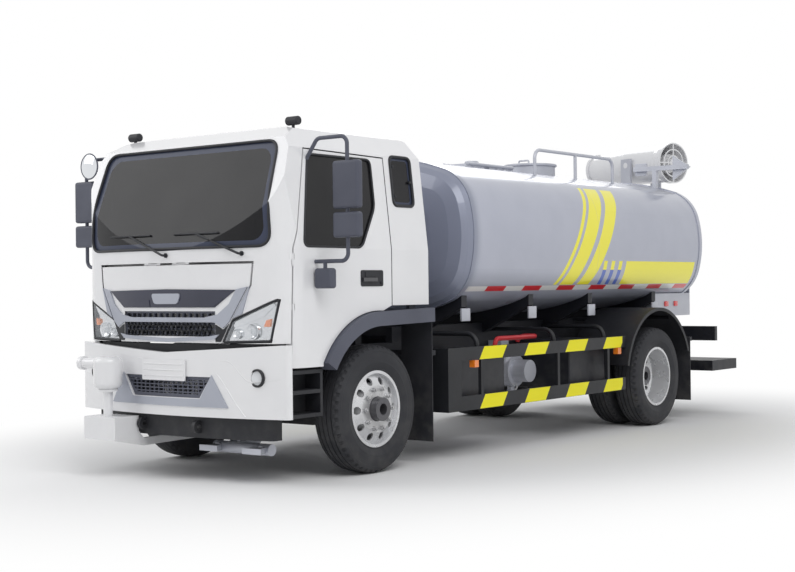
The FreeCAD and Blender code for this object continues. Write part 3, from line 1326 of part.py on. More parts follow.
def flap_outline(grow):
    """The front flap seen from the front: it narrows between the headlamps."""
    half = [
        (S.flap_bottom_half + grow, S.flap_bottom_z - grow), (S.flap_lamp_half + grow, S.flap_lamp_z),
        (S.flap_shoulder_half + grow, S.flap_shoulder_z), (S.flap_top_half + grow, S.flap_top_z + grow),
    ]
    return half + [(-u, v) for u, v in reversed(half)]


def lamp_outline(grow):
    """The left headlamp seen from the front."""
    return [
        (S.lamp_inner_low_y - grow, S.lamp_low_z - grow),
        (S.lamp_outer_low_y + grow, S.lamp_outer_low_z - grow),
        (S.lamp_tip_y + grow, S.lamp_tip_z), (S.lamp_tip_y - S.cut_overrun, S.lamp_tip_z + grow),
        (S.lamp_inner_high_y - grow, S.lamp_high_z + grow),
    ]


def door_hinge(low, high, radius):
    """The two upright pieces of a door's hinges, each between a low and a high place along its pin."""
    x, y = AXLE + S.door_hinge_x, S.door_hinge_y
    return [rod("z", (x, y), base + low, base + high, radius) for base in (S.hinge_low_z, S.hinge_high_z)]


def flap_hinge(inner, outer, up):
    """Barrels of the flap's hinge on both sides, with leaves that go up to the cab or down to the flap."""
    x, z = AXLE + S.flap_hinge_x, S.flap_hinge_z
    radius = S.flap_hinge_radius
    leaf = (z, z + S.flap_seam) if up else (z - S.flap_seam, z)
    return both_sides(
        rod("y", (x, z), inner, outer, radius), block((x - radius, x), (inner, outer), leaf),
    )


def make_cab():
    """Cab walls, roof and floor, with openings for doors, windscreen, flap and lamps."""
    low = S.cab_skirt_bottom
    outer = cab_envelope(0 * low, low)
    inner = cab_envelope(S.cab_wall, low - S.cut_overrun)
    walls = cut(outer, inner)
    wide = S.cab_half + S.cut_overrun
    zero = 0 * low
    # what hangs under the nose and behind the doors is cut away, and a floor closes the cab
    under = prism("XZ", [
        (AXLE + S.cab_rear - S.cut_overrun, low - S.cut_overrun),
        (AXLE + S.cowl_front + S.cut_overrun, low - S.cut_overrun),
        (AXLE + S.cowl_front + S.cut_overrun, S.cab_nose_bottom),
        (AXLE + S.cab_footwell_rear + S.cab_wall, S.cab_nose_bottom),
        (AXLE + S.cab_footwell_rear, S.cab_floor), (AXLE + S.cab_rear - S.cut_overrun, S.cab_floor),
    ], -wide, wide)
    floor_half = S.cab_half - S.cab_wall - S.seam
    skin = S.cab_floor_skin
    floor = prism("XZ", [
        (AXLE + S.cab_rear, S.cab_floor), (AXLE + S.cab_footwell_rear, S.cab_floor),
        (AXLE + S.cab_footwell_rear + S.cab_wall, S.cab_nose_bottom + skin),
        (AXLE + S.firewall_x, S.cab_nose_bottom + skin), (AXLE + S.firewall_x, S.flap_top_z + skin),
        (AXLE + S.firewall_x - S.firewall_thickness, S.flap_top_z + skin),
        (AXLE + S.firewall_x - S.firewall_thickness, S.cab_nose_bottom + skin * 2),
        (AXLE + S.cab_footwell_rear + S.cab_wall + skin, S.cab_nose_bottom + skin * 2),
        (AXLE + S.cab_footwell_rear + skin, S.cab_floor + skin),
        (AXLE + S.cab_rear, S.cab_floor + skin),
    ], -floor_half, floor_half)
    floor = common(floor, cab_envelope(S.seat_clearance, low - S.cut_overrun))
    doors = both_sides(prism("XZ", door_outline(S.seam), zero, wide))
    reach = (AXLE + S.brow_x, AXLE + S.cowl_front + S.cut_overrun)
    screen = prism("YZ", screen_outline(zero), *reach)
    quarters = prism("XZ", quarter_outline(zero), -wide, wide)
    nose = (AXLE + S.firewall_x, AXLE + S.cowl_front + S.cut_overrun)
    flap = prism("YZ", flap_outline(S.flap_seam), *nose)
    lamps = both_sides(prism("YZ", lamp_outline(S.seam / 2), AXLE + S.lamp_rear, nose[1]))
    inside = cab_envelope(S.cab_wall + S.door_room, low - S.cut_overrun)
    doors_room = [cut(door, inside) for door in doors]
    arches = both_sides(rod(
        "y", (AXLE, S.tyre_radius), S.flare_inner_y - S.seam, wide, S.flare_radius + S.seat_clearance,
    ))
    pivot = AXLE + S.cab_pivot_x
    reach_y = (S.rail_outer_y + S.seam, S.rail_outer_y + S.seam + S.ear_width)
    arm = prism("XZ", [
        (AXLE + S.ear_rear, S.cab_nose_bottom + skin * S.ear_foot_share),
        (AXLE + S.ear_rear, S.cab_nose_bottom),
        (pivot - S.ear_radius, S.cab_pivot_z), (pivot, S.cab_pivot_z + S.ear_lean),
        (AXLE + S.firewall_x, S.cab_nose_bottom + skin * S.ear_foot_share),
    ], *reach_y)
    boss = rod("y", (pivot, S.cab_pivot_z), *reach_y, S.ear_radius)
    ears = both_sides(fused([arm, boss]))
    bores = both_sides(rod(
        "y", (AXLE + S.cab_pivot_x, S.cab_pivot_z), zero, wide, S.cab_pin_radius + S.kingpin_clearance,
    ))
    shell_walls = cut(walls, under, screen, quarters, flap, *lamps, *doors, *arches)
    pockets = both_sides(*door_hinge(zero, S.hinge_length + S.hinge_gap / 2, S.hinge_pocket))
    shell = cut(fused([shell_walls, floor, *ears]), *doors_room, *lamps, *bores, *pockets)
    upper = S.hinge_length + S.hinge_gap
    pins = door_hinge(upper, upper + S.hinge_length, S.hinge_radius)
    for base in (S.hinge_low_z, S.hinge_high_z):
        pins.append(block(
            (AXLE + S.door_hinge_x, AXLE + S.door_hinge_x + S.hinge_leaf + S.seam),
            (S.door_hinge_y - S.hinge_leaf, S.door_hinge_y - S.hinge_leaf / 2),
            (base + upper, base + upper + S.hinge_length),
        ))
    side = S.flap_hinge_inner - S.hinge_gap
    leaves = flap_hinge(side - S.hinge_length, side, True)
    side = S.flap_hinge_outer + S.hinge_gap
    leaves += flap_hinge(side, side + S.hinge_length, True)
    node("cab_shell", fused([shell, *both_sides(*pins), *leaves]))
    glass_skin = cut(
        cab_envelope(S.glass_inset, low),
        cab_envelope(S.glass_inset + S.glass_thickness, low - S.cut_overrun),
    )
    gap = -S.glass_gap
    panes = common(glass_skin, fused([
        prism("YZ", screen_outline(gap), *reach), prism("XZ", quarter_outline(gap), -wide, wide),
    ]))
    node("cab_glass", panes)
    left_glass = common(glass_skin, prism("XZ", window_outline(gap), zero, wide))
    node("door_glass_left", left_glass)
    node("door_glass_right", mirrored(left_glass))
    return walls, zero, wide


def make_doors(walls, zero, wide):
    """Doors: the cab's own wall inside the door's outline, with its window, hinges and handle."""
    panel = common(walls, prism("XZ", door_outline(zero), zero, wide))
    window = prism("XZ", window_outline(zero), zero, wide)
    x, y = AXLE + S.door_hinge_x, S.door_hinge_y
    handle_x = AXLE + S.handle_x
    grip = block(
        (handle_x, handle_x + S.handle_length), (S.cab_half - S.seat_clearance, S.cab_half + S.handle_proud),
        (S.handle_z, S.handle_z + S.handle_height),
    )
    upper = S.hinge_length + S.hinge_gap / 2
    pockets = door_hinge(upper, upper + S.hinge_length + S.hinge_gap, S.hinge_pocket)
    for base in (S.hinge_low_z, S.hinge_high_z):
        pockets.append(block(
            (x, x + S.hinge_leaf * 2), (y - S.hinge_leaf - S.leaf_room, S.cab_half),
            (base + upper, base + upper + S.hinge_length + S.hinge_gap),
        ))
    pins = door_hinge(zero, S.hinge_length, S.hinge_radius)
    left = fused([cut(panel, window, *pockets), grip, *pins])
    node("door_left", left)
    node("door_right", mirrored(left))


def make_mirrors():
    """Mirror arms on the doors with a main, a wide-angle and a kerb mirror."""
    x = AXLE + S.mirror_pole_x
    arm = bent_tube(
        [
            (x, S.mirror_root_y, S.mirror_root_top),
            (x, S.mirror_root_y + S.mirror_bend * 2, S.mirror_pole_top),
            (x, S.mirror_pole_y, S.mirror_pole_top), (x, S.mirror_pole_y, S.mirror_pole_bottom),
            (x, S.mirror_root_low_y + S.seat_clearance, S.mirror_pole_bottom),
        ], S.mirror_pole_radius, S.mirror_bend,
    )

    def head(y, half, bottom, top):
        thick = S.mirror_thickness / 2
        body = block((x - thick, x + thick), (y - half, y + half), (bottom, top))
        return rounded(body, S.mirror_edge, any_edge)

    main = head(S.mirror_pole_y, S.mirror_half_width, S.mirror_main_bottom, S.mirror_main_top)
    broad = head(S.mirror_pole_y, S.mirror_half_width, S.mirror_wide_bottom, S.mirror_wide_top)
    kerb = head(S.kerb_mirror_y, S.kerb_mirror_half, S.kerb_mirror_bottom, S.kerb_mirror_top)
    stalk = rod(
        "z", (x, S.kerb_mirror_y), S.kerb_mirror_top - S.mirror_edge, S.mirror_pole_bottom,
        S.mirror_pole_radius,
    )
    room = cab_envelope(-S.seat_clearance, S.cab_skirt_bottom)
    left = cut(fused([arm, main, broad, kerb, stalk]), room)
    node("mirror_left", left)
    node("mirror_right", mirrored(left))


def bar_mesh(reach, half, low, top, rows, columns, bar):
    """Crossing level and upright bars that fill an opening half wide each way, from low to top."""
    bars = []
    row_step = (top - low) / rows
    for row in range(1, int(rows.value)):
        middle = low + row_step * row
        bars.append(block(reach, (-half, half), (middle - bar / 2, middle + bar / 2)))
    column_step = half * 2 / columns
    for column in range(1, int(columns.value)):
        middle = column_step * column - half
        bars.append(block(reach, (middle - bar / 2, middle + bar / 2), (low, top)))
    return bars


def make_front_flap():
    """The lifting front flap with its grille, and the headlamps beside it."""
    low = S.cab_skirt_bottom
    skin = cut(cab_envelope(0 * low, low), cab_envelope(S.flap_wall, low - S.cut_overrun))
    nose = (AXLE + S.brow_x, AXLE + S.cowl_front + S.cut_overrun)
    panel = common(skin, prism("YZ", flap_outline(0 * low), *nose))
    grille_zone = [
        (-S.grille_bottom_half, S.grille_bottom_z), (S.grille_bottom_half, S.grille_bottom_z),
        (S.grille_top_half, S.grille_top_z), (-S.grille_top_half, S.grille_top_z),
    ]
    leaves = flap_hinge(S.flap_hinge_inner, S.flap_hinge_outer, False)
    node("front_flap", fused([cut(panel, prism("YZ", grille_zone, *nose)), *leaves]))
    margin = S.seat_clearance
    zone = [
        (-S.grille_bottom_half + margin, S.grille_bottom_z + margin),
        (S.grille_bottom_half - margin, S.grille_bottom_z + margin),
        (S.grille_top_half - margin, S.grille_top_z - margin),
        (-S.grille_top_half + margin, S.grille_top_z - margin),
    ]
    frame, bar = S.grille_frame, S.grille_bar
    inside = [
        (-S.grille_bottom_half + frame, S.grille_bottom_z + frame),
        (S.grille_bottom_half - frame, S.grille_bottom_z + frame),
        (S.grille_top_half - frame, S.grille_top_z - frame),
        (-S.grille_top_half + frame, S.grille_top_z - frame),
    ]
    bars = bar_mesh(
        nose, S.grille_bottom_half - frame, S.grille_bottom_z + frame, S.grille_top_z - frame,
        S.grille_rows, S.grille_columns, bar,
    )
    mesh = fused([prism("YZ", zone, *nose, holes=[inside]), *bars])
    grille_skin = cut(
        cab_envelope(S.grille_inset, low), cab_envelope(S.grille_inset + S.grille_depth, low - S.cut_overrun),
    )
    node("grille", common(mesh, grille_skin))
    lamp_skin = cut(
        cab_envelope(0 * low, low), cab_envelope(S.lamp_depth, low - S.cut_overrun),
    )
    lamps = both_sides(prism("YZ", lamp_outline(0 * low), *nose))
    node("headlamps", common(lamp_skin, fused(lamps)))


def make_flares():
    """Fender flares under the cab: an arch before the wheel that runs straight back behind it."""
    z = S.tyre_radius
    angle = S.flare_front_angle
    outer = S.flare_radius
    inner = outer - S.flare_height
    rear = AXLE + S.flare_rear
    band = prism("XZ", [
        (AXLE + outer * angle.cosine(), z + outer * angle.sine()), (AXLE, z + outer, outer),
        (rear, S.flare_rear_top), (rear, S.flare_rear_low), (AXLE, z + inner),
        (AXLE + inner * angle.cosine(), z + inner * angle.sine(), -inner),
    ], S.flare_inner_y, S.flare_outer_y)
    tabs = []
    for spot in (S.flare_tab_one, S.flare_tab_two):
        tabs.append(block(
            (AXLE + spot, AXLE + spot + S.flare_tab_length),
            (S.flare_inner_y, S.flare_inner_y + S.bracket_thickness),
            (z + outer - S.bracket_thickness, S.cab_floor - S.seat_clearance),
        ))
    node("fender_flares", *both_sides(band, *tabs))


def make_seats():
    """Driver's seat, passenger seat and the narrow middle seat."""
    floor = S.cab_floor + S.cab_floor_skin + S.seat_clearance
    front = AXLE + S.seat_front
    parts = []
    places = ((S.seat_y, S.seat_width), (-S.seat_y, S.seat_width), (0 * S.seat_y, S.middle_seat_width))
    for y, width in places:
        half = width / 2
        base_top = floor + S.seat_base_height
        base = block(
            (front - S.seat_depth + S.seat_edge, front - S.seat_edge),
            (y - half + S.seat_edge, y + half - S.seat_edge), (floor, base_top),
        )
        cushion = rounded(block(
            (front - S.seat_depth, front), (y - half, y + half), (base_top, base_top + S.cushion_height),
        ), S.seat_edge, any_edge)
        back_low = base_top + S.cushion_height / 2
        back = rounded(block(
            (front - S.seat_depth - S.back_depth / 2, front - S.seat_depth + S.back_depth / 2),
            (y - half, y + half), (back_low, back_low + S.back_height),
        ), S.seat_edge, any_edge)
        parts += [base, cushion, back]
    node("seats", *parts)


def make_dashboard():
    """Dashboard with the steering column, and the steering wheel."""
    half = S.dash_half
    dash = prism("XZ", [
        (AXLE + S.dash_rear, S.dash_bottom), (AXLE + S.dash_front, S.dash_bottom),
        (AXLE + S.dash_front, S.cowl_z - S.cab_wall),
        (AXLE + S.dash_rear + S.dash_slope, S.cowl_z - S.cab_wall),
        (AXLE + S.dash_rear, S.cowl_z - S.cab_wall - S.dash_slope),
    ], -half, half)
    room = cab_envelope(S.cab_wall + S.seat_clearance, S.cab_skirt_bottom)
    x, y, z = AXLE + S.wheel_x, S.wheel_y, S.wheel_z
    hub_low = S.wheel_hub_height
    column = rod("z", (x, y), z - hub_low - S.column_length, z - hub_low - S.seat_clearance, S.column_radius)
    node("dashboard", common(dash, room), tilted(column, x, z, S.wheel_tilt))
    ring = doc.addObject("Part::Torus", "Ring")
    bind(ring, "Radius1", S.wheel_ring_radius)
    bind(ring, "Radius2", S.wheel_tube_radius)
    place(ring, x, y, z)
    hub = rod("z", (x, y), z - hub_low, z + hub_low / 2, S.wheel_hub_radius)
    reach = S.wheel_ring_radius
    spokes = [
        rod("x", (y, z), x - reach, x + reach, S.wheel_tube_radius * S.spoke_share),
        rod("y", (x, z), y - reach, y, S.wheel_tube_radius * S.spoke_share),
    ]
    node("steering_wheel", tilted(fused([ring, hub, *spokes]), x, z, S.wheel_tilt))


def nose_x(y):
    """How far forward the cab's gently curved front reaches at a place across it."""
    curve = S.cab_curve_radius
    return AXLE + S.cowl_front - curve + (curve * curve - y * y).root()


def glass_x(z):
    """How far forward the windscreen's middle reaches at a height."""
    lean = (S.cowl_front - S.screen_top_x) / (S.screen_top_z - S.cowl_z)
    return AXLE + S.cowl_front - (z - S.cowl_z) * lean - S.glass_inset


def make_cab_trim():
    """Wipers on the windscreen and lamps on the roof's front corners."""
    arms = []
    blades = []
    for pivot in (S.wiper_left_y, S.wiper_right_y):
        z = S.wiper_pivot_z
        tip = pivot - S.wiper_arm
        x = nose_x(pivot)
        high = z + S.wiper_height
        blade_x = glass_x(high) + S.blade_radius * S.blade_seat_share
        arms.append(bent_tube([
            (x - S.wiper_boss_reach, pivot, z), (x + S.wiper_proud, pivot, z),
            (blade_x + S.wiper_radius, tip, high),
        ], S.wiper_radius, S.wiper_boss_reach / 2))
        blades.append(rod(
            "y", (blade_x, high), tip - S.blade_length / 2, tip + S.blade_length / 2, S.blade_radius,
        ))
        arms.append(rod("x", (pivot, z), x - S.wiper_boss_reach, x + S.wiper_radius, S.wiper_radius * 2))
    outside = cab_envelope(-S.seat_clearance, S.cab_skirt_bottom)
    node("wipers", fused([cut(fused(arms), outside), *blades]))
    x, y = AXLE + S.roof_lamp_x, S.roof_lamp_y
    low = S.roof_lamp_seat
    stalk = rod("z", (x, y), low, low + S.roof_lamp_height, S.roof_lamp_stalk)
    lamp = rounded(
        rod(
            "y", (x, low + S.roof_lamp_height + S.roof_lamp_radius / 2), y - S.roof_lamp_height,
            y + S.roof_lamp_height, S.roof_lamp_radius,
        ), S.roof_lamp_stalk, any_edge,
    )
    room = cab_envelope(-S.seat_clearance, S.cab_skirt_bottom)
    node("roof_lamps", *[cut(side, room) for side in both_sides(fused([stalk, lamp]))])


def bumper_band(inset, low, top):
    """The bumper seen from above, drawn in by an inset."""
    outline = plan_outline(
        AXLE + S.bumper_front, S.bumper_curve_radius, S.bumper_corner_radius, S.bumper_half,
        AXLE + S.bumper_end, inset,
    )
    return prism("XY", outline, low, top)


def intake_outline(grow):
    """The intake in the bumper, seen from the front."""
    return [
        (-S.intake_foot_half - grow, S.intake_bottom - grow),
        (S.intake_foot_half + grow, S.intake_bottom - grow),
        (S.intake_half + grow, S.intake_top + grow), (-S.intake_half - grow, S.intake_top + grow),
    ]


def make_bumper():
    """Bumper skin with its intake and lamp holes, the mesh behind it and the lower apron."""
    low, top = S.bumper_bottom, S.bumper_side_top
    skin = cut(
        bumper_band(0 * low, low, top),
        prism("XY", plan_outline(
            AXLE + S.bumper_front, S.bumper_curve_radius, S.bumper_corner_radius, S.bumper_half,
            AXLE + S.bumper_end - S.cut_overrun, S.bumper_skin,
        ), low - S.cut_overrun, top + S.cut_overrun),
    )
    reach = (AXLE + S.cab_front - S.bumper_reach, AXLE + S.bumper_front + S.cut_overrun)
    dip = prism("YZ", [
        (-S.bumper_dip_half, top), (0, S.bumper_centre_top), (S.bumper_dip_half, top),
        (S.bumper_dip_half, top + S.cut_overrun), (-S.bumper_dip_half, top + S.cut_overrun),
    ], *reach)
    intake = prism("YZ", intake_outline(0 * low), *reach)
    fog = both_sides(rod("x", (S.fog_lamp_y, S.fog_lamp_z), *reach, S.fog_lamp_radius + S.seat_clearance))
    stays = both_sides(block(
        (AXLE + S.rail_front + S.seat_clearance, AXLE + S.bumper_front - S.bumper_skin),
        (S.rail_outer_y - S.rail_flange, S.rail_outer_y), (S.bumper_stay_low, S.bumper_stay_top),
    ))
    trimmed = [cut(stay, bumper_cutaway()) for stay in stays]
    node("front_bumper", cut(skin, dip, intake, *fog), *trimmed)
    margin = -S.seat_clearance
    frame = prism(
        "YZ", intake_outline(margin), *reach, holes=[intake_outline(margin - S.mesh_frame)],
    )
    bars = bar_mesh(
        reach, S.intake_half - S.mesh_frame, S.intake_bottom + S.mesh_frame / 2,
        S.intake_top - S.mesh_frame / 2, S.mesh_rows, S.mesh_columns, S.mesh_bar,
    )
    bars = common(fused(bars), prism("YZ", intake_outline(margin - S.mesh_frame / 2), *reach))
    layer = cut(
        bumper_band(S.mesh_inset, low, top), bumper_band(S.mesh_inset + S.mesh_depth, low, top),
    )
    node("lower_grille", common(fused([frame, bars]), layer))
    apron = cut(
        prism("XY", plan_outline(
            AXLE + S.valance_front, S.bumper_curve_radius, S.bumper_corner_radius, S.valance_half,
            AXLE + S.valance_end, 0 * low,
        ), S.valance_bottom, low - S.seat_clearance),
        prism("XY", plan_outline(
            AXLE + S.valance_front, S.bumper_curve_radius, S.bumper_corner_radius, S.valance_half,
            AXLE + S.valance_end - S.cut_overrun, S.valance_thickness,
        ), S.valance_bottom - S.cut_overrun, low),
    )
    eyes = []
    x = AXLE + S.valance_front + S.valance_thickness / 2
    for y in (S.tow_pin_y, -S.tow_pin_y):
        half = S.tow_eye_width / 2
        shank = block(
            (AXLE + S.valance_front - S.valance_thickness * 2, x), (y - half, y + half),
            (S.tow_pin_z - half, S.tow_pin_z + half),
        )
        eye = rod("y", (x, S.tow_pin_z), y - half, y + half, S.tow_eye_radius)
        bore = rod("y", (x, S.tow_pin_z), y - S.tow_eye_radius, y + S.tow_eye_radius, S.tow_bore_radius)
        eyes.append(cut(fused([shank, eye]), bore))
    node("valance", apron, *eyes)


def bumper_cutaway():
    """The room outside the bumper's inner face, to trim what meets the skin from behind."""
    whole = block(
        (AXLE + S.bumper_end, AXLE + S.bumper_front + S.cut_overrun), (-S.bumper_half, S.bumper_half),
        (S.bumper_bottom, S.bumper_side_top),
    )
    inner = prism("XY", plan_outline(
        AXLE + S.bumper_front, S.bumper_curve_radius, S.bumper_corner_radius, S.bumper_half,
        AXLE + S.bumper_end - S.cut_overrun, S.bumper_skin,
    ), S.bumper_bottom - S.cut_overrun, S.bumper_side_top + S.cut_overrun)
    return cut(whole, inner)


def make_chassis_lamps():
    """Fog lamps in the bumper, tail lamps and side markers."""
    x = AXLE + S.bumper_front
    fogs = both_sides(common(
        rod("x", (S.fog_lamp_y, S.fog_lamp_z), x - S.bumper_reach * 3, x, S.fog_lamp_radius),
        bumper_band(S.lamp_recess, S.bumper_bottom, S.bumper_side_top),
    ))
    rear = REAR + S.rail_rear - S.rear_bar_depth - S.seat_clearance
    tails = both_sides(rounded(block(
        (rear - S.tail_lamp_depth, rear - S.seat_clearance),
        (S.tail_lamp_y - S.tail_lamp_half, S.tail_lamp_y + S.tail_lamp_half),
        (S.rear_bar_bottom + S.mesh_bar, S.rear_bar_bottom + S.mesh_bar + S.tail_lamp_height),
    ), S.mesh_bar, any_edge))
    markers = []
    half = S.marker_size / 2
    for x in (AXLE + S.marker_front, REAR + S.marker_rear):
        markers.append(block(
            (x - half, x + half),
            (S.guard_outer_y - S.guard_rail_thickness, S.guard_outer_y + S.marker_depth),
            (S.guard_high_bottom - S.marker_size - S.seat_clearance, S.guard_high_bottom - S.seat_clearance),
        ))
    node("chassis_lamps", *fogs, *tails, *both_sides(*markers))


def make_gun():
    """Right-hand bracket with its box and standpipe, and the spray gun that turns on it."""
    x, y = AXLE + S.gun_x, S.gun_y
    half = S.gun_box_half
    arm_y = (S.gun_arm_y - S.gun_arm_thickness, S.gun_arm_y)
    box = rounded(block(
        (AXLE + S.gun_box_rear, AXLE + S.gun_box_front), (y - half, arm_y[0]),
        (S.gun_box_bottom, S.gun_box_top),
    ), S.gun_plate, runs_along("x"))
    arm = prism("XZ", [
        (AXLE + S.gun_arm_kink, S.gun_arm_low), (AXLE + S.gun_box_front, S.gun_box_bottom),
        (AXLE + S.gun_box_front, S.gun_box_top), (AXLE + S.gun_box_rear, S.gun_box_top),
        (AXLE + S.gun_box_rear, S.gun_arm_low + S.gun_upright_width * 2),
        (AXLE + S.gun_arm_kink, S.gun_arm_low + S.gun_upright_width),
        (AXLE + S.gun_arm_rear, S.gun_arm_low + S.gun_upright_width + S.gun_plate),
        (AXLE + S.gun_arm_rear, S.gun_arm_low + S.gun_plate),
    ], *arm_y)
    uprights = []
    for spot in (S.gun_upright_one, S.gun_upright_two):
        uprights.append(block(
            (AXLE + spot - S.gun_upright_width / 2, AXLE + spot + S.gun_upright_width / 2), arm_y,
            (S.gun_arm_low + S.gun_plate * 2, S.gun_upright_top),
        ))
    shelf = block(
        (
            AXLE + S.gun_upright_two - S.gun_upright_width / 2,
            AXLE + S.gun_upright_one + S.gun_upright_width / 2,
        ),
        (S.gun_arm_y - S.gun_shelf_reach, S.gun_arm_y), (S.gun_upright_top, S.rail_bottom - S.seat_clearance),
    )
    pipe = rod("z", (x, y), S.gun_box_top - S.gun_plate, S.gun_riser_top, S.gun_riser_radius)
    flange = rod("z", (x, y), S.gun_riser_top, S.gun_riser_top + S.gun_flange_height, S.gun_flange_radius)
    node("gun_mount", box, arm, *uprights, shelf, pipe, flange)
    low = S.gun_riser_top + S.gun_flange_height + S.seat_clearance
    drum = rounded(
        rod("z", (x, y), low, low + S.gun_housing_height, S.gun_housing_radius), S.gun_housing_edge, any_edge,
    )
    high = low + S.gun_nozzle_height - S.gun_nozzle_radius
    tip = y - S.gun_housing_radius - S.gun_nozzle_length / 2
    barrel = rod("y", (x, high), tip, y, S.gun_nozzle_radius)
    tail = rod("y", (x, high), y, y + S.gun_housing_radius - S.gun_plate, S.gun_nozzle_radius)
    cap = rod("y", (x, high), tip - S.gun_plate * 3, tip, S.gun_nozzle_radius + S.gun_plate)
    node("spray_gun", drum, barrel, tail, cap)


def make_tank_fittings():
    """Manhole neck, walkway with breathers and the handrail on top of the tank."""
    x = REAR + S.manhole_x
    top = S.tank_centre_z + S.tank_half_height
    neck = cut(
        rod("z", (x, 0 * x), top - S.manhole_height, top + S.manhole_height, S.manhole_neck_radius),
        rod("z", (x, 0 * x), top - S.manhole_height * 2, top + S.manhole_height * 2, S.manhole_bore_radius),
    )
    lug = block(
        (x - S.manhole_neck_radius - S.lid_hinge_reach / 4, x - S.manhole_neck_radius + S.gun_gap),
        (-S.lid_hinge_half, S.lid_gap - S.lid_hinge_half + S.lid_hinge_radius),
        (top + S.manhole_height / 3, top + S.manhole_height),
    )
    rails = both_sides(rod(
        "x", (S.walk_half, top + S.walk_height), REAR + S.walk_rear, REAR + S.walk_front, S.handrail_radius,
    ))
    treads = []
    count = int(S.walk_treads.value)
    for step in range(count + 1):
        spot = REAR + S.walk_rear + (S.walk_front - S.walk_rear) * step / S.walk_treads
        treads.append(block(
            (spot - S.handrail_radius, spot + S.handrail_radius), (-S.walk_half, S.walk_half),
            (top - S.walk_height, top + S.walk_height),
        ))
    breather = rounded(
        rod(
            "z", (REAR + S.walk_front - S.walk_half * 2, 0 * x), top, top + S.manhole_height,
            S.walk_half / 2,
        ), S.lid_hinge_radius, any_edge,
    )
    y = S.handrail_y
    foot = S.tank_centre_z + S.tank_half_height / 2
    rail = bent_tube([
        (REAR + S.handrail_front, y, foot), (REAR + S.handrail_front, y, S.handrail_top),
        (REAR + S.handrail_rear, y, S.handrail_top), (REAR + S.handrail_rear, y, foot),
    ], S.handrail_radius, S.handrail_bend)
    post = rod(
        "z", (REAR + (S.handrail_front + S.handrail_rear) / 2, y), foot, S.handrail_top, S.handrail_radius,
    )
    whole = fused([*rails, *treads, breather, rail, post])
    fitted = cut(whole, barrel_cutter())
    neck = cut(neck, barrel_cutter())
    node("tank_fittings", neck, fitted, lug)
    lid_low = top + S.manhole_height + S.lid_gap
    lid = rounded(
        rod("z", (x, 0 * x), lid_low, lid_low + S.lid_thickness, S.lid_radius),
        S.lid_hinge_radius / 2, any_edge,
    )
    hinge_x = x - S.manhole_neck_radius - S.lid_hinge_reach / 4
    arm = block(
        (hinge_x, x), (-S.lid_hinge_half / 2, S.lid_hinge_half / 2),
        (lid_low + S.lid_thickness / 2, lid_low + S.lid_thickness + S.lid_handle_radius),
    )
    barrel = rod(
        "y", (hinge_x, lid_low + S.lid_hinge_radius), -S.lid_hinge_half / 2, S.lid_hinge_half / 2,
        S.lid_hinge_radius,
    )
    handle = bent_tube([
        (x + S.manhole_bore_radius / 2, -S.lid_hinge_half, lid_low + S.lid_thickness),
        (x + S.manhole_bore_radius / 2, -S.lid_hinge_half, lid_low + S.lid_thickness * S.handle_rise_share),
        (x + S.manhole_bore_radius / 2, S.lid_hinge_half, lid_low + S.lid_thickness * S.handle_rise_share),
        (x + S.manhole_bore_radius / 2, S.lid_hinge_half, lid_low + S.lid_thickness),
    ], S.lid_handle_radius, S.lid_hinge_radius)
    node("manhole_lid", lid, arm, barrel, handle)


def make_rear():
    """Platform and bars behind the tank, the column of the cannon and the cabinet under the tank."""
    front, rear = REAR + S.platform_front, REAR + S.platform_rear
    half, bar = S.platform_half, S.platform_bar
    low, top = S.platform_bottom, S.platform_top
    outer = S.rail_outer_y
    bars = [
        block((rear, rear + bar), (-half, half), (low, top)),
        block((front - bar, front), (-half, half), (low, top)),
        *both_sides(block((rear, front), (half - bar, half), (low, top))),
        *both_sides(block((rear, front), (outer - S.rail_flange, outer), (low, top))),
        block((rear, front), (-half, half), (top - S.deck_thickness, top)),
    ]
    hangers = both_sides(block(
        (REAR + S.rail_rear - S.platform_hanger - S.seat_clearance, REAR + S.rail_rear - S.seat_clearance),
        (outer - S.rail_flange, outer), (top - S.deck_thickness, S.rear_bar_top),
    ))
    cross = block(
        (REAR + S.rail_rear - S.rear_bar_depth - S.seat_clearance, REAR + S.rail_rear - S.seat_clearance),
        (-half, half), (S.rear_bar_bottom, S.rear_bar_top),
    )
    node("rear_platform", *bars, *hangers, cross)
    x = REAR + S.cannon_x
    wide = S.column_half
    column = block(
        (x - wide, x + wide), (-wide, wide),
        (top + S.seat_clearance, S.turntable_z - S.column_cap_height),
    )
    cap = block(
        (x - S.column_cap, x + S.column_cap), (-S.column_cap, S.column_cap),
        (S.turntable_z - S.column_cap_height, S.turntable_z),
    )
    foot = block(
        (x - wide * S.column_foot_share, x + S.column_foot), (-S.column_foot, S.column_foot),
        (top + S.seat_clearance, top + S.seat_clearance + S.column_cap_height),
    )
    brace = block(
        (x, REAR + S.tank_rear - S.tank_head_depth - S.seat_clearance),
        (-wide, wide), (S.column_brace_z, S.column_brace_z + S.column_brace_height),
    )
    node("cannon_tower", column, cap, foot, brace)
    cabinet = rounded(block(
        (REAR + S.cabinet_rear, REAR + S.cabinet_front), (-S.cabinet_half, S.cabinet_half),
        (S.cabinet_bottom + S.seat_clearance, S.cabinet_top),
    ), S.cabinet_edge, runs_along("z"))
    node("rear_cabinet", cut(cabinet, tank_cutter()))


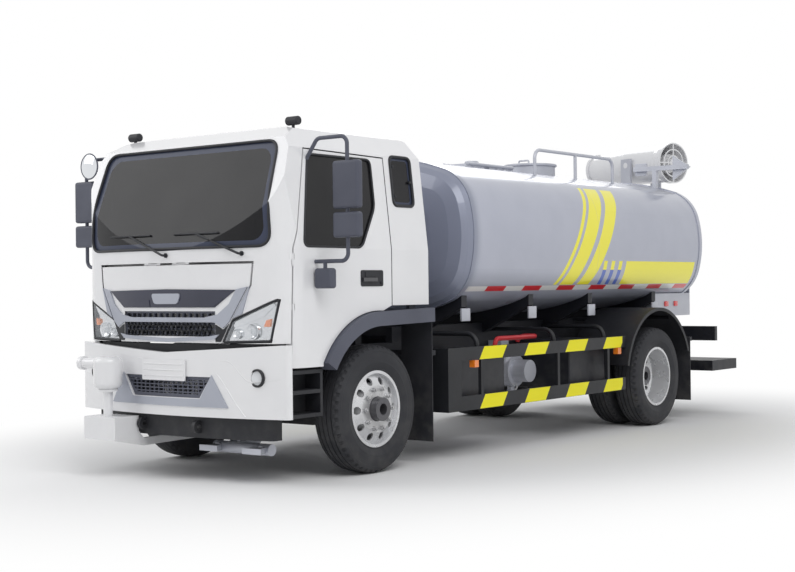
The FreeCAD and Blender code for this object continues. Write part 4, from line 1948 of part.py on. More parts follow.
def make_cannon():
    """Fog cannon: yoke on its turntable and the barrel between the yoke's arms."""
    x, z = REAR + S.cannon_x, S.cannon_axis_z
    base = S.turntable_z + S.turntable_gap
    deck = base + S.turntable_height
    table = rod("z", (x, 0 * x), base, deck, S.turntable_radius)
    gap = S.cannon_body_radius + S.yoke_gap
    arms = both_sides(block(
        (x - S.yoke_arm_width / 2, x + S.yoke_arm_width / 2), (gap, gap + S.yoke_arm),
        (deck, z + S.yoke_arm_width / 2),
    ))
    foot = block(
        (x - S.yoke_arm_width / 2, x + S.yoke_arm_width / 2), (-gap - S.yoke_arm, gap + S.yoke_arm),
        (deck, deck + S.yoke_arm),
    )
    bore = rod(
        "y", (x, z), -gap - S.yoke_arm * 2, gap + S.yoke_arm * 2, S.trunnion_radius + S.kingpin_clearance,
    )
    yoke = cut(fused([table, *arms, foot]), bore)
    node("cannon_yoke", swung(yoke, x, 0 * x, S.cannon_yaw))
    wall = S.cannon_wall
    mouth, body, inlet = S.cannon_mouth_radius, S.cannon_body_radius, S.cannon_inlet_radius
    skin = [
        (S.cannon_mouth, mouth - wall), (S.cannon_mouth, mouth + S.cannon_lip),
        (S.cannon_mouth - S.cannon_lip * 2, mouth + S.cannon_lip), (S.cannon_mouth - S.cannon_lip * 2, mouth),
        (S.cannon_cone_end, body), (S.cannon_inlet + S.cannon_ring_width * 2, body),
        (S.cannon_inlet + S.cannon_ring_width, inlet), (S.cannon_inlet, inlet),
        (S.cannon_inlet, inlet - wall), (S.cannon_inlet + S.cannon_ring_width, inlet - wall),
        (S.cannon_inlet + S.cannon_ring_width * 2, body - wall), (S.cannon_cone_end, body - wall),
    ]
    tube = turned("x", skin, x, 0 * x, z)
    motor = rod("x", (0 * x, z), x + S.cannon_inlet + S.cannon_ring_width, x, body / 2)
    vanes = [
        block((x - S.yoke_arm_width, x), (wall - body, body - wall), (z - wall / 2, z + wall / 2)),
        block((x - S.yoke_arm_width, x), (-wall / 2, wall / 2), (z - body + wall, z + body - wall)),
    ]
    trunnions = both_sides(rod("y", (x, z), body - wall, gap + S.yoke_arm, S.trunnion_radius))
    guard = [
        cut(
            rod("x", (0 * x, z), x + S.cannon_inlet, x + S.cannon_inlet + wall, radius),
            rod("x", (0 * x, z), x + S.cannon_inlet - wall, x + S.cannon_inlet + wall * 2, radius - wall),
        )
        for radius in (inlet * S.guard_inner_share, inlet * S.guard_outer_share)
    ]
    face = (x + S.cannon_inlet, x + S.cannon_inlet + wall)
    spokes = [
        block(face, (wall - inlet, inlet - wall), (z - wall / 2, z + wall / 2)),
        block(face, (-wall / 2, wall / 2), (z - inlet + wall, z + inlet - wall)),
    ]
    barrel = fused([tube, motor, *vanes, *trunnions, *guard, *spokes, motor_stay(x, z)])
    node("cannon_barrel", swung(barrel, x, 0 * x, S.cannon_yaw))


def motor_stay(x, z):
    """The boss that carries the guard on the motor."""
    return rod(
        "x", (0 * x, z), x + S.cannon_inlet,
        x + S.cannon_inlet + S.cannon_ring_width * S.motor_boss_share, S.cannon_body_radius / 4,
    )


def make_arrow_board():
    """Direction sign over the tank's rear: crossbar, post, arrow head and lamp box."""
    x = REAR + S.arrow_x
    half = S.arrow_beam / 2
    z = S.arrow_beam_z
    beam = block((x - half, x + half), (S.arrow_beam_inner, S.arrow_beam_outer), (z - half, z + half))
    post = block(
        (x - half, x + half), (S.arrow_post_y - half, S.arrow_post_y + half),
        (S.tank_centre_z + S.tank_half_height / 2, z),
    )
    y = S.arrow_head_y
    tall = S.arrow_head_half
    head = prism("YZ", [(y + tall, z), (y - tall / 2, z + tall), (y - tall / 2, z - tall)],
                 x - half - S.arrow_thickness, x - half)
    box = block((x - half - S.arrow_thickness, x - half), (S.arrow_beam_inner, S.arrow_beam_inner + tall),
                (z - tall / 2, z + tall / 2))
    node("arrow_board", cut(fused([beam, post, head, box]), barrel_cutter()))


def main():
    """Build every sub-part, check it and write it."""
    make_frame()
    make_subframe()
    make_driveline()
    make_cab_stays()
    make_front_axle()
    make_rear_axle()
    make_springs()
    make_knuckles()
    make_wheels()
    make_frame_boxes()
    make_pump()
    make_pipes()
    make_side_guards()
    make_rear_fenders()
    make_mudflaps()
    make_steps()
    make_tank()
    walls, zero, wide = make_cab()
    make_doors(walls, zero, wide)
    make_mirrors()
    make_front_flap()
    make_flares()
    make_seats()
    make_dashboard()
    make_cab_trim()
    make_bumper()
    make_chassis_lamps()
    make_gun()
    make_tank_fittings()
    make_rear()
    make_cannon()
    make_arrow_board()
    doc.recompute()
    for item in doc.Objects:
        if "Invalid" in item.State or "Error" in item.State:
            raise RuntimeError(f"{item.Name} ({item.Label}) failed: {item.State}")
    for sub_part in NODES:
        if sub_part.Shape.isNull() or not sub_part.Shape.isValid():
            raise RuntimeError(f"{sub_part.Label} has no valid shape")
    os.makedirs("parts", exist_ok=True)
    for sub_part in NODES:
        sub_part.Shape.exportStep(f"parts/{sub_part.Label}.step")
        print(sub_part.Label, len(sub_part.Shape.Solids), round(sub_part.Shape.Volume / 1e6, 1))


main()
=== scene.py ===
"""Finishes and fine pieces of the water tanker truck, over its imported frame."""

from __future__ import annotations

import logging
import math
from contextlib import contextmanager
from dataclasses import dataclass
from enum import Enum
from typing import Callable, Iterator, Optional, Sequence, Union

import bmesh
import bpy
from mathutils import Matrix, Vector


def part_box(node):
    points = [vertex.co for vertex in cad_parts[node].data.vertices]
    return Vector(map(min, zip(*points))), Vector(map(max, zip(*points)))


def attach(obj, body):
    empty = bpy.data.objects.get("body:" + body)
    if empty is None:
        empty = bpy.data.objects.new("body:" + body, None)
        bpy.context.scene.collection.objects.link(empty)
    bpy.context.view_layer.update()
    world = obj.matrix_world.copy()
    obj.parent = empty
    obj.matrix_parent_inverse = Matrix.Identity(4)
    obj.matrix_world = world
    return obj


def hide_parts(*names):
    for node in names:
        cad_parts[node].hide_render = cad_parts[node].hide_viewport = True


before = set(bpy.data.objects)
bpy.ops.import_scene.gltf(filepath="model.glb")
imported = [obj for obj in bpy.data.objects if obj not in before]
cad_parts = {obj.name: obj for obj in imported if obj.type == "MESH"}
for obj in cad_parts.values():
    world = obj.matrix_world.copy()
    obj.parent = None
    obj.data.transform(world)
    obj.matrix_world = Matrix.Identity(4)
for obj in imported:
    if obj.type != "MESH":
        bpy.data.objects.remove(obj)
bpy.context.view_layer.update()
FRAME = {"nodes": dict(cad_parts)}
LOG = logging.getLogger("tanker_truck")

Point = tuple[float, float, float]
Flat = tuple[float, float]
Colour = tuple[float, float, float]
Surface = Callable[[float, float], Vector]

AHEAD: Point = (1.0, 0.0, 0.0)
BOTH = (-1.0, 1.0)
SIDES = (("left", 1.0), ("right", -1.0))
WHEELBASE = 4.5
MERGE = 0.00002
WHITE: Colour = (1.0, 1.0, 1.0)


class Slot(str, Enum):
    """The record's material slots."""

    WHITE = "painted_white"
    TANK = "tank_paint"
    FRAME = "frame_paint"
    IRON = "engine_iron"
    ALLOY = "fuel_alloy"
    PLASTIC = "dark_plastic"
    LENS = "lamp_lens"
    GLASS = "glazing"
    CLOTH = "seat_cloth"
    RIM = "rim_paint"
    TYRE = "tyre_rubber"
    FLAP = "flap_rubber"


class Axis(Enum):
    """The frame's two level directions."""

    X = (1.0, 0.0, 0.0)
    Y = (0.0, 1.0, 0.0)

    def flat(self, along: float, out: float) -> Vector:
        """A point at a distance along this axis and above it."""
        return Vector(self.value) * along + Vector((0.0, 0.0, 1.0)) * out


class Value:
    """A shader socket that takes part in sums as a number does."""

    def __init__(self, shader: "Shader", socket: bpy.types.NodeSocket) -> None:
        """Wrap a socket of one shader."""
        self.shader = shader
        self.socket = socket

    def __add__(self, other: "Number") -> "Value":
        """Sum."""
        return self.shader.math("ADD", self, other)

    __radd__ = __add__

    def __sub__(self, other: "Number") -> "Value":
        """Difference."""
        return self.shader.math("SUBTRACT", self, other)

    def __rsub__(self, other: "Number") -> "Value":
        """Difference with a number first."""
        return self.shader.math("SUBTRACT", other, self)

    def __mul__(self, other: "Number") -> "Value":
        """Product."""
        return self.shader.math("MULTIPLY", self, other)

    __rmul__ = __mul__

    def __truediv__(self, other: "Number") -> "Value":
        """Quotient."""
        return self.shader.math("DIVIDE", self, other)

    def __rtruediv__(self, other: "Number") -> "Value":
        """Quotient with a number first."""
        return self.shader.math("DIVIDE", other, self)

    def __abs__(self) -> "Value":
        """Size without sign."""
        return self.shader.math("ABSOLUTE", self)

    def __gt__(self, other: "Number") -> "Value":
        """1 where this is the larger."""
        return self.shader.math("GREATER_THAN", self, other)

    def __lt__(self, other: "Number") -> "Value":
        """1 where this is the smaller."""
        return self.shader.math("LESS_THAN", self, other)

    def larger(self, other: "Number") -> "Value":
        """The larger of the two."""
        return self.shader.math("MAXIMUM", self, other)

    def smaller(self, other: "Number") -> "Value":
        """The smaller of the two."""
        return self.shader.math("MINIMUM", self, other)

    def root(self) -> "Value":
        """Square root."""
        return self.shader.math("SQRT", self)

    def sine(self) -> "Value":
        """Sine of the angle in radians."""
        return self.shader.math("SINE", self)

    def part(self) -> "Value":
        """What is left over whole numbers."""
        return self.shader.math("FRACT", self)

    def between(self, low: "Number", high: "Number") -> "Value":
        """1 where this lies between two bounds."""
        return (self > low) * (self < high)

    def ramp(self, low: float, high: float) -> "Value":
        """Rise smoothly from 0 to 1.

        Args:
            low: where it leaves 0.
            high: where it reaches 1.

        Returns:
            The result.
        """
        made = self.shader.node(
            "ShaderNodeMapRange", {"interpolation_type": "SMOOTHSTEP"},
            {"Value": self, "From Min": low, "From Max": high},
        )
        return Value(self.shader, made.outputs["Result"])


Number = Union[Value, float]
Tint = Union[bpy.types.NodeSocket, Colour]


class Shader:
    """Builds the nodes of one material or world."""

    def __init__(self, owner: Union[bpy.types.Material, bpy.types.World]) -> None:
        """Start with no nodes.

        Args:
            owner: the new material or world.
        """
        self.owner = owner
        self.owner.use_nodes = True
        self.tree = self.owner.node_tree
        self.tree.nodes.clear()
        self._place: Optional[tuple[Value, Value, Value]] = None

    def node(
        self, kind: str, settings: Optional[dict] = None, sockets: Optional[dict] = None,
    ) -> bpy.types.Node:
        """Add a node.

        Args:
            kind: the node's type.
            settings: its own properties, set before its sockets.
            sockets: a value, a link or a colour for each input, by name or identifier.

        Returns:
            The node.
        """
        made = self.tree.nodes.new(kind)
        for name, value in (settings or {}).items():
            setattr(made, name, value)
        for name, value in (sockets or {}).items():
            found = [s for s in made.inputs if name in (s.identifier, s.name) and s.enabled]
            exact = [s for s in found if s.identifier == name]
            socket = (exact or found)[0]
            if isinstance(value, Value):
                self.tree.links.new(value.socket, socket)
            elif isinstance(value, bpy.types.NodeSocket):
                self.tree.links.new(value, socket)
            elif isinstance(value, tuple) and socket.type == "RGBA":
                socket.default_value = (*value, 1.0)
            else:
                socket.default_value = value
        return made

    def math(self, operation: str, *numbers: Number) -> Value:
        """Add one Math node over numbers or values.

        Args:
            operation: what it works out.
            numbers: its inputs in order.

        Returns:
            The result.
        """
        made = self.node("ShaderNodeMath", {"operation": operation})
        for socket, number in zip(made.inputs, numbers):
            if isinstance(number, Value):
                self.tree.links.new(number.socket, socket)
            else:
                socket.default_value = number
        return Value(self, made.outputs[0])

    def blend(self, share: Number, first: Tint, second: Tint) -> bpy.types.NodeSocket:
        """Mix two colours.

        Args:
            share: how much of the second.
            first: a colour or a colour socket.
            second: the other one.

        Returns:
            The colour socket.
        """
        made = self.node(
            "ShaderNodeMix", {"data_type": "RGBA"},
            {"Factor_Float": share, "A_Color": first, "B_Color": second},
        )
        return next(s for s in made.outputs if s.identifier == "Result_Color")

    def where(self) -> bpy.types.NodeSocket:
        """The object's own coordinates, which are the truck's."""
        return self.node("ShaderNodeTexCoord").outputs["Object"]

    def place(self) -> tuple[Value, Value, Value]:
        """The coordinates of the surface point.

        Returns:
            The three coordinates, in metres.
        """
        if self._place is None:
            split = self.node("ShaderNodeSeparateXYZ", None, {"Vector": self.where()})
            self._place = tuple(Value(self, split.outputs[i]) for i in range(3))
        return self._place

    def noise(self, scale: float, detail: float = 2.0, stretch: Point = (1.0, 1.0, 1.0)) -> Value:
        """Cloudy noise from 0 to 1.

        Args:
            scale: clouds per metre.
            detail: how many finer layers it has.
            stretch: factors on the three coordinates.

        Returns:
            The noise.
        """
        spread = self.node("ShaderNodeMapping", None, {"Vector": self.where(), "Scale": stretch})
        made = self.node(
            "ShaderNodeTexNoise", None,
            {"Vector": spread.outputs["Vector"], "Scale": scale, "Detail": detail},
        )
        return Value(self, made.outputs[0])

    def cells(self, scale: float) -> Value:
        """Distance to the nearest of scattered cells, for moulded grain."""
        made = self.node("ShaderNodeTexVoronoi", None, {"Vector": self.where(), "Scale": scale})
        return Value(self, made.outputs["Distance"])

    def facing(self) -> tuple[Value, Value, Value]:
        """The surface's own direction.

        Returns:
            Its three parts.
        """
        normal = self.node("ShaderNodeNewGeometry").outputs["Normal"]
        split = self.node("ShaderNodeSeparateXYZ", None, {"Vector": normal})
        return tuple(Value(self, split.outputs[i]) for i in range(3))

    def relief(self, height: Value, depth: float, strength: float = 1.0) -> bpy.types.NodeSocket:
        """Turn a height from 0 to 1 into a bumped normal.

        Args:
            height: the height.
            depth: what 1 stands for, in metres.
            strength: how strongly it shows.

        Returns:
            The normal socket.
        """
        sockets = {"Height": height, "Distance": depth, "Strength": strength}
        return self.node("ShaderNodeBump", None, sockets).outputs["Normal"]

    def close(self, surface: dict) -> bpy.types.Material:
        """Add the surface with its sockets and the output.

        Args:
            surface: the sockets of the principled surface.

        Returns:
            The material.
        """
        made = self.node("ShaderNodeBsdfPrincipled", None, surface)
        self.node("ShaderNodeOutputMaterial", None, {"Surface": made.outputs[0]})
        return self.owner


@dataclass(frozen=True)
class Finish:
    """A painted, cast or moulded surface with clouds in its colour, fine grain and road dust."""

    name: str
    slot: Slot
    colour: Colour
    clouded: Colour
    roughness: float = 0.4
    spread: float = 0.12
    metallic: float = 0.0
    coat: float = 0.0
    cloud_scale: float = 2.5
    grain_scale: float = 220.0
    grain_depth: float = 0.0002
    dust: float = 0.0
    dust_top: float = 1.1
    dust_colour: Colour = (0.36, 0.34, 0.31)
    shine: float = 0.5
    coat_roughness: float = 0.06
    cloud_span: Flat = (0.3, 0.75)
    wear_scale: float = 9.0
    wear_span: Flat = (0.35, 0.75)
    dust_foot: float = 0.1
    dust_rough: float = 0.3

    def tint(self, shader: Shader) -> Tint:
        """The surface's own colour, clouded a little."""
        clouds = shader.noise(self.cloud_scale, 3.0).ramp(*self.cloud_span)
        return shader.blend(clouds, self.colour, self.clouded)

    def grain(self, shader: Shader) -> Value:
        """The fine height of the surface, from 0 to 1."""
        return shader.noise(self.grain_scale, 2.0)

    def extra(self, shader: Shader) -> dict:
        """Further sockets of the surface."""
        return {}

    def make(self) -> bpy.types.Material:
        """Build the material once and give it again later.

        Returns:
            The material.
        """
        known = bpy.data.materials.get(self.name)
        if known:
            return known
        shader = Shader(bpy.data.materials.new(self.name))
        colour = self.tint(shader)
        wear = shader.noise(self.wear_scale, 4.0)
        rough = wear * self.spread + (self.roughness - self.spread / 2)
        if self.dust:
            height = shader.place()[2]
            fall = 1.0 - height.ramp(self.dust_foot, self.dust_top)
            low = fall * wear.ramp(*self.wear_span) * self.dust
            colour = shader.blend(low, colour, self.dust_colour)
            rough = rough + low * self.dust_rough
        surface = {
            "Base Color": colour, "Roughness": rough, "Metallic": self.metallic,
            "Coat Weight": self.coat, "Coat Roughness": self.coat_roughness, "Specular IOR Level": self.shine,
            "Normal": shader.relief(self.grain(shader), self.grain_depth),
        }
        surface.update(self.extra(shader))
        return shader.close(surface)


@dataclass(frozen=True)
class Moulded(Finish):
    """Moulded plastic or rubber with a pebbled grain."""

    def grain(self, shader: Shader) -> Value:
        """Pebbles from scattered cells."""
        return shader.cells(self.grain_scale)


@dataclass(frozen=True)
class Brushed(Finish):
    """Bare metal with fine level scratches."""

    def grain(self, shader: Shader) -> Value:
        """Scratches drawn along the truck."""
        return shader.noise(self.grain_scale, 3.0, (0.05, 1.0, 1.0))


@dataclass(frozen=True)
class Woven(Finish):
    """Cloth of the seats: a weave with a lighter fleck."""

    pitch: float = 0.004
    fleck_scale: float = 320.0
    fleck_colour: Colour = (0.30, 0.31, 0.34)

    def tint(self, shader: Shader) -> Tint:
        """Dark cloth with flecks."""
        fleck = shader.noise(self.fleck_scale, 2.0).ramp(0.55, 0.7)
        return shader.blend(fleck * 0.6, super().tint(shader), self.fleck_colour)

    def grain(self, shader: Shader) -> Value:
        """Threads over and under one another.

        Args:
            shader: the material's nodes.

        Returns:
            The height.
        """
        x, y, z = shader.place()
        turn = 2 * math.pi / self.pitch
        across = (y * turn).sine()
        along = ((x + z) * turn).sine()
        return across * along * 0.5 + 0.5


@dataclass(frozen=True)
class Marked(Finish):
    """A painted surface with flat coloured marks laid on it by their place."""

    axle: float = 0.0

    def marks(self, shader: Shader) -> Sequence[tuple[Value, Colour]]:
        """The marks, each a mask and its colour."""
        return ()

    def tint(self, shader: Shader) -> Tint:
        """The paint with its marks over it.

        Args:
            shader: the material's nodes.

        Returns:
            The colour.
        """
        colour = super().tint(shader)
        for mask, mark in self.marks(shader):
            colour = shader.blend(mask, colour, mark)
        return colour


YELLOW: Colour = (0.98, 0.90, 0.01)
BLUE: Colour = (0.06, 0.13, 0.52)
TAPE_WHITE: Colour = (0.86, 0.86, 0.84)
TAPE_RED: Colour = (0.74, 0.02, 0.03)


@dataclass(frozen=True)
class TankPaint(Marked):
    """The tank's silver paint with its slanted bands, small stripes, side band and lower tape."""

    slant_foot: float = -2.98
    slant_lean: float = -0.62
    slant_low: float = 1.458
    slant_high: float = 2.40
    band_start: float = -4.02
    band_end: float = -5.56
    band_top: float = 1.688
    tape_low: float = 1.408
    tape_high: float = 1.452
    tape_start: float = -1.37
    tape_pitch: float = 0.60
    head_front: float = -1.345
    # Colour of the painted shade laid on the tank's front head.
    head_shade_colour: Colour = (0.19, 0.21, 0.29)
    side_from: float = 0.6
    wide: Flat = (-0.12, 0.12)
    thin: Flat = (0.17, 0.23)
    other: Flat = (-0.42, -0.20)
    stripes: Flat = (0.08, 0.53)
    stripe_pitch: float = 0.15
    stripe_share: float = 0.45
    stripe_split: float = 1.60
    seam: float = 3.45
    seam_half: float = 0.003
    seam_colour: Colour = (0.4, 0.42, 0.46)

    def marks(self, shader: Shader) -> Sequence[tuple[Value, Colour]]:
        """Three parallel slanted bands, a row of small stripes, the side band, the tape, a seam and painted
        shade on the front head.

        Args:
            shader: the material's nodes.

        Returns:
            Each mark's mask and colour.
        """
        x, y, z = shader.place()
        along = x - self.axle
        side = abs(y) > self.side_from
        tall = z.between(self.slant_low, self.slant_high) * side
        lean = along - (z - self.slant_low) * self.slant_lean
        wide, thin, other = (
            lean.between(self.slant_foot + low, self.slant_foot + high)
            for low, high in (self.wide, self.thin, self.other)
        )
        shapes = (wide + thin + other).smaller(1.0) * tall
        band = along.between(self.band_end, self.band_start) * z.between(self.slant_low, self.band_top) * side
        start, end = (self.band_start + reach for reach in self.stripes)
        step = ((along - start) / self.stripe_pitch).part()
        row = along.between(start, end) * (step < self.stripe_share) * side
        blue = row * z.between(self.slant_low, self.stripe_split)
        yellow = row * z.between(self.stripe_split, self.band_top)
        tape = z.between(self.tape_low, self.tape_high) * along.between(self.band_end, self.tape_start) * side
        red = tape * (((self.tape_start - along) / self.tape_pitch).part() > 0.5)
        seam = (abs(along + self.seam) < self.seam_half) * 0.35
        # Painted shade: the tank's front head is darkened from head_front forwards, standing in for the shade
        # that falls on it.
        head = along.ramp(self.head_front - 0.1, self.head_front + 0.06) * 0.8
        return [
            (shapes, YELLOW), (band, YELLOW), (blue, BLUE), (yellow, YELLOW), (tape, TAPE_WHITE),
            (red, TAPE_RED), (seam, self.seam_colour), (head, self.head_shade_colour),
        ]

    def extra(self, shader: Shader) -> dict:
        """A faint clear coat over the silver."""
        return {"Coat Weight": 0.5}


@dataclass(frozen=True)
class CabPaint(Marked):
    """White cab paint outside and grey lining on the faces that look into the cab."""

    middle: Point = (0.26, 0.0, 1.95)
    lining: Colour = (0.13, 0.13, 0.145)
    handle: Colour = (0.03, 0.03, 0.036)
    handle_x: Flat = (0.0, 0.23)
    handle_z: Flat = (1.49, 1.54)
    handle_y: float = 1.1305

    def marks(self, shader: Shader) -> Sequence[tuple[Value, Colour]]:
        """The lining, on faces that look towards the cab's middle, and the dark door handles.

        Args:
            shader: the material's nodes.

        Returns:
            Each mark's mask and colour.
        """
        x, y, z = shader.place()
        level, across, up = shader.facing()
        mid_x, mid_y, mid_z = self.middle
        ahead = level * (x - self.axle - mid_x) + across * (y - mid_y) + up * (z - mid_z)
        grip = (x - self.axle).between(*self.handle_x) * z.between(*self.handle_z) * (abs(y) > self.handle_y)
        return [(ahead < 0.0, self.lining), (grip, self.handle)]


@dataclass(frozen=True)
class ChassisLens(Marked):
    """Lenses by their place: clear fog lamps, amber side markers and red tail lamps."""

    amber: Colour = (0.95, 0.24, 0.02)
    red: Colour = (0.62, 0.012, 0.015)
    clear: Colour = (0.80, 0.80, 0.80)
    rear_from: float = 5.0
    amber_from: float = 0.93
    clear_to: float = 0.72
    ribs: float = 520.0

    def marks(self, shader: Shader) -> Sequence[tuple[Value, Colour]]:
        """Amber along the sides, red at the rear with an amber and a clear part.

        Args:
            shader: the material's nodes.

        Returns:
            Each mark's mask and colour.
        """
        x, y, _ = shader.place()
        along, out = x - self.axle, abs(y)
        rear = along < -self.rear_from
        return [
            ((along < 0.0) * (1.0 - rear), self.amber), (rear, self.red),
            (rear * (out > self.amber_from), self.amber), (rear * (out < self.clear_to), self.clear),
        ]

    def grain(self, shader: Shader) -> Value:
        """Round ribs across the lens."""
        x, y, _ = shader.place()
        return ((x + y) * self.ribs).sine() * 0.5 + 0.5


@dataclass(frozen=True)
class GuardPaint(Marked):
    """Black side guards with slanted yellow blocks on both rails."""

    first: float = -1.298
    pitch: float = 0.705
    block: float = 0.352
    lean: float = 0.70
    face: float = 1.186
    rear_end: float = -3.80
    low_rail: Flat = (0.41, 0.528)
    high_rail: Flat = (0.83, 0.938)

    def marks(self, shader: Shader) -> Sequence[tuple[Value, Colour]]:
        """The yellow blocks, on the rails' outer faces alone.

        Args:
            shader: the material's nodes.

        Returns:
            Each mark's mask and colour.
        """
        x, y, z = shader.place()
        along = x - self.axle
        outer = abs(y) > self.face
        low, high = z.between(*self.low_rail), z.between(*self.high_rail)
        rise = low * (z - self.low_rail[0]) + high * (z - self.high_rail[0])
        spot = (self.first - along - rise * self.lean) / self.pitch
        lit = (spot.part() < self.block / self.pitch) * along.between(self.rear_end, self.first + 0.01)
        return [(lit * outer * (low + high), YELLOW)]


@dataclass(frozen=True)
class ScreenGlass(Marked):
    """Dark cab glass with a printed border round the windscreen and the side windows."""

    border: Colour = (0.055, 0.065, 0.105)
    front_from: float = 0.5
    foot: float = 1.768
    foot_half: float = 0.93
    lean: float = 0.063
    screen_z: float = 2.155
    screen_half: float = 0.345
    screen_corner: float = 0.11
    quarter_x: float = 0.3915
    quarter_z: float = 2.3025
    quarter_half: Flat = (0.1035, 0.1675)
    quarter_corner: float = 0.03

    def rounded(self, u: Value, v: Value, half_u: Number, half_v: float, corner: float) -> Value:
        """Distance outside a rounded box about the middle, below 0 inside.

        Args:
            u: level place from the middle.
            v: upright place from the middle.
            half_u: half width.
            half_v: half height.
            corner: corner radius.

        Returns:
            The distance.
        """
        over_u = (abs(u) - half_u + corner).larger(0.0)
        over_v = (abs(v) - half_v + corner).larger(0.0)
        return (over_u * over_u + over_v * over_v).root() - corner

    def marks(self, shader: Shader) -> Sequence[tuple[Value, Colour]]:
        """The printed borders.

        Args:
            shader: the material's nodes.

        Returns:
            Each mark's mask and colour.
        """
        x, y, z = shader.place()
        along = x - self.axle
        front = along > self.front_from
        half = self.foot_half - (z - self.foot) * self.lean
        screen = self.rounded(y, z - self.screen_z, half, self.screen_half, self.screen_corner)
        quarter = self.rounded(
            along + self.quarter_x, z - self.quarter_z, *self.quarter_half, self.quarter_corner,
        )
        edge = front * (screen > 0.0) + (1.0 - front) * (quarter > 0.0)
        return [(edge, self.border)]

    def extra(self, shader: Shader) -> dict:
        """Mostly dark, a little clear, with a bright surface."""
        edge = self.marks(shader)[0][0]
        return {"Alpha": edge.larger(0.93), "IOR": 1.5, "Roughness": edge * 0.25 + 0.02}


@dataclass(frozen=True)
class Clear(Finish):
    """Glass or lens that is seen through a little."""

    alpha: float = 0.4

    def extra(self, shader: Shader) -> dict:
        """Its clearness."""
        return {"Alpha": self.alpha, "IOR": 1.5}


@dataclass(frozen=True)
class Ribbed(Finish):
    """A lamp lens with upright ribs behind its face."""

    pitch: float = 0.012
    glow: float = 0.0

    def grain(self, shader: Shader) -> Value:
        """Round ribs across the lens."""
        x, y, _ = shader.place()
        return ((x + y) * (2 * math.pi / self.pitch)).sine() * 0.5 + 0.5

    def extra(self, shader: Shader) -> dict:
        """A faint glow: the turn lamp's own light, and on the red reflectors, which are no lamps, a painted
        glow.
        """
        return {"Emission Color": self.colour, "Emission Strength": self.glow}


@dataclass(frozen=True)
class TyreRubber(Finish):
    """Tyre rubber: fine rings round the sidewall and a dusty tread."""

    axle: float = 0.0
    rear: float = 0.0
    height: float = 0.503
    ring_pitch: float = 0.006

    def radius(self, shader: Shader) -> Value:
        """Distance from the nearer axle.

        Args:
            shader: the material's nodes.

        Returns:
            The distance.
        """
        x, _, z = shader.place()
        front = x > (self.axle + self.rear) / 2
        along = front * (x - self.axle) + (1.0 - front) * (x - self.rear)
        up = z - self.height
        return (along * along + up * up).root()

    def grain(self, shader: Shader) -> Value:
        """Rings as the mould leaves them."""
        rings = (self.radius(shader) * (2 * math.pi / self.ring_pitch)).sine() * 0.5 + 0.5
        return rings * 0.6 + shader.noise(300.0) * 0.4


@dataclass(frozen=True)
class RimPaint(TyreRubber):
    """Silver rim paint with a dark hub, darker towards the middle."""

    hub: float = 0.098
    hub_colour: Colour = (0.10, 0.10, 0.11)
    darkening_end: float = 0.24
    darkening_colour: Colour = (0.30, 0.29, 0.28)

    def tint(self, shader: Shader) -> Tint:
        """Silver outside the hub, dark on it.

        Args:
            shader: the material's nodes.

        Returns:
            The colour.
        """
        reach = self.radius(shader)
        # The silver is darkened towards the hub and fades out at darkening_end.
        centre_darkening = (1.0 - reach.ramp(self.hub, self.darkening_end)) * 0.35
        painted = shader.blend(centre_darkening, super().tint(shader), self.darkening_colour)
        return shader.blend(reach < self.hub, painted, self.hub_colour)

    def grain(self, shader: Shader) -> Value:
        """Fine orange peel."""
        return shader.noise(self.grain_scale, 2.0)


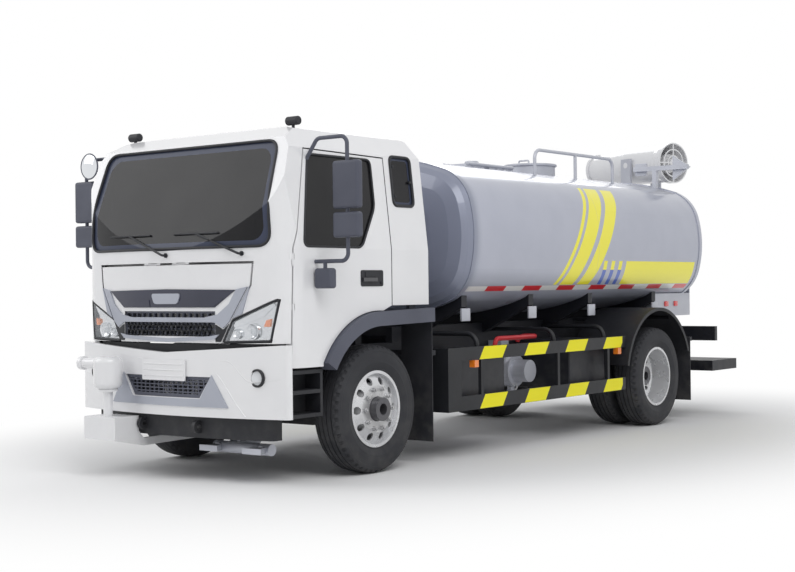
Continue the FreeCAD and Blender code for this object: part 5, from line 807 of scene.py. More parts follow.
class Finishes:
    """Every finish of the truck."""

    def __init__(self, axle: float, rear: float) -> None:
        """Set the finishes up.

        Args:
            axle: the front axle's place.
            rear: the rear axle's place.
        """
        grey, dark = (0.105, 0.112, 0.145), (0.075, 0.080, 0.108)
        self.cab = CabPaint(
            "cab_paint", Slot.WHITE, (0.86, 0.86, 0.87), (0.83, 0.83, 0.845), 0.24, 0.08, coat=0.6,
            grain_scale=26.0, grain_depth=0.0002, dust=0.05, axle=axle,
        )
        self.white = Finish(
            "plain_white", Slot.WHITE, (0.86, 0.86, 0.87), (0.83, 0.83, 0.845), 0.24, 0.08, coat=0.6,
            grain_scale=26.0, grain_depth=0.0002, dust=0.05,
        )
        self.tank = TankPaint(
            "tank_silver", Slot.TANK, (0.455, 0.475, 0.560), (0.425, 0.445, 0.530), 0.30, 0.08, metallic=0.15,
            grain_scale=14.0, grain_depth=0.0003, axle=axle,
        )
        self.silver = Finish(
            "fittings_silver", Slot.TANK, (0.56, 0.575, 0.63), (0.50, 0.515, 0.57), 0.38, 0.12, metallic=0.2,
        )
        self.black = Finish(
            "chassis_black", Slot.FRAME, (0.012, 0.013, 0.018), (0.020, 0.021, 0.027), 0.45, 0.16,
            grain_scale=90.0, grain_depth=0.0005, dust=0.14, shine=0.3,
        )
        self.guard = GuardPaint(
            "guard_black", Slot.FRAME, (0.014, 0.015, 0.018), (0.022, 0.023, 0.027), 0.42, 0.14,
            grain_scale=60.0, grain_depth=0.0006, axle=axle, shine=0.3,
        )
        self.iron = Finish(
            "engine_cast", Slot.IRON, (0.15, 0.155, 0.165), (0.09, 0.092, 0.10), 0.62, 0.2, metallic=0.4,
            grain_scale=70.0, grain_depth=0.0014, dust=0.2, dust_top=1.4,
        )
        self.alloy = Brushed(
            "tank_alloy", Slot.ALLOY, (0.030, 0.031, 0.036), (0.045, 0.046, 0.052), 0.36, 0.14, metallic=0.3,
            grain_scale=160.0, grain_depth=0.0002, dust=0.12, shine=0.3,
        )
        self.grey = Moulded(
            "trim_grey", Slot.PLASTIC, grey, dark, 0.50, 0.12, grain_scale=420.0, grain_depth=0.0003,
            cloud_scale=1.5, dust=0.06, shine=0.35,
        )
        self.plastic = Moulded(
            "trim_black", Slot.PLASTIC, (0.016, 0.017, 0.021), (0.024, 0.025, 0.030), 0.50, 0.14,
            grain_scale=420.0, grain_depth=0.0003, dust=0.06, shine=0.35,
        )
        self.gloss = Finish(
            "strip_gloss", Slot.PLASTIC, (0.040, 0.043, 0.070), (0.030, 0.033, 0.055), 0.22, 0.06, coat=0.3,
            grain_scale=60.0, grain_depth=0.0001, shine=0.35,
        )
        self.satin = Finish(
            "trim_silver", Slot.PLASTIC, (0.42, 0.44, 0.50), (0.37, 0.39, 0.45), 0.34, 0.1, metallic=0.35,
            grain_scale=120.0, grain_depth=0.0001,
        )
        self.chrome = Brushed(
            "bright_chrome", Slot.LENS, (0.80, 0.81, 0.83), (0.72, 0.73, 0.75), 0.10, 0.06, metallic=1.0,
            grain_scale=200.0, grain_depth=0.00005,
        )
        self.screen = ScreenGlass(
            "screen_glass", Slot.GLASS, (0.012, 0.012, 0.014), (0.020, 0.020, 0.022), 0.03, 0.0,
            grain_scale=2.0, grain_depth=0.0001, axle=axle, shine=0.22,
        )
        self.window = Clear(
            "window_glass", Slot.GLASS, (0.016, 0.016, 0.018), (0.024, 0.024, 0.025), 0.03, 0.02,
            grain_scale=2.0, grain_depth=0.0001, shine=0.22, alpha=0.95,
        )
        self.mirror = Finish(
            "mirror_glass", Slot.GLASS, (0.75, 0.77, 0.79), (0.70, 0.72, 0.75), 0.03, 0.02, metallic=1.0,
            grain_scale=4.0, grain_depth=0.00005,
        )
        self.cover = Clear(
            "lamp_cover", Slot.LENS, (0.80, 0.84, 0.88), (0.72, 0.76, 0.80), 0.04, 0.02, coat=0.5,
            grain_scale=6.0, grain_depth=0.0001, alpha=0.16,
        )
        self.bulb = Ribbed(
            "lamp_clear", Slot.LENS, (0.82, 0.84, 0.86), (0.74, 0.76, 0.79), 0.08, 0.04, coat=0.6,
            grain_depth=0.0008,
        )
        self.amber = Ribbed(
            "lamp_amber", Slot.LENS, (0.95, 0.26, 0.02), (0.80, 0.20, 0.02), 0.14, 0.06, coat=0.6,
            grain_depth=0.0008, glow=0.15,
        )
        # The red reflectors are no lamps: the glow of this finish is painted light.
        self.red = Ribbed(
            "reflector_red_glow", Slot.LENS, (0.70, 0.012, 0.015), (0.52, 0.01, 0.012), 0.14, 0.06, coat=0.6,
            grain_depth=0.0008, glow=0.12,
        )
        self.cloth = Woven(
            "seat_weave", Slot.CLOTH, (0.050, 0.052, 0.062), (0.035, 0.037, 0.045), 0.86, 0.1,
            grain_depth=0.0006,
        )
        self.rim = RimPaint(
            "rim_silver", Slot.RIM, (0.72, 0.725, 0.74), (0.62, 0.625, 0.64), 0.28, 0.12, metallic=0.45,
            grain_scale=120.0, grain_depth=0.0003, dust=0.10, axle=axle, rear=rear,
        )
        self.steel = Finish(
            "nut_steel", Slot.RIM, (0.56, 0.56, 0.57), (0.42, 0.42, 0.43), 0.26, 0.14, metallic=0.9,
            grain_scale=200.0, grain_depth=0.0002,
        )
        self.tyre = TyreRubber(
            "tyre_black", Slot.TYRE, (0.030, 0.031, 0.036), (0.042, 0.043, 0.048), 0.68, 0.14,
            grain_depth=0.0006, cloud_scale=4.0, dust=0.08, dust_top=1.0, shine=0.3, axle=axle, rear=rear,
        )
        self.flap = Moulded(
            "flap_black", Slot.FLAP, (0.020, 0.021, 0.026), (0.030, 0.031, 0.037), 0.60, 0.14,
            grain_scale=150.0, grain_depth=0.0012, dust=0.12, shine=0.3,
        )
        self.lens = ChassisLens(
            "chassis_lens", Slot.LENS, (0.82, 0.84, 0.86), (0.74, 0.76, 0.79), 0.10, 0.04, coat=0.5,
            grain_depth=0.0008, axle=axle,
        )
        self.tool = Finish(
            "tool_red", Slot.FRAME, (0.62, 0.020, 0.030), (0.45, 0.016, 0.024), 0.34, 0.10, grain_scale=50.0,
        )

    def by_node(self) -> dict[str, Finish]:
        """Which finish every CAD node that stays gets.

        Returns:
            The finish of each node by its name.
        """
        groups = [
            (self.cab, "cab_shell door_left door_right front_flap"),
            (self.white, "front_bumper cannon_barrel gun_mount spray_gun"),
            (self.tank, "tank"),
            (self.silver, "tank_fittings manhole_lid rear_cabinet cannon_yoke arrow_board"),
            (self.black, "frame_rails front_axle rear_axle leaf_springs knuckle_left knuckle_right driveline "
                         "cab_stays cannon_tower rear_platform battery_box tool_box subframe"),
            (self.guard, "side_guards"),
            (self.iron, "engine_block"),
            (self.alloy, "fuel_tank"),
            (self.grey, "mirror_left mirror_right fender_flares grille lower_grille"),
            (self.plastic, "valance rear_fenders steps dashboard steering_wheel roof_lamps wipers"),
            (self.silver, "water_pipes pump_unit filter_canister"),
            (self.bulb, "headlamps"),
            (self.lens, "chassis_lamps"),
            (self.screen, "cab_glass"),
            (self.window, "door_glass_left door_glass_right"),
            (self.cloth, "seats"),
            (self.rim, "rim_front_left rim_front_right rim_rear_left rim_rear_right"),
            (self.tyre, "tyre_front_left tyre_front_right tyre_rear_left tyre_rear_right"),
            (self.flap, "mudflaps"),
        ]
        return {name: finish for finish, names in groups for name in names.split()}


class Workshop:
    """Models pieces with Blender's own tools; each ends at the origin with its place in its mesh."""

    def clear(self) -> None:
        """Leave edit mode and let go of everything."""
        if bpy.context.object and bpy.context.object.mode != "OBJECT":
            bpy.ops.object.mode_set(mode="OBJECT")
        bpy.ops.object.select_all(action="DESELECT")

    def hold(self, piece: bpy.types.Object) -> bpy.types.Object:
        """Select one piece alone and make it active.

        Args:
            piece: the piece.

        Returns:
            The piece.
        """
        self.clear()
        piece.select_set(True)
        bpy.context.view_layer.objects.active = piece
        return piece

    @contextmanager
    def shaping(self, piece: bpy.types.Object, mode: str = "FACE") -> Iterator[bpy.types.Object]:
        """Work on a piece in edit mode with all of it selected.

        Args:
            piece: the piece.
            mode: what is selected, VERT, EDGE or FACE.

        Yields:
            The piece.
        """
        self.hold(piece)
        bpy.ops.object.mode_set(mode="EDIT")
        bpy.ops.mesh.select_mode(type=mode)
        bpy.ops.mesh.select_all(action="SELECT")
        yield piece
        bpy.ops.object.mode_set(mode="OBJECT")

    def pick(self, piece: bpy.types.Object, test: Callable[[bmesh.types.BMFace], bool]) -> None:
        """Select the faces that a test accepts, in edit mode.

        Args:
            piece: the piece in edit mode.
            test: says whether a face is wanted.
        """
        shape = bmesh.from_edit_mesh(piece.data)
        for face in shape.faces:
            face.select_set(bool(test(face)))
        shape.select_flush_mode()
        bmesh.update_edit_mesh(piece.data)

    def settle(self, name: str) -> bpy.types.Object:
        """Name the active piece and move its place into its mesh.

        Args:
            name: its name.

        Returns:
            The piece.
        """
        piece = bpy.context.object
        bpy.ops.object.transform_apply(location=True, rotation=True, scale=True)
        piece.name = name
        piece.data.name = name
        return piece

    def smooth(self, piece: bpy.types.Object, angle: float = 35.0) -> bpy.types.Object:
        """Shade a piece smooth except over sharp edges.

        Args:
            piece: the piece.
            angle: what is sharp, in degrees.

        Returns:
            The piece.
        """
        self.hold(piece)
        bpy.ops.object.shade_smooth_by_angle(angle=math.radians(angle))
        return piece

    def block(self, name: str, low: Point, high: Point, edge: float = 0.0) -> bpy.types.Object:
        """A box between two corners with rounded edges.

        Args:
            name: its name.
            low: lowest corner.
            high: highest corner.
            edge: how far its edges are rounded.

        Returns:
            The piece.
        """
        self.clear()
        a, b = Vector(low), Vector(high)
        bpy.ops.mesh.primitive_cube_add(size=1.0, location=(a + b) / 2, scale=b - a)
        piece = self.settle(name)
        if edge:
            with self.shaping(piece):
                bpy.ops.mesh.bevel(offset=edge, segments=2, affect="EDGES")
            self.smooth(piece)
        return piece

    def drum(
        self, name: str, start: Point, end: Point, radius: float, sides: int, edge: float = 0.0,
    ) -> bpy.types.Object:
        """A round bar between two points.

        Args:
            name: its name.
            start: middle of its first end.
            end: middle of its other end.
            radius: its radius.
            sides: faces round it.
            edge: how far its rims are rounded.

        Returns:
            The piece.
        """
        self.clear()
        a, b = Vector(start), Vector(end)
        turn = Vector((0, 0, 1)).rotation_difference(b - a).to_euler()
        bpy.ops.mesh.primitive_cone_add(
            vertices=sides, radius1=radius, radius2=radius, depth=(b - a).length,
            location=(a + b) / 2, rotation=turn,
        )
        piece = self.settle(name)
        if edge:
            with self.shaping(piece):
                self.pick(piece, lambda face: len(face.verts) > 4)
                bpy.ops.mesh.bevel(offset=edge, segments=2, affect="EDGES")
        return self.smooth(piece)

    def trail(self, points: Sequence[Sequence[float]]) -> bpy.types.Object:
        """Start a mesh as one vertex and extrude it from point to point, left in edit mode.

        Args:
            points: the places in order.

        Returns:
            The piece, in edit mode with vertices selected.
        """
        self.clear()
        bpy.ops.mesh.primitive_plane_add(size=0.01, location=points[0])
        piece = bpy.context.object
        bpy.ops.object.transform_apply(location=True, rotation=True, scale=True)
        bpy.ops.object.mode_set(mode="EDIT")
        bpy.ops.mesh.select_mode(type="VERT")
        bpy.ops.mesh.select_all(action="SELECT")
        bpy.ops.mesh.merge(type="CENTER")
        for before, after in zip(points, points[1:]):
            step = Vector(after) - Vector(before)
            bpy.ops.mesh.extrude_region_move(TRANSFORM_OT_translate={"value": step})
        bpy.ops.mesh.select_all(action="SELECT")
        return piece

    def turned(
        self, name: str, profile: Sequence[Flat], centre: Point, axis: Axis, steps: int = 48,
        closed: bool = False,
    ) -> bpy.types.Object:
        """Spin a profile about an axis.

        Args:
            name: the piece's name.
            profile: (along, radius) points.
            centre: where the axis passes and along starts.
            axis: the axis.
            steps: faces round it.
            closed: whether the profile's ends are joined.

        Returns:
            The piece.
        """
        middle = Vector(centre)
        self.trail([middle + axis.flat(along, radius) for along, radius in profile])
        if closed:
            shape = bmesh.from_edit_mesh(bpy.context.object.data)
            ends = [v for v in shape.verts if len(v.link_edges) == 1]
            for vertex in shape.verts:
                vertex.select_set(vertex in ends)
            bpy.ops.mesh.edge_face_add()
            bpy.ops.mesh.select_all(action="SELECT")
        bpy.ops.mesh.spin(steps=steps, angle=2 * math.pi, center=middle, axis=axis.value)
        bpy.ops.mesh.select_all(action="SELECT")
        bpy.ops.mesh.remove_doubles(threshold=MERGE)
        bpy.ops.mesh.normals_make_consistent(inside=False)
        bpy.ops.object.mode_set(mode="OBJECT")
        return self.smooth(self.settle(name))

    def plate(self, name: str, outline: Sequence[Sequence[float]], depth: Point) -> bpy.types.Object:
        """A plate from its outline, given thickness in one direction.

        Args:
            name: its name.
            outline: corners in order.
            depth: the way and distance it is thick.

        Returns:
            The piece.
        """
        self.trail(outline)
        bpy.ops.mesh.edge_face_add()
        bpy.ops.mesh.select_all(action="SELECT")
        bpy.ops.mesh.extrude_region_move(TRANSFORM_OT_translate={"value": Vector(depth)})
        bpy.ops.mesh.select_all(action="SELECT")
        bpy.ops.mesh.normals_make_consistent(inside=False)
        bpy.ops.object.mode_set(mode="OBJECT")
        return self.smooth(self.settle(name))

    def laid(
        self, name: str, outline: Sequence[Flat], surface: Surface, out: Point, lift: float, thick: float,
        step: float,
    ) -> bpy.types.Object:
        """A thin plate that follows a curved surface.

        Args:
            name: its name.
            outline: its corners in the surface's own two measures.
            surface: gives the point for both measures.
            out: the way out of the surface.
            lift: how far the plate's back lies outside the surface.
            thick: its thickness.
            step: how finely it is divided to follow the curve.

        Returns:
            The piece.
        """
        way = Vector(out)
        across = Vector((0.0, 1.0, 0.0)) if abs(way.x) > 0.5 else Vector((1.0, 0.0, 0.0))
        self.trail([across * u + Vector((0.0, 0.0, v)) for u, v in outline])
        bpy.ops.mesh.edge_face_add()
        low, high = min(u for u, _ in outline), max(u for u, _ in outline)
        cuts = max(int((high - low) / step), 1)
        for index in range(1, cuts):
            bpy.ops.mesh.select_all(action="SELECT")
            spot = low + (high - low) * index / cuts
            bpy.ops.mesh.bisect(plane_co=across * spot, plane_no=across)
        piece = bpy.context.object
        shape = bmesh.from_edit_mesh(piece.data)
        for vertex in shape.verts:
            vertex.co = surface(vertex.co.dot(across), vertex.co.z) + way * lift
        bmesh.update_edit_mesh(piece.data)
        bpy.ops.mesh.select_all(action="SELECT")
        bpy.ops.mesh.extrude_region_move(TRANSFORM_OT_translate={"value": way * thick})
        bpy.ops.mesh.select_all(action="SELECT")
        bpy.ops.mesh.normals_make_consistent(inside=False)
        bpy.ops.object.mode_set(mode="OBJECT")
        return self.smooth(self.settle(name), 30.0)

    def tube(
        self, name: str, points: Sequence[Sequence[float]], radius: float, closed: bool = False,
    ) -> bpy.types.Object:
        """A round tube along points, made from a bevelled curve.

        Args:
            name: its name.
            points: places on the way.
            radius: the tube's radius.
            closed: whether it runs round to its start.

        Returns:
            The piece.
        """
        self.clear()
        line = bpy.data.curves.new(name, "CURVE")
        line.dimensions = "3D"
        line.bevel_depth = radius
        line.bevel_resolution = 3
        line.use_fill_caps = not closed
        spline = line.splines.new("NURBS")
        spline.points.add(len(points) - 1)
        for spot, point in zip(spline.points, points):
            spot.co = (*point, 1.0)
        spline.use_cyclic_u = closed
        spline.order_u = 3
        spline.use_endpoint_u = not closed
        spline.resolution_u = 6
        piece = bpy.data.objects.new(name, line)
        bpy.context.scene.collection.objects.link(piece)
        self.hold(piece)
        bpy.ops.object.convert(target="MESH")
        piece = self.settle(name)
        with self.shaping(piece):
            bpy.ops.mesh.remove_doubles(threshold=MERGE)
            bpy.ops.mesh.normals_make_consistent(inside=False)
        return self.smooth(piece)

    def copied(
        self, piece: bpy.types.Object, name: str, move: Sequence[float] = (0, 0, 0),
        turn: Optional[Matrix] = None,
    ) -> bpy.types.Object:
        """Copy a piece with its own mesh.

        Args:
            piece: the piece to copy.
            name: the copy's name.
            move: how far the copy is shifted.
            turn: a matrix applied to its mesh before the shift.

        Returns:
            The copy.
        """
        twin = piece.copy()
        twin.data = piece.data.copy()
        twin.name = name
        twin.data.name = name
        bpy.context.scene.collection.objects.link(twin)
        shift = Matrix.Translation(Vector(move))
        change = shift @ turn if turn else shift
        twin.data.transform(change)
        if change.determinant() < 0:
            with self.shaping(twin):
                bpy.ops.mesh.flip_normals()
        return twin

    def mirrored(self, piece: bpy.types.Object, name: str) -> bpy.types.Object:
        """Copy a piece to the truck's other side."""
        return self.copied(piece, name, turn=Matrix.Diagonal((1.0, -1.0, 1.0, 1.0)))

    def ringed(
        self, piece: bpy.types.Object, centre: Sequence[float], axis: Axis, count: int,
    ) -> list[bpy.types.Object]:
        """Copy a piece round an axis at equal steps, the first included.

        Args:
            piece: the first one.
            centre: a point on the axis.
            axis: the axis.
            count: how many there are in all.

        Returns:
            All of them.
        """
        middle = Vector(centre)
        made = [piece]
        for index in range(1, count):
            angle = 2 * math.pi * index / count
            turn = (
                Matrix.Translation(middle) @ Matrix.Rotation(angle, 4, Vector(axis.value))
                @ Matrix.Translation(-middle)
            )
            made.append(self.copied(piece, f"{piece.name}_{index}", turn=turn))
        return made

    def joined(self, name: str, pieces: Sequence[bpy.types.Object]) -> bpy.types.Object:
        """Join pieces into one, each keeping its own finish.

        Args:
            name: the piece's name.
            pieces: what is joined.

        Returns:
            The piece.
        """
        self.clear()
        for piece in pieces:
            piece.select_set(True)
        bpy.context.view_layer.objects.active = pieces[0]
        if len(pieces) > 1:
            bpy.ops.object.join()
        return self.settle(name)

    def paint(self, piece: bpy.types.Object, finish: Finish) -> bpy.types.Object:
        """Give a piece one finish.

        Args:
            piece: the piece.
            finish: the finish.

        Returns:
            The piece.
        """
        piece.data.materials.clear()
        piece.data.materials.append(finish.make())
        return piece

    def fit(
        self, piece: bpy.types.Object, body: str, finish: Finish, *nodes: str, keep: bool = False,
    ) -> bpy.types.Object:
        """Finish a piece: its paint, the body that it rides on and the nodes that it stands for.

        Args:
            piece: the piece.
            body: the CAD body.
            finish: its finish, which also names the slot.
            nodes: CAD nodes that it replaces.
            keep: whether its own materials stay.

        Returns:
            The piece.
        """
        if not keep:
            self.paint(piece, finish)
        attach(piece, body)
        if nodes:
            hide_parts(*nodes)
        LOG.info("piece %s rides on %s, %d faces", piece.name, body, len(piece.data.polygons))
        return piece


def rounded_way(corners: Sequence[Flat], reach: float, steps: int = 6) -> list[Flat]:
    """Round an outline's corners.

    Args:
        corners: the outline.
        reach: how far from each corner its rounding starts.
        steps: how many points each rounding has.

    Returns:
        The rounded outline.
    """
    way: list[Flat] = []
    for index, corner in enumerate(corners):
        middle = Vector(corner)
        before = middle + (Vector(corners[index - 1]) - middle).normalized() * reach
        after = middle + (Vector(corners[(index + 1) % len(corners)]) - middle).normalized() * reach
        for count in range(steps + 1):
            share = count / steps
            spot = before * (1 - share) ** 2 + middle * 2 * share * (1 - share) + after * share ** 2
            way.append((spot.x, spot.y))
    return way


def filled_way(corners: Sequence[Flat], gap: float) -> list[Flat]:
    """Add points along a closed outline's runs, so that a tube keeps to its surface.

    Args:
        corners: the outline.
        gap: the longest run without a point.

    Returns:
        The outline with its added points.
    """
    way: list[Flat] = []
    for index, corner in enumerate(corners):
        start, end = Vector(corner), Vector(corners[(index + 1) % len(corners)])
        count = max(int((end - start).length / gap), 1)
        way += [tuple(start.lerp(end, step / count)) for step in range(count)]
    return way


@dataclass(frozen=True)
class Sheet:
    """A thin plate for one of the truck's surfaces."""

    outline: tuple[Flat, ...]
    lift: float
    thick: float
    step: float = 0.09
    corner: float = 0.0
    corner_steps: int = 6

    def way(self, sign: float) -> list[Flat]:
        """Its outline as drawn or mirrored, with its corners rounded."""
        corners = [(sign * u, v) for u, v in self.outline]
        return rounded_way(corners, self.corner, self.corner_steps) if self.corner else corners


@dataclass
class Assembly:
    """What every sub-assembly shares: the workshop, the finishes and the cab's surfaces."""

    shop: Workshop
    looks: Finishes
    axle: float
    rear: float
    tip: float = 1.190
    bend: float = 4.0
    corner_radius: float = 0.24
    corner_start: float = 0.9466
    corner_middle: float = 0.89
    corner_back: float = 0.347
    sill: float = 1.48
    sill_tip: float = 1.175
    waist: float = 1.75
    screen_lean: float = 0.3494
    side_half: float = 1.130
    side_lean: float = 0.11333
    bumper_tip: float = 1.215

    def at(self, x: float, y: float, z: float) -> Vector:
        """A point given from the front axle."""
        return Vector((self.axle + x, y, z))

    def nose(self, y: float) -> float:
        """How far forward the cab's curved front with its round corners reaches.

        Args:
            y: place across the truck.

        Returns:
            The reach from the front axle.
        """
        if abs(y) < self.corner_start:
            return self.tip - self.bend + math.sqrt(self.bend ** 2 - y * y)
        rest = self.corner_radius ** 2 - (abs(y) - self.corner_middle) ** 2
        return self.tip - self.corner_back + math.sqrt(max(rest, 0.0))

    def front(self, y: float, z: float) -> Vector:
        """The cab's front surface, windscreen included.

        Args:
            y: place across the truck.
            z: height.

        Returns:
            The point.
        """
        if z < self.sill:
            limit = self.sill_tip
        elif z < self.waist:
            share = (z - self.sill) / (self.waist - self.sill)
            limit = self.sill_tip + share * (self.tip - self.sill_tip)
        else:
            limit = self.tip - (z - self.waist) * self.screen_lean
        return self.at(min(self.nose(y), limit), y, z)

    def bumper(self, y: float, z: float) -> Vector:
        """The bumper's front surface."""
        return self.at(self.bumper_tip - self.bend + math.sqrt(self.bend ** 2 - y * y), y, z)

    def flank(self, sign: float) -> Surface:
        """The cab's side surface, from places along and up.

        Args:
            sign: 1 on the left, -1 on the right.

        Returns:
            The surface.
        """
        def point(x: float, z: float) -> Vector:
            """A point of that side."""
            return self.at(x, sign * (self.side_half - max(z - self.waist, 0.0) * self.side_lean), z)
        return point

    def lay(
        self, name: str, sheet: Sheet, surface: Surface, out: Point = AHEAD, signs: Sequence[float] = (1.0,),
    ) -> bpy.types.Object:
        """Lay a sheet on a surface, once or on both sides.

        Args:
            name: the piece's name.
            sheet: what is laid.
            surface: what it lies on.
            out: the way out of the surface.
            signs: 1 as drawn and -1 mirrored.

        Returns:
            The piece.
        """
        return self.shop.joined(name, [
            self.shop.laid(name, sheet.way(sign), surface, out, sheet.lift, sheet.thick, sheet.step)
            for sign in signs
        ])


@dataclass
class Tyres(Assembly):
    """Road tyres with ribs, shoulder lugs and sidewall rings; the rear ones are twins."""

    radius: float = 0.503
    crown: float = 0.9
    shoulder: float = 0.096
    groove_half: float = 0.0045
    groove_depth: float = 0.012
    groove_shape: tuple[Flat, ...] = ((1, 0.0), (0.8, 1.0), (-0.8, 1.0), (-1, 0.0))
    grooves: tuple[float, ...] = (0.066, 0.022, -0.022, -0.066)
    wall: tuple[Flat, ...] = (
        (0.107, 0.4890), (0.1165, 0.4790), (0.1225, 0.4650), (0.1275, 0.4500), (0.1262, 0.4470),
        (0.1305, 0.4330), (0.1342, 0.4050), (0.1348, 0.3850), (0.1335, 0.3700), (0.1346, 0.3650),
        (0.1325, 0.3600), (0.1275, 0.3400), (0.1175, 0.3190), (0.1150, 0.3130), (0.1170, 0.3090),
        (0.1120, 0.3025), (0.1010, 0.3020), (0.0990, 0.2905), (0.0880, 0.2890),
    )
    front_y: float = 0.988
    rear_y: float = 1.091
    twin_step: float = 0.326
    steps: int = 96
    lug_reach: float = 0.482
    lug_inner: float = 0.094
    lug_outer: float = 0.114
    lug_edge: float = 0.0016
    lug_drop: float = 0.006

    def profile(self) -> list[Flat]:
        """The tyre's section, all round.

        Returns:
            Its (along, radius) points.
        """
        top: list[Flat] = []
        for middle in self.grooves:
            for side, drop in self.groove_shape:
                along = middle + side * self.groove_half
                top.append((along, self.radius - self.crown * along * along - drop * self.groove_depth))
        edge = [(self.shoulder, self.radius - self.crown * self.shoulder ** 2)]
        right = [*reversed(self.wall), *edge]
        left = [(-along, out) for along, out in (*edge, *self.wall)]
        return right + top + left

    def one(self, name: str, x: float, y: float) -> bpy.types.Object:
        """One tyre about its axle.

        Args:
            name: its name.
            x: its axle's place.
            y: its middle across the truck.

        Returns:
            The piece.
        """
        middle = Vector((x, y, self.radius))
        tyre = self.shop.turned(name, self.profile(), middle, Axis.Y, self.steps, closed=True)

        def lug(face: bmesh.types.BMFace) -> bool:
            """Pick every second face of both shoulders.

            Args:
                face: a face of the tyre.

            Returns:
                Whether it becomes a gap between lugs.
            """
            spot = face.calc_center_median() - middle
            turn = math.atan2(spot.z, spot.x) / (2 * math.pi) * self.steps
            outer = math.hypot(spot.x, spot.z) > self.lug_reach
            return outer and self.lug_inner < abs(spot.y) < self.lug_outer and math.floor(turn) % 2 == 0

        with self.shop.shaping(tyre):
            self.shop.pick(tyre, lug)
            bpy.ops.mesh.inset(thickness=self.lug_edge, depth=-self.lug_drop, use_individual=True)
        return tyre

    def build(self) -> None:
        """Make one tyre and copy it to every wheel."""
        shop, looks = self.shop, self.looks
        master = self.one("tyre_front_left_rubber", self.axle, self.front_y)
        for name, x, y in (
            ("front_right", 0.0, -self.front_y), ("rear_left", -WHEELBASE, self.rear_y),
            ("rear_right", -WHEELBASE, -self.rear_y),
        ):
            step = Vector((x, y - self.front_y, 0.0))
            pieces = [shop.copied(master, f"tyre_{name}_rubber", step)]
            if x:
                inner = -self.twin_step if y > 0 else self.twin_step
                pieces.append(shop.copied(master, "twin", step + Vector((0.0, inner, 0.0))))
            tyre = shop.joined(f"tyre_{name}_rubber", pieces)
            shop.fit(tyre, f"wheel_{name}", looks.tyre, f"tyre_{name}")
        shop.fit(master, "wheel_front_left", looks.tyre, "tyre_front_left")


@dataclass
class WheelTrim(Assembly):
    """Stud ends and nuts of each wheel."""

    circle: float = 0.160
    count: int = 10
    height: float = 0.503
    depth: float = 0.03
    front_face: float = 1.132
    rear_face: float = 0.968
    bars: tuple[tuple[str, float, float, int, float], ...] = (
        ("stud", 0.010, 0.0105, 12, 0.002), ("nut", 0.001, 0.0185, 6, 0.003),
    )

    def build(self) -> None:
        """Dress all four wheels."""
        for end, x, face in (("front", 0.0, self.front_face), ("rear", -WHEELBASE, self.rear_face)):
            for side, sign in SIDES:
                self.wheel(f"{end}_{side}", x, sign, face)

    def wheel(self, name: str, x: float, sign: float, face: float) -> None:
        """Dress one wheel.

        Args:
            name: which wheel.
            x: its axle's place.
            sign: 1 on the left, -1 on the right.
            face: how far out its nuts reach.
        """
        shop = self.shop
        base = self.at(x, sign * face, self.height)
        start = base + Vector((self.circle, 0.0, 0.0))
        foot = start - Vector((0, sign * self.depth, 0))
        bars = [
            shop.drum(kind, foot, start + Vector((0, sign * reach, 0)), radius, sides, edge)
            for kind, reach, radius, sides, edge in self.bars
        ]
        one = shop.paint(shop.joined("stud_nut", bars), self.looks.steel)
        piece = shop.joined(f"nuts_{name}", shop.ringed(one, base, Axis.Y, self.count))
        shop.fit(piece, f"wheel_{name}", self.looks.steel)


@dataclass
class Windows(Assembly):
    """Rubber seals round the windscreen and the side windows."""

    screen: tuple[Flat, ...] = (
        (-0.985, 1.768), (0.0, 1.750), (0.985, 1.768), (0.935, 2.556), (-0.935, 2.556),
    )
    door: tuple[Flat, ...] = (
        (0.190, 1.762), (0.865, 1.762), (0.735, 2.455), (-0.010, 2.455), (-0.010, 2.080),
    )
    quarter: tuple[Flat, ...] = ((-0.525, 2.105), (-0.258, 2.105), (-0.258, 2.500), (-0.525, 2.500))
    knobs: tuple[Flat, ...] = ((-0.285, 2.42), (-0.285, 2.18), (-0.495, 2.30))
    screen_corner: float = 0.11
    door_corner: float = 0.055
    quarter_corner: float = 0.05
    screen_seal: float = 0.011
    door_seal: float = 0.009
    quarter_seal: float = 0.013
    screen_run: float = 0.12
    side_run: float = 0.2
    lift: float = 0.002
    plain_half: float = 0.12
    plain_top: float = 2.0
    knob_reach: float = 0.012
    knob_radius: float = 0.013
    knob_edge: float = 0.004

    def ring(
        self, name: str, outline: Sequence[Flat], corner: float, surface: Surface, radius: float,
    ) -> bpy.types.Object:
        """A seal round a side window.

        Args:
            name: its name.
            outline: the window's corners.
            corner: how far from each corner its rounding starts.
            surface: the cab's side.
            radius: the seal's radius.

        Returns:
            The piece.
        """
        points = [surface(x, z) for x, z in filled_way(rounded_way(outline, corner), self.side_run)]
        return self.shop.tube(name, points, radius, closed=True)

    def build(self) -> None:
        """Make every seal."""
        shop, rubber = self.shop, self.looks.plastic
        way = [
            spot for spot in rounded_way(self.screen, self.screen_corner)
            if abs(spot[0]) > self.plain_half or spot[1] > self.plain_top
        ]
        lift = Vector((self.lift, 0, 0))
        points = [self.front(y, z) + lift for y, z in filled_way(way, self.screen_run)]
        shop.fit(shop.tube("screen_seal", points, self.screen_seal, closed=True), "cab", rubber)
        for side, sign in SIDES:
            surface, out = self.flank(sign), Vector((0.0, sign, 0.0)) * self.knob_reach
            seal = self.ring(f"door_seal_{side}", self.door, self.door_corner, surface, self.door_seal)
            shop.fit(seal, f"door_{side}", rubber)
            name = f"quarter_seal_{side}"
            parts = [self.ring(name, self.quarter, self.quarter_corner, surface, self.quarter_seal)]
            for x, z in self.knobs:
                spot = surface(x, z)
                parts.append(shop.drum("knob", spot - out, spot + out, self.knob_radius, 16, self.knob_edge))
            shop.fit(shop.joined(name, parts), "cab", rubber)


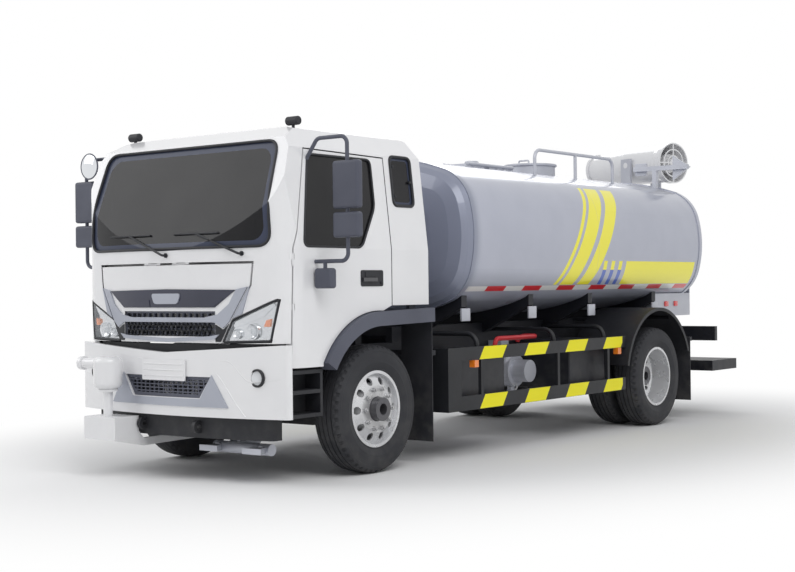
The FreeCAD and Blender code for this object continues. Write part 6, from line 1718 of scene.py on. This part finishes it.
@dataclass
class Front(Assembly):
    """Trim on the lifting front flap: dark strip, silver wings, grille bar and honeycomb."""

    strip: Sheet = Sheet(
        ((-0.50, 1.318), (0.50, 1.318), (0.69, 1.448), (0.0, 1.458), (-0.69, 1.448)), -0.004, 0.012,
    )
    facet: Sheet = Sheet(((0.18, 1.324), (0.495, 1.324), (0.585, 1.382), (0.19, 1.376)), 0.005, 0.008)
    badge: Sheet = Sheet(
        ((-0.13, 1.345), (0.13, 1.345), (0.16, 1.425), (-0.16, 1.425)), 0.004, 0.014, 0.05, 0.03,
    )
    wings: Sheet = Sheet(
        (
            (0.50, 1.207), (0.578, 1.165), (0.634, 1.212), (0.795, 1.470), (0.70, 1.452), (0.635, 1.345),
            (0.53, 1.266), (0.40, 1.243), (-0.40, 1.243), (-0.53, 1.266), (-0.635, 1.345), (-0.70, 1.452),
            (-0.795, 1.470), (-0.634, 1.212), (-0.578, 1.165), (-0.50, 1.207),
        ), -0.002, 0.014, 0.06,
    )
    wing_tip: Sheet = Sheet(((0.812, 1.474), (0.746, 1.272), (0.664, 1.236)), -0.002, 0.012)
    cheek: Sheet = Sheet(
        ((0.506, 1.190), (0.576, 1.153), (0.628, 1.196), (0.553, 1.062), (0.506, 1.062)), -0.002, 0.008,
    )
    bar: Sheet = Sheet(
        (
            (-0.545, 1.118), (-0.50, 1.080), (0.0, 1.056), (0.50, 1.080), (0.545, 1.118), (0.46, 1.104),
            (0.0, 1.084), (-0.46, 1.104),
        ), -0.002, 0.016, 0.06,
    )
    panel: Sheet = Sheet(
        ((-0.90, 0.985), (0.0, 0.925), (0.90, 0.985), (0.90, 1.042), (-0.90, 1.042)), -0.055, 0.008,
    )
    tab_low: Point = (1.124, -0.015, 0.950)
    tab_high: Point = (1.1645, 0.015, 0.960)
    tab_y: float = 0.25
    tab_edge: float = 0.001
    cell: float = 0.026
    cell_wall: float = 0.004
    cell_depth: float = 0.016
    cell_start: Point = (1.150, -0.44, 1.123)
    cell_level: float = 1.2
    cell_limit: float = 0.46
    rows: int = 3
    columns: int = 20

    def build(self) -> None:
        """Make the trim and the honeycomb."""
        shop, looks = self.shop, self.looks
        for name, sheet, signs, body, finish in (
            ("front_strip", self.strip, (1.0,), "front_flap", looks.gloss),
            ("strip_facets", self.facet, BOTH, "front_flap", looks.gloss),
            ("badge", self.badge, (1.0,), "front_flap", looks.satin),
            ("silver_wings", self.wings, (1.0,), "front_flap", looks.satin),
            ("wing_tips", self.wing_tip, BOTH, "cab", looks.satin),
            ("grille_cheeks", self.cheek, BOTH, "front_flap", looks.plastic),
            ("grille_bar", self.bar, (1.0,), "front_flap", looks.satin),
        ):
            shop.fit(self.lay(name, sheet, self.front, signs=signs), body, finish)
        self.honeycomb()
        parts = [self.lay("nose_panel", self.panel, self.front)]
        for sign in BOTH:
            shift = Vector((0.0, sign * self.tab_y, 0.0))
            low, high = (self.at(*corner) + shift for corner in (self.tab_low, self.tab_high))
            parts.append(shop.block("tab", low, high, self.tab_edge))
        shop.fit(shop.joined("nose_panel", parts), "chassis", looks.plastic)

    def honeycomb(self) -> None:
        """Fill the upper grille with six-sided cells."""
        shop = self.shop
        start, first = self.at(*self.cell_start), self.cell_start[1]
        cell = shop.drum("cell", start, start + Vector((self.cell_depth, 0, 0)), self.cell, 6)
        with shop.shaping(cell):
            shop.pick(cell, lambda face: abs(face.normal.x) > 0.9)
            bpy.ops.mesh.inset(thickness=self.cell_wall, depth=0.0)
            bpy.ops.mesh.delete(type="FACE")
        cells = []
        across, up = self.cell * math.sqrt(3), self.cell * 1.5
        for row in range(self.rows):
            for column in range(self.columns):
                y = first + column * across + (row % 2) * across / 2
                if abs(y) > self.cell_limit:
                    continue
                x = self.front(y, self.cell_level).x - self.front(first, self.cell_level).x
                cells.append(shop.copied(cell, f"cell_{row}_{column}", (x, y - first, row * up)))
        bpy.data.objects.remove(cell)
        shop.fit(shop.joined("grille_cells", cells), "front_flap", self.looks.plastic)


@dataclass
class Headlamps(Assembly):
    """Headlamps with bowls and a projector behind a clear cover."""

    outline: tuple[Flat, ...] = (
        (0.568, 1.060), (0.972, 1.070), (1.030, 1.368), (1.012, 1.366), (0.652, 1.218),
    )
    shelf: Sheet = Sheet(
        ((0.64, 1.20), (0.66, 1.165), (0.90, 1.245), (1.000, 1.335), (0.985, 1.345)), -0.034, 0.014, 0.05,
    )
    blinker: Sheet = Sheet(
        ((0.910, 1.175), (0.958, 1.175), (0.966, 1.232), (0.930, 1.222)), -0.032, 0.016, 0.05,
    )
    rim_corner: float = 0.016
    rim_run: float = 0.05
    rim_radius: float = 0.009
    rim_back: float = 0.008
    bowl_back: float = 0.036
    bowls: tuple[Point, ...] = ((0.815, 1.140, 0.056), (0.682, 1.122, 0.036))
    bowl: tuple[Flat, ...] = (
        (-0.002, 0.0), (0.0, 0.45), (0.010, 0.8), (0.022, 1.0), (0.022, 1.1), (-0.006, 1.12),
    )
    eye: tuple[Flat, ...] = ((0.0, 0.55), (0.012, 0.5), (0.020, 0.3), (0.023, 0.0))

    def rim(self) -> bpy.types.Object:
        """The rubber round the lamp's cover.

        Returns:
            The piece.
        """
        way = filled_way(rounded_way(self.outline, self.rim_corner, 3), self.rim_run)
        back = Vector((-self.rim_back, 0, 0))
        points = [self.front(y, z) + back for y, z in way]
        return self.shop.tube("lamp_rim", points, self.rim_radius, closed=True)

    def build(self) -> None:
        """Make the left lamp and mirror it."""
        shop, looks = self.shop, self.looks
        back = self.lay("lamp_back", Sheet(self.outline, -0.0455, 0.0115, 0.05), self.front)
        parts = [
            shop.paint(back, looks.chrome), shop.paint(self.rim(), looks.plastic),
            shop.paint(self.lay("lamp_shelf", self.shelf, self.front), looks.chrome),
        ]
        for y, z, radius in self.bowls:
            spot = self.front(y, z) + Vector((-self.bowl_back, 0, 0))
            for name, profile, finish in (("bowl", self.bowl, looks.chrome), ("eye", self.eye, looks.bulb)):
                points = [(along, radius * share) for along, share in profile]
                parts.append(shop.paint(shop.turned(name, points, spot, Axis.X, 32), finish))
        parts.append(shop.paint(self.lay("lamp_turn", self.blinker, self.front), looks.amber))
        left = shop.joined("headlamp_left", parts)
        right = shop.mirrored(left, "headlamp_right")
        cover = self.lay("lamp_cover_left", Sheet(self.outline, -0.008, 0.004, 0.04), self.front)
        shop.paint(cover, looks.cover)
        other = shop.mirrored(cover, "lamp_cover_right")
        shop.fit(left, "cab", looks.bulb, "headlamps", keep=True)
        shop.fit(right, "cab", looks.bulb, keep=True)
        shop.fit(cover, "cab", looks.cover)
        shop.fit(other, "cab", looks.cover)


@dataclass
class BumperTrim(Assembly):
    """Blank plate holder, intake trim, creases and the rings of the fog lamps."""

    intake: Sheet = Sheet(
        (
            (-0.485, 0.815), (-0.374, 0.634), (0.374, 0.634), (0.485, 0.815), (0.635, 0.575),
            (-0.635, 0.575),
        ), -0.002, 0.010, 0.06,
    )
    holder: Sheet = Sheet(
        ((-0.235, 0.765), (0.235, 0.765), (0.235, 0.925), (-0.235, 0.925)), 0.0, 0.0105, 0.5, 0.012, 3,
    )
    holder_x: float = 1.2135
    rib_low: Point = (1.222, -0.215, 0.0)
    rib_high: Point = (1.228, 0.215, 0.010)
    rib_edge: float = 0.002
    ribs: tuple[float, ...] = (0.795, 0.840, 0.885)
    creases: tuple[tuple[Flat, ...], ...] = (
        ((0.25, 0.925), (0.60, 0.925), (0.66, 0.915), (0.78, 0.780), (0.85, 0.765), (1.06, 0.790)),
        ((0.52, 0.830), (0.56, 0.800), (0.70, 0.600), (0.78, 0.512)),
    )
    crease_radius: float = 0.004
    crease_back: float = 0.0015
    fog_ring: tuple[Flat, ...] = (
        (-0.010, 0.050), (0.006, 0.052), (0.010, 0.058), (0.008, 0.066), (-0.010, 0.070),
    )
    fog_spot: Flat = (0.88, 0.80)

    def build(self) -> None:
        """Make the bumper's trim."""
        shop, looks = self.shop, self.looks
        shop.fit(self.lay("intake_trim", self.intake, self.bumper), "chassis", looks.satin)
        parts = [self.lay("plate_holder", self.holder, lambda y, z: self.at(self.holder_x, y, z))]
        for z in self.ribs:
            low, high = (self.at(*corner) + Vector((0.0, 0.0, z)) for corner in (self.rib_low, self.rib_high))
            parts.append(shop.block("rib", low, high, self.rib_edge))
        shop.fit(shop.joined("plate_holder", parts), "chassis", looks.white)
        back = Vector((self.crease_back, 0, 0))
        creases = [
            shop.tube("crease", [self.bumper(sign * y, z) - back for y, z in way], self.crease_radius)
            for sign in BOTH for way in self.creases
        ]
        shop.fit(shop.joined("bumper_creases", creases), "chassis", looks.white)
        rings = []
        for sign in BOTH:
            spot = self.bumper(*self.fog_spot)
            spot.y *= sign
            rings.append(shop.turned("fog_ring", self.fog_ring, spot, Axis.X, 36))
        shop.fit(shop.joined("fog_rings", rings), "chassis", looks.plastic)


@dataclass
class Doors(Assembly):
    """Handle plates on the doors, mirror faces and the round front mirror."""

    plate: Sheet = Sheet(
        ((-0.06, 1.462), (0.215, 1.462), (0.215, 1.588), (-0.06, 1.588)), -0.001, 0.006, 0.5, 0.018, 3,
    )
    cup: Sheet = Sheet(
        ((-0.01, 1.535), (0.165, 1.535), (0.165, 1.577), (-0.01, 1.577)), 0.003, 0.006, 0.5, 0.012, 3,
    )
    lock: Flat = (-0.035, 1.490)
    lock_foot: float = 0.002
    lock_face: float = 0.012
    lock_radius: float = 0.012
    lock_edge: float = 0.003
    mirrors: tuple[tuple[float, float, float, float], ...] = (
        (1.446, 0.108, 2.048, 2.362), (1.446, 0.108, 1.838, 1.988), (1.225, 0.070, 1.466, 1.584),
    )
    mirror_x: float = 0.7055
    mirror_thick: float = 0.003
    mirror_corner: float = 0.03
    dish_spot: Point = (0.80, -1.33, 2.50)
    dish: tuple[Flat, ...] = (
        (-0.020, 0.0), (-0.018, 0.070), (-0.004, 0.105), (0.006, 0.112), (0.012, 0.106), (0.010, 0.100),
    )
    dish_glass: tuple[Flat, ...] = ((0.009, 0.101), (0.017, 0.080), (0.023, 0.045), (0.025, 0.0))
    stalk: tuple[Point, ...] = ((0.742, -1.34, 2.556), (0.765, -1.335, 2.54), (0.785, -1.33, 2.505))
    stalk_radius: float = 0.009

    def handle(self, side: str, sign: float) -> None:
        """Make the plate, cup and lock of one door's handle.

        Args:
            side: which door.
            sign: 1 on the left, -1 on the right.
        """
        shop, surface, out = self.shop, self.flank(sign), (0.0, sign, 0.0)
        spot, way = surface(*self.lock), Vector(out)
        parts = [
            self.lay("plate", self.plate, surface, out), self.lay("cup", self.cup, surface, out),
            shop.drum(
                "lock", spot + way * self.lock_foot, spot + way * self.lock_face, self.lock_radius, 16,
                self.lock_edge,
            ),
        ]
        shop.fit(shop.joined(f"handle_plate_{side}", parts), f"door_{side}", self.looks.plastic)

    def glasses(self, side: str, sign: float) -> None:
        """Make the glasses of one door's mirrors.

        Args:
            side: which door.
            sign: 1 on the left, -1 on the right.
        """
        faces = []
        for middle, half, low, high in self.mirrors:
            left, right = middle - half, middle + half
            corners = [(left, low), (right, low), (right, high), (left, high)]
            way = rounded_way(corners, self.mirror_corner, 4)
            outline = [self.at(self.mirror_x, sign * y, z) for y, z in way]
            faces.append(self.shop.plate("face", outline, (-self.mirror_thick, 0.0, 0.0)))
        piece = self.shop.joined(f"mirror_faces_{side}", faces)
        self.shop.fit(piece, f"door_{side}", self.looks.mirror)

    def build(self) -> None:
        """Dress both doors."""
        for side, sign in SIDES:
            self.handle(side, sign)
            self.glasses(side, sign)
        self.round_mirror()

    def round_mirror(self) -> None:
        """The convex mirror over the right front corner, on its own stalk."""
        shop, looks, spot = self.shop, self.looks, self.at(*self.dish_spot)
        stalk = shop.tube("stalk", [self.at(*point) for point in self.stalk], self.stalk_radius)
        parts = [
            shop.paint(shop.turned("dish", self.dish, spot, Axis.X, 40), looks.grey),
            shop.paint(shop.turned("dish_glass", self.dish_glass, spot, Axis.X, 40), looks.mirror),
            shop.paint(stalk, looks.plastic),
        ]
        shop.fit(shop.joined("round_mirror", parts), "door_right", looks.mirror, keep=True)


@dataclass
class Seats(Assembly):
    """Padded seats in place of the plain ones."""

    floor: float = 1.3503
    base: float = 0.33
    cushion: float = 0.12
    back: float = 0.62
    front_edge: float = 0.330
    cushion_reach: float = 0.475
    rest_reach: tuple[float, float] = (0.535, 0.425)
    head_reach: tuple[float, float] = (0.520, 0.415)
    head_rise: tuple[float, float] = (0.53, 0.67)
    head_half: float = 0.12
    gap: float = 0.01
    lift: float = 0.004
    crown: float = 0.016
    head_crown: float = 0.010
    plinth_reach: tuple[float, float] = (0.44, 0.04)
    plinth_gap: float = 0.045
    plinth_rise: float = 0.012
    places: tuple[tuple[str, float, float], ...] = (
        ("driver", 0.61, 0.50), ("middle", 0.0, 0.42), ("passenger", -0.61, 0.50),
    )
    channel: float = 0.5
    channel_half: float = 0.07
    channel_depth: float = 0.9
    channel_end: float = 0.62
    shrink: float = 0.97
    cuts: int = 9
    face_from: float = 0.8
    smooth_angle: float = 80.0

    def pad(self, name: str, low: Point, high: Point, crown: float) -> bpy.types.Object:
        """One crowned pad with sewn channels.

        Args:
            name: its name.
            low: lowest corner.
            high: highest corner.
            crown: how far its faces swell.

        Returns:
            The piece.
        """
        shop = self.shop
        shop.clear()
        a, b = Vector(low), Vector(high)
        bpy.ops.mesh.primitive_cube_add(size=1.0, location=(a + b) / 2, scale=(b - a) * self.shrink)
        pad = shop.settle(name)
        with shop.shaping(pad):
            bpy.ops.mesh.subdivide(number_cuts=self.cuts)
        middle, half = (a + b) / 2, (b - a) / 2
        for vertex in pad.data.vertices:
            spot = vertex.co - middle
            share = [spot[i] / half[i] for i in range(3)]
            for index in range(3):
                others = [abs(share[other]) for other in range(3) if other != index]
                pull = (1 - others[0] ** 4) * (1 - others[1] ** 4)
                swell = math.copysign(min(abs(share[index]) ** 3, 1.0), share[index])
                vertex.co[index] += swell * crown * pull
            if abs(share[1]) < self.channel_end and max(abs(share[0]), abs(share[2])) > self.face_from:
                groove = max(0.0, 1 - abs(abs(share[1]) - self.channel) / self.channel_half)
                inward = Vector((share[0], 0.0, share[2])).normalized()
                vertex.co -= inward * groove * crown * self.channel_depth
        shop.hold(pad)
        round_off = pad.modifiers.new("round", "SUBSURF")
        round_off.levels = round_off.render_levels = 1
        bpy.ops.object.modifier_apply(modifier="round")
        return shop.smooth(pad, self.smooth_angle)

    def build(self) -> None:
        """Make the driver's, the middle and the passenger's seat."""
        shop, edge = self.shop, self.front_edge
        top = self.floor + self.base
        foot = top + self.cushion / 2
        pads, plinths = [], []
        for name, y, width in self.places:
            left, right = y - width / 2 + self.gap, y + width / 2 - self.gap
            pads += [
                self.pad(
                    f"cushion_{name}", self.at(edge - self.cushion_reach, left, top + self.lift),
                    self.at(edge, right, top + self.cushion - self.lift), self.crown,
                ),
                self.pad(
                    f"back_{name}", self.at(edge - self.rest_reach[0], left, foot + self.gap),
                    self.at(edge - self.rest_reach[1], right, foot + self.back - self.gap), self.crown,
                ),
                self.pad(
                    f"head_{name}",
                    self.at(edge - self.head_reach[0], y - self.head_half, top + self.head_rise[0]),
                    self.at(edge - self.head_reach[1], y + self.head_half, top + self.head_rise[1]),
                    self.head_crown,
                ),
            ]
            inner = width / 2 - self.plinth_gap
            plinths.append(shop.block(
                f"plinth_{name}", self.at(edge - self.plinth_reach[0], y - inner, self.floor),
                self.at(edge - self.plinth_reach[1], y + inner, top + self.plinth_rise), self.plinth_rise,
            ))
        seats = shop.fit(shop.joined("seat_pads", pads), "cab", self.looks.cloth, "seats")
        shop.fit(shop.joined("seat_plinths", plinths), "cab", self.looks.plastic)


@dataclass
class TankTrim(Assembly):
    """Caps on the saddles, a red bar behind the guards and reflectors on the cabinet."""

    caps: tuple[float, ...] = (-1.42, -2.50, -3.59, -4.93)
    cap_half: float = 0.065
    cap_y: Flat = (0.951, 0.972)
    cap_z: Flat = (1.150, 1.262)
    cap_edge: float = 0.006
    bar: tuple[Point, ...] = (
        (-1.80, 1.01, 0.898), (-1.80, 1.01, 0.985), (-1.90, 1.03, 0.985), (-2.40, 1.03, 0.985),
        (-2.50, 1.00, 0.985), (-2.52, 0.80, 0.985), (-2.52, 0.78, 0.933),
    )
    bar_radius: float = 0.022
    reflectors: tuple[Point, ...] = ((-5.30, 0.9303, 1.21), (-5.52, 0.9303, 1.21))
    reflector_size: Point = (0.085, 0.012, 0.055)
    reflector_edge: float = 0.005

    def build(self) -> None:
        """Make the tank's small pieces."""
        shop, looks = self.shop, self.looks
        caps = []
        for x in self.caps:
            for sign in BOTH:
                low, high = sorted(sign * y for y in self.cap_y)
                caps.append(shop.block(
                    "cap", self.at(x - self.cap_half, low, self.cap_z[0]),
                    self.at(x + self.cap_half, high, self.cap_z[1]), self.cap_edge,
                ))
        shop.fit(shop.joined("saddle_caps", caps), "chassis", looks.silver)
        bar = shop.tube("tool_bar", [self.at(*spot) for spot in self.bar], self.bar_radius)
        shop.fit(bar, "chassis", looks.tool)
        lenses = []
        for spot in self.reflectors:
            low = self.at(*spot)
            high = low + Vector(self.reflector_size)
            lenses.append(shop.block("reflector", low, high, self.reflector_edge))
        others = [shop.mirrored(lens, "reflector_right") for lens in lenses]
        # The reflectors' red finish carries a faint painted glow.
        shop.fit(shop.joined("cabinet_reflectors", lenses + others), "chassis", looks.red)


def dress_nodes(looks: Finishes) -> None:
    """Give every CAD node that stays its finish.

    Args:
        looks: all finishes.
    """
    for name, finish in looks.by_node().items():
        node = FRAME["nodes"][name]
        node.data.materials.clear()
        node.data.materials.append(finish.make())


@dataclass
class Studio:
    """Camera, floor, lamps and background."""

    axle: float
    soft_light: float = 0.50
    key_power: float = 520.0
    fill_power: float = 215.0
    back_power: float = 220.0
    spot: Point = (8.573, 7.9739, 1.458)
    yaw: float = 217.8115
    pitch: float = 0.0233
    roll: float = -0.6653
    focal_pixels: float = 1403.3068
    image_width: float = 795.0
    sensor: float = 36.0
    floor_radius: float = 60.0
    floor_drop: float = 0.002
    floor_colour: Colour = (0.93, 0.93, 0.93)
    fade: Flat = (2.2, 5.0)
    fade_stretch: float = 0.45
    soft_colour: Colour = (0.97, 0.98, 1.0)
    middle: Point = (-3.0, 0.0, 1.2)
    cab: Point = (0.0, 0.0, 1.2)
    key: Point = (4.0, 8.5, 9.5)
    fill: Point = (5.5, -6.5, 6.5)
    back: Point = (-11.0, -5.0, 8.0)
    key_size: float = 7.0
    fill_size: float = 6.0

    def camera(self) -> None:
        """Stand the camera where the photograph was taken from."""
        yaw, pitch, roll = (math.radians(a) for a in (self.yaw, self.pitch, self.roll))
        ahead = Vector((math.cos(pitch) * math.cos(yaw), math.cos(pitch) * math.sin(yaw), math.sin(pitch)))
        right = Vector((math.sin(yaw), -math.cos(yaw), 0.0))
        up = right.cross(ahead)
        side = right * math.cos(roll) + up * math.sin(roll)
        top = up * math.cos(roll) - right * math.sin(roll)
        lens = bpy.data.cameras.new("Camera")
        lens.sensor_width = self.sensor
        lens.lens = self.focal_pixels * self.sensor / self.image_width
        lens.clip_end = 400.0
        camera = bpy.data.objects.new("Camera", lens)
        bpy.context.scene.collection.objects.link(camera)
        turn = Matrix((side, top, -ahead)).transposed().to_4x4()
        camera.matrix_world = Matrix.Translation(Vector(self.spot) + Vector((self.axle, 0, 0))) @ turn
        bpy.context.scene.camera = camera

    def lamp(self, name: str, place: Point, target: Point, size: float, power: float) -> None:
        """Hang one soft square lamp.

        Args:
            name: its name.
            place: where it hangs, from the front axle.
            target: what it points at, from the front axle.
            size: its side.
            power: its power in watts.
        """
        light = bpy.data.lights.new(name, "AREA")
        light.size = size
        light.energy = power
        lamp = bpy.data.objects.new(name, light)
        bpy.context.scene.collection.objects.link(lamp)
        ahead = Vector(target) - Vector(place)
        lamp.location = Vector(place) + Vector((self.axle, 0.0, 0.0))
        lamp.rotation_euler = ahead.to_track_quat("-Z", "Y").to_euler()

    def world(self) -> None:
        """White where it is seen or mirrored, and a plain soft light otherwise."""
        shader = Shader(bpy.data.worlds.new("studio"))
        rays = shader.node("ShaderNodeLightPath").outputs
        camera, glossy, through = (
            Value(shader, rays[f"Is {kind} Ray"]) for kind in ("Camera", "Glossy", "Transmission")
        )
        soft = {"Color": self.soft_colour, "Strength": self.soft_light}
        white = {"Color": WHITE, "Strength": 1.0}
        both = shader.node("ShaderNodeMixShader", None, {
            "Fac": (camera + glossy + through).smaller(1.0),
            "Shader": shader.node("ShaderNodeBackground", None, soft).outputs[0],
            "Shader_001": shader.node("ShaderNodeBackground", None, white).outputs[0],
        })
        shader.node("ShaderNodeOutputWorld", None, {"Surface": both.outputs[0]})
        bpy.context.scene.world = shader.owner

    def floor(self) -> None:
        """Lay a pale round floor that turns white far off, where the camera sees it."""
        bpy.ops.object.select_all(action="DESELECT")
        bpy.ops.mesh.primitive_circle_add(vertices=96, radius=self.floor_radius, fill_type="NGON")
        floor = bpy.context.object
        floor.name = "floor"
        floor.location.z = -self.floor_drop
        shader = Shader(bpy.data.materials.new("floor_pale"))
        x, y, _ = shader.place()
        far = (x * x * self.fade_stretch + y * y).root().ramp(*self.fade)
        path = shader.node("ShaderNodeLightPath")
        seen = Value(shader, path.outputs["Is Camera Ray"]) + Value(shader, path.outputs["Is Glossy Ray"])
        pale = shader.node("ShaderNodeBsdfDiffuse", None, {"Color": self.floor_colour})
        glow = shader.node("ShaderNodeEmission", None, {"Color": WHITE, "Strength": 1.0})
        both = shader.node("ShaderNodeMixShader", None, {
            "Fac": far * seen.smaller(1.0), "Shader": pale.outputs[0], "Shader_001": glow.outputs[0],
        })
        shader.node("ShaderNodeOutputMaterial", None, {"Surface": both.outputs[0]})
        floor.data.materials.append(shader.owner)

    def build(self) -> None:
        """Set the whole studio up."""
        bpy.context.scene.view_settings.view_transform = "Standard"
        self.camera()
        self.world()
        self.floor()
        self.lamp("key", self.key, self.middle, self.key_size, self.key_power)
        self.lamp("fill", self.fill, self.cab, self.fill_size, self.fill_power)
        self.lamp("back", self.back, self.middle, self.fill_size, self.back_power)


def main() -> None:
    """Dress the truck, build its fine pieces and set the studio."""
    logging.basicConfig(level=logging.INFO, format="%(name)s: %(message)s")
    low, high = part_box("tyre_front_left")
    axle = (low.x + high.x) / 2
    low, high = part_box("tyre_rear_left")
    rear = (low.x + high.x) / 2
    looks = Finishes(axle, rear)
    dress_nodes(looks)
    shop = Workshop()
    for kind in (Tyres, WheelTrim, Windows, Front, Headlamps, BumperTrim, Doors, Seats, TankTrim):
        LOG.info("building %s", kind.__name__)
        kind(shop, looks, axle, rear).build()
    Studio(axle).build()


if __name__ == "__main__":
    main()
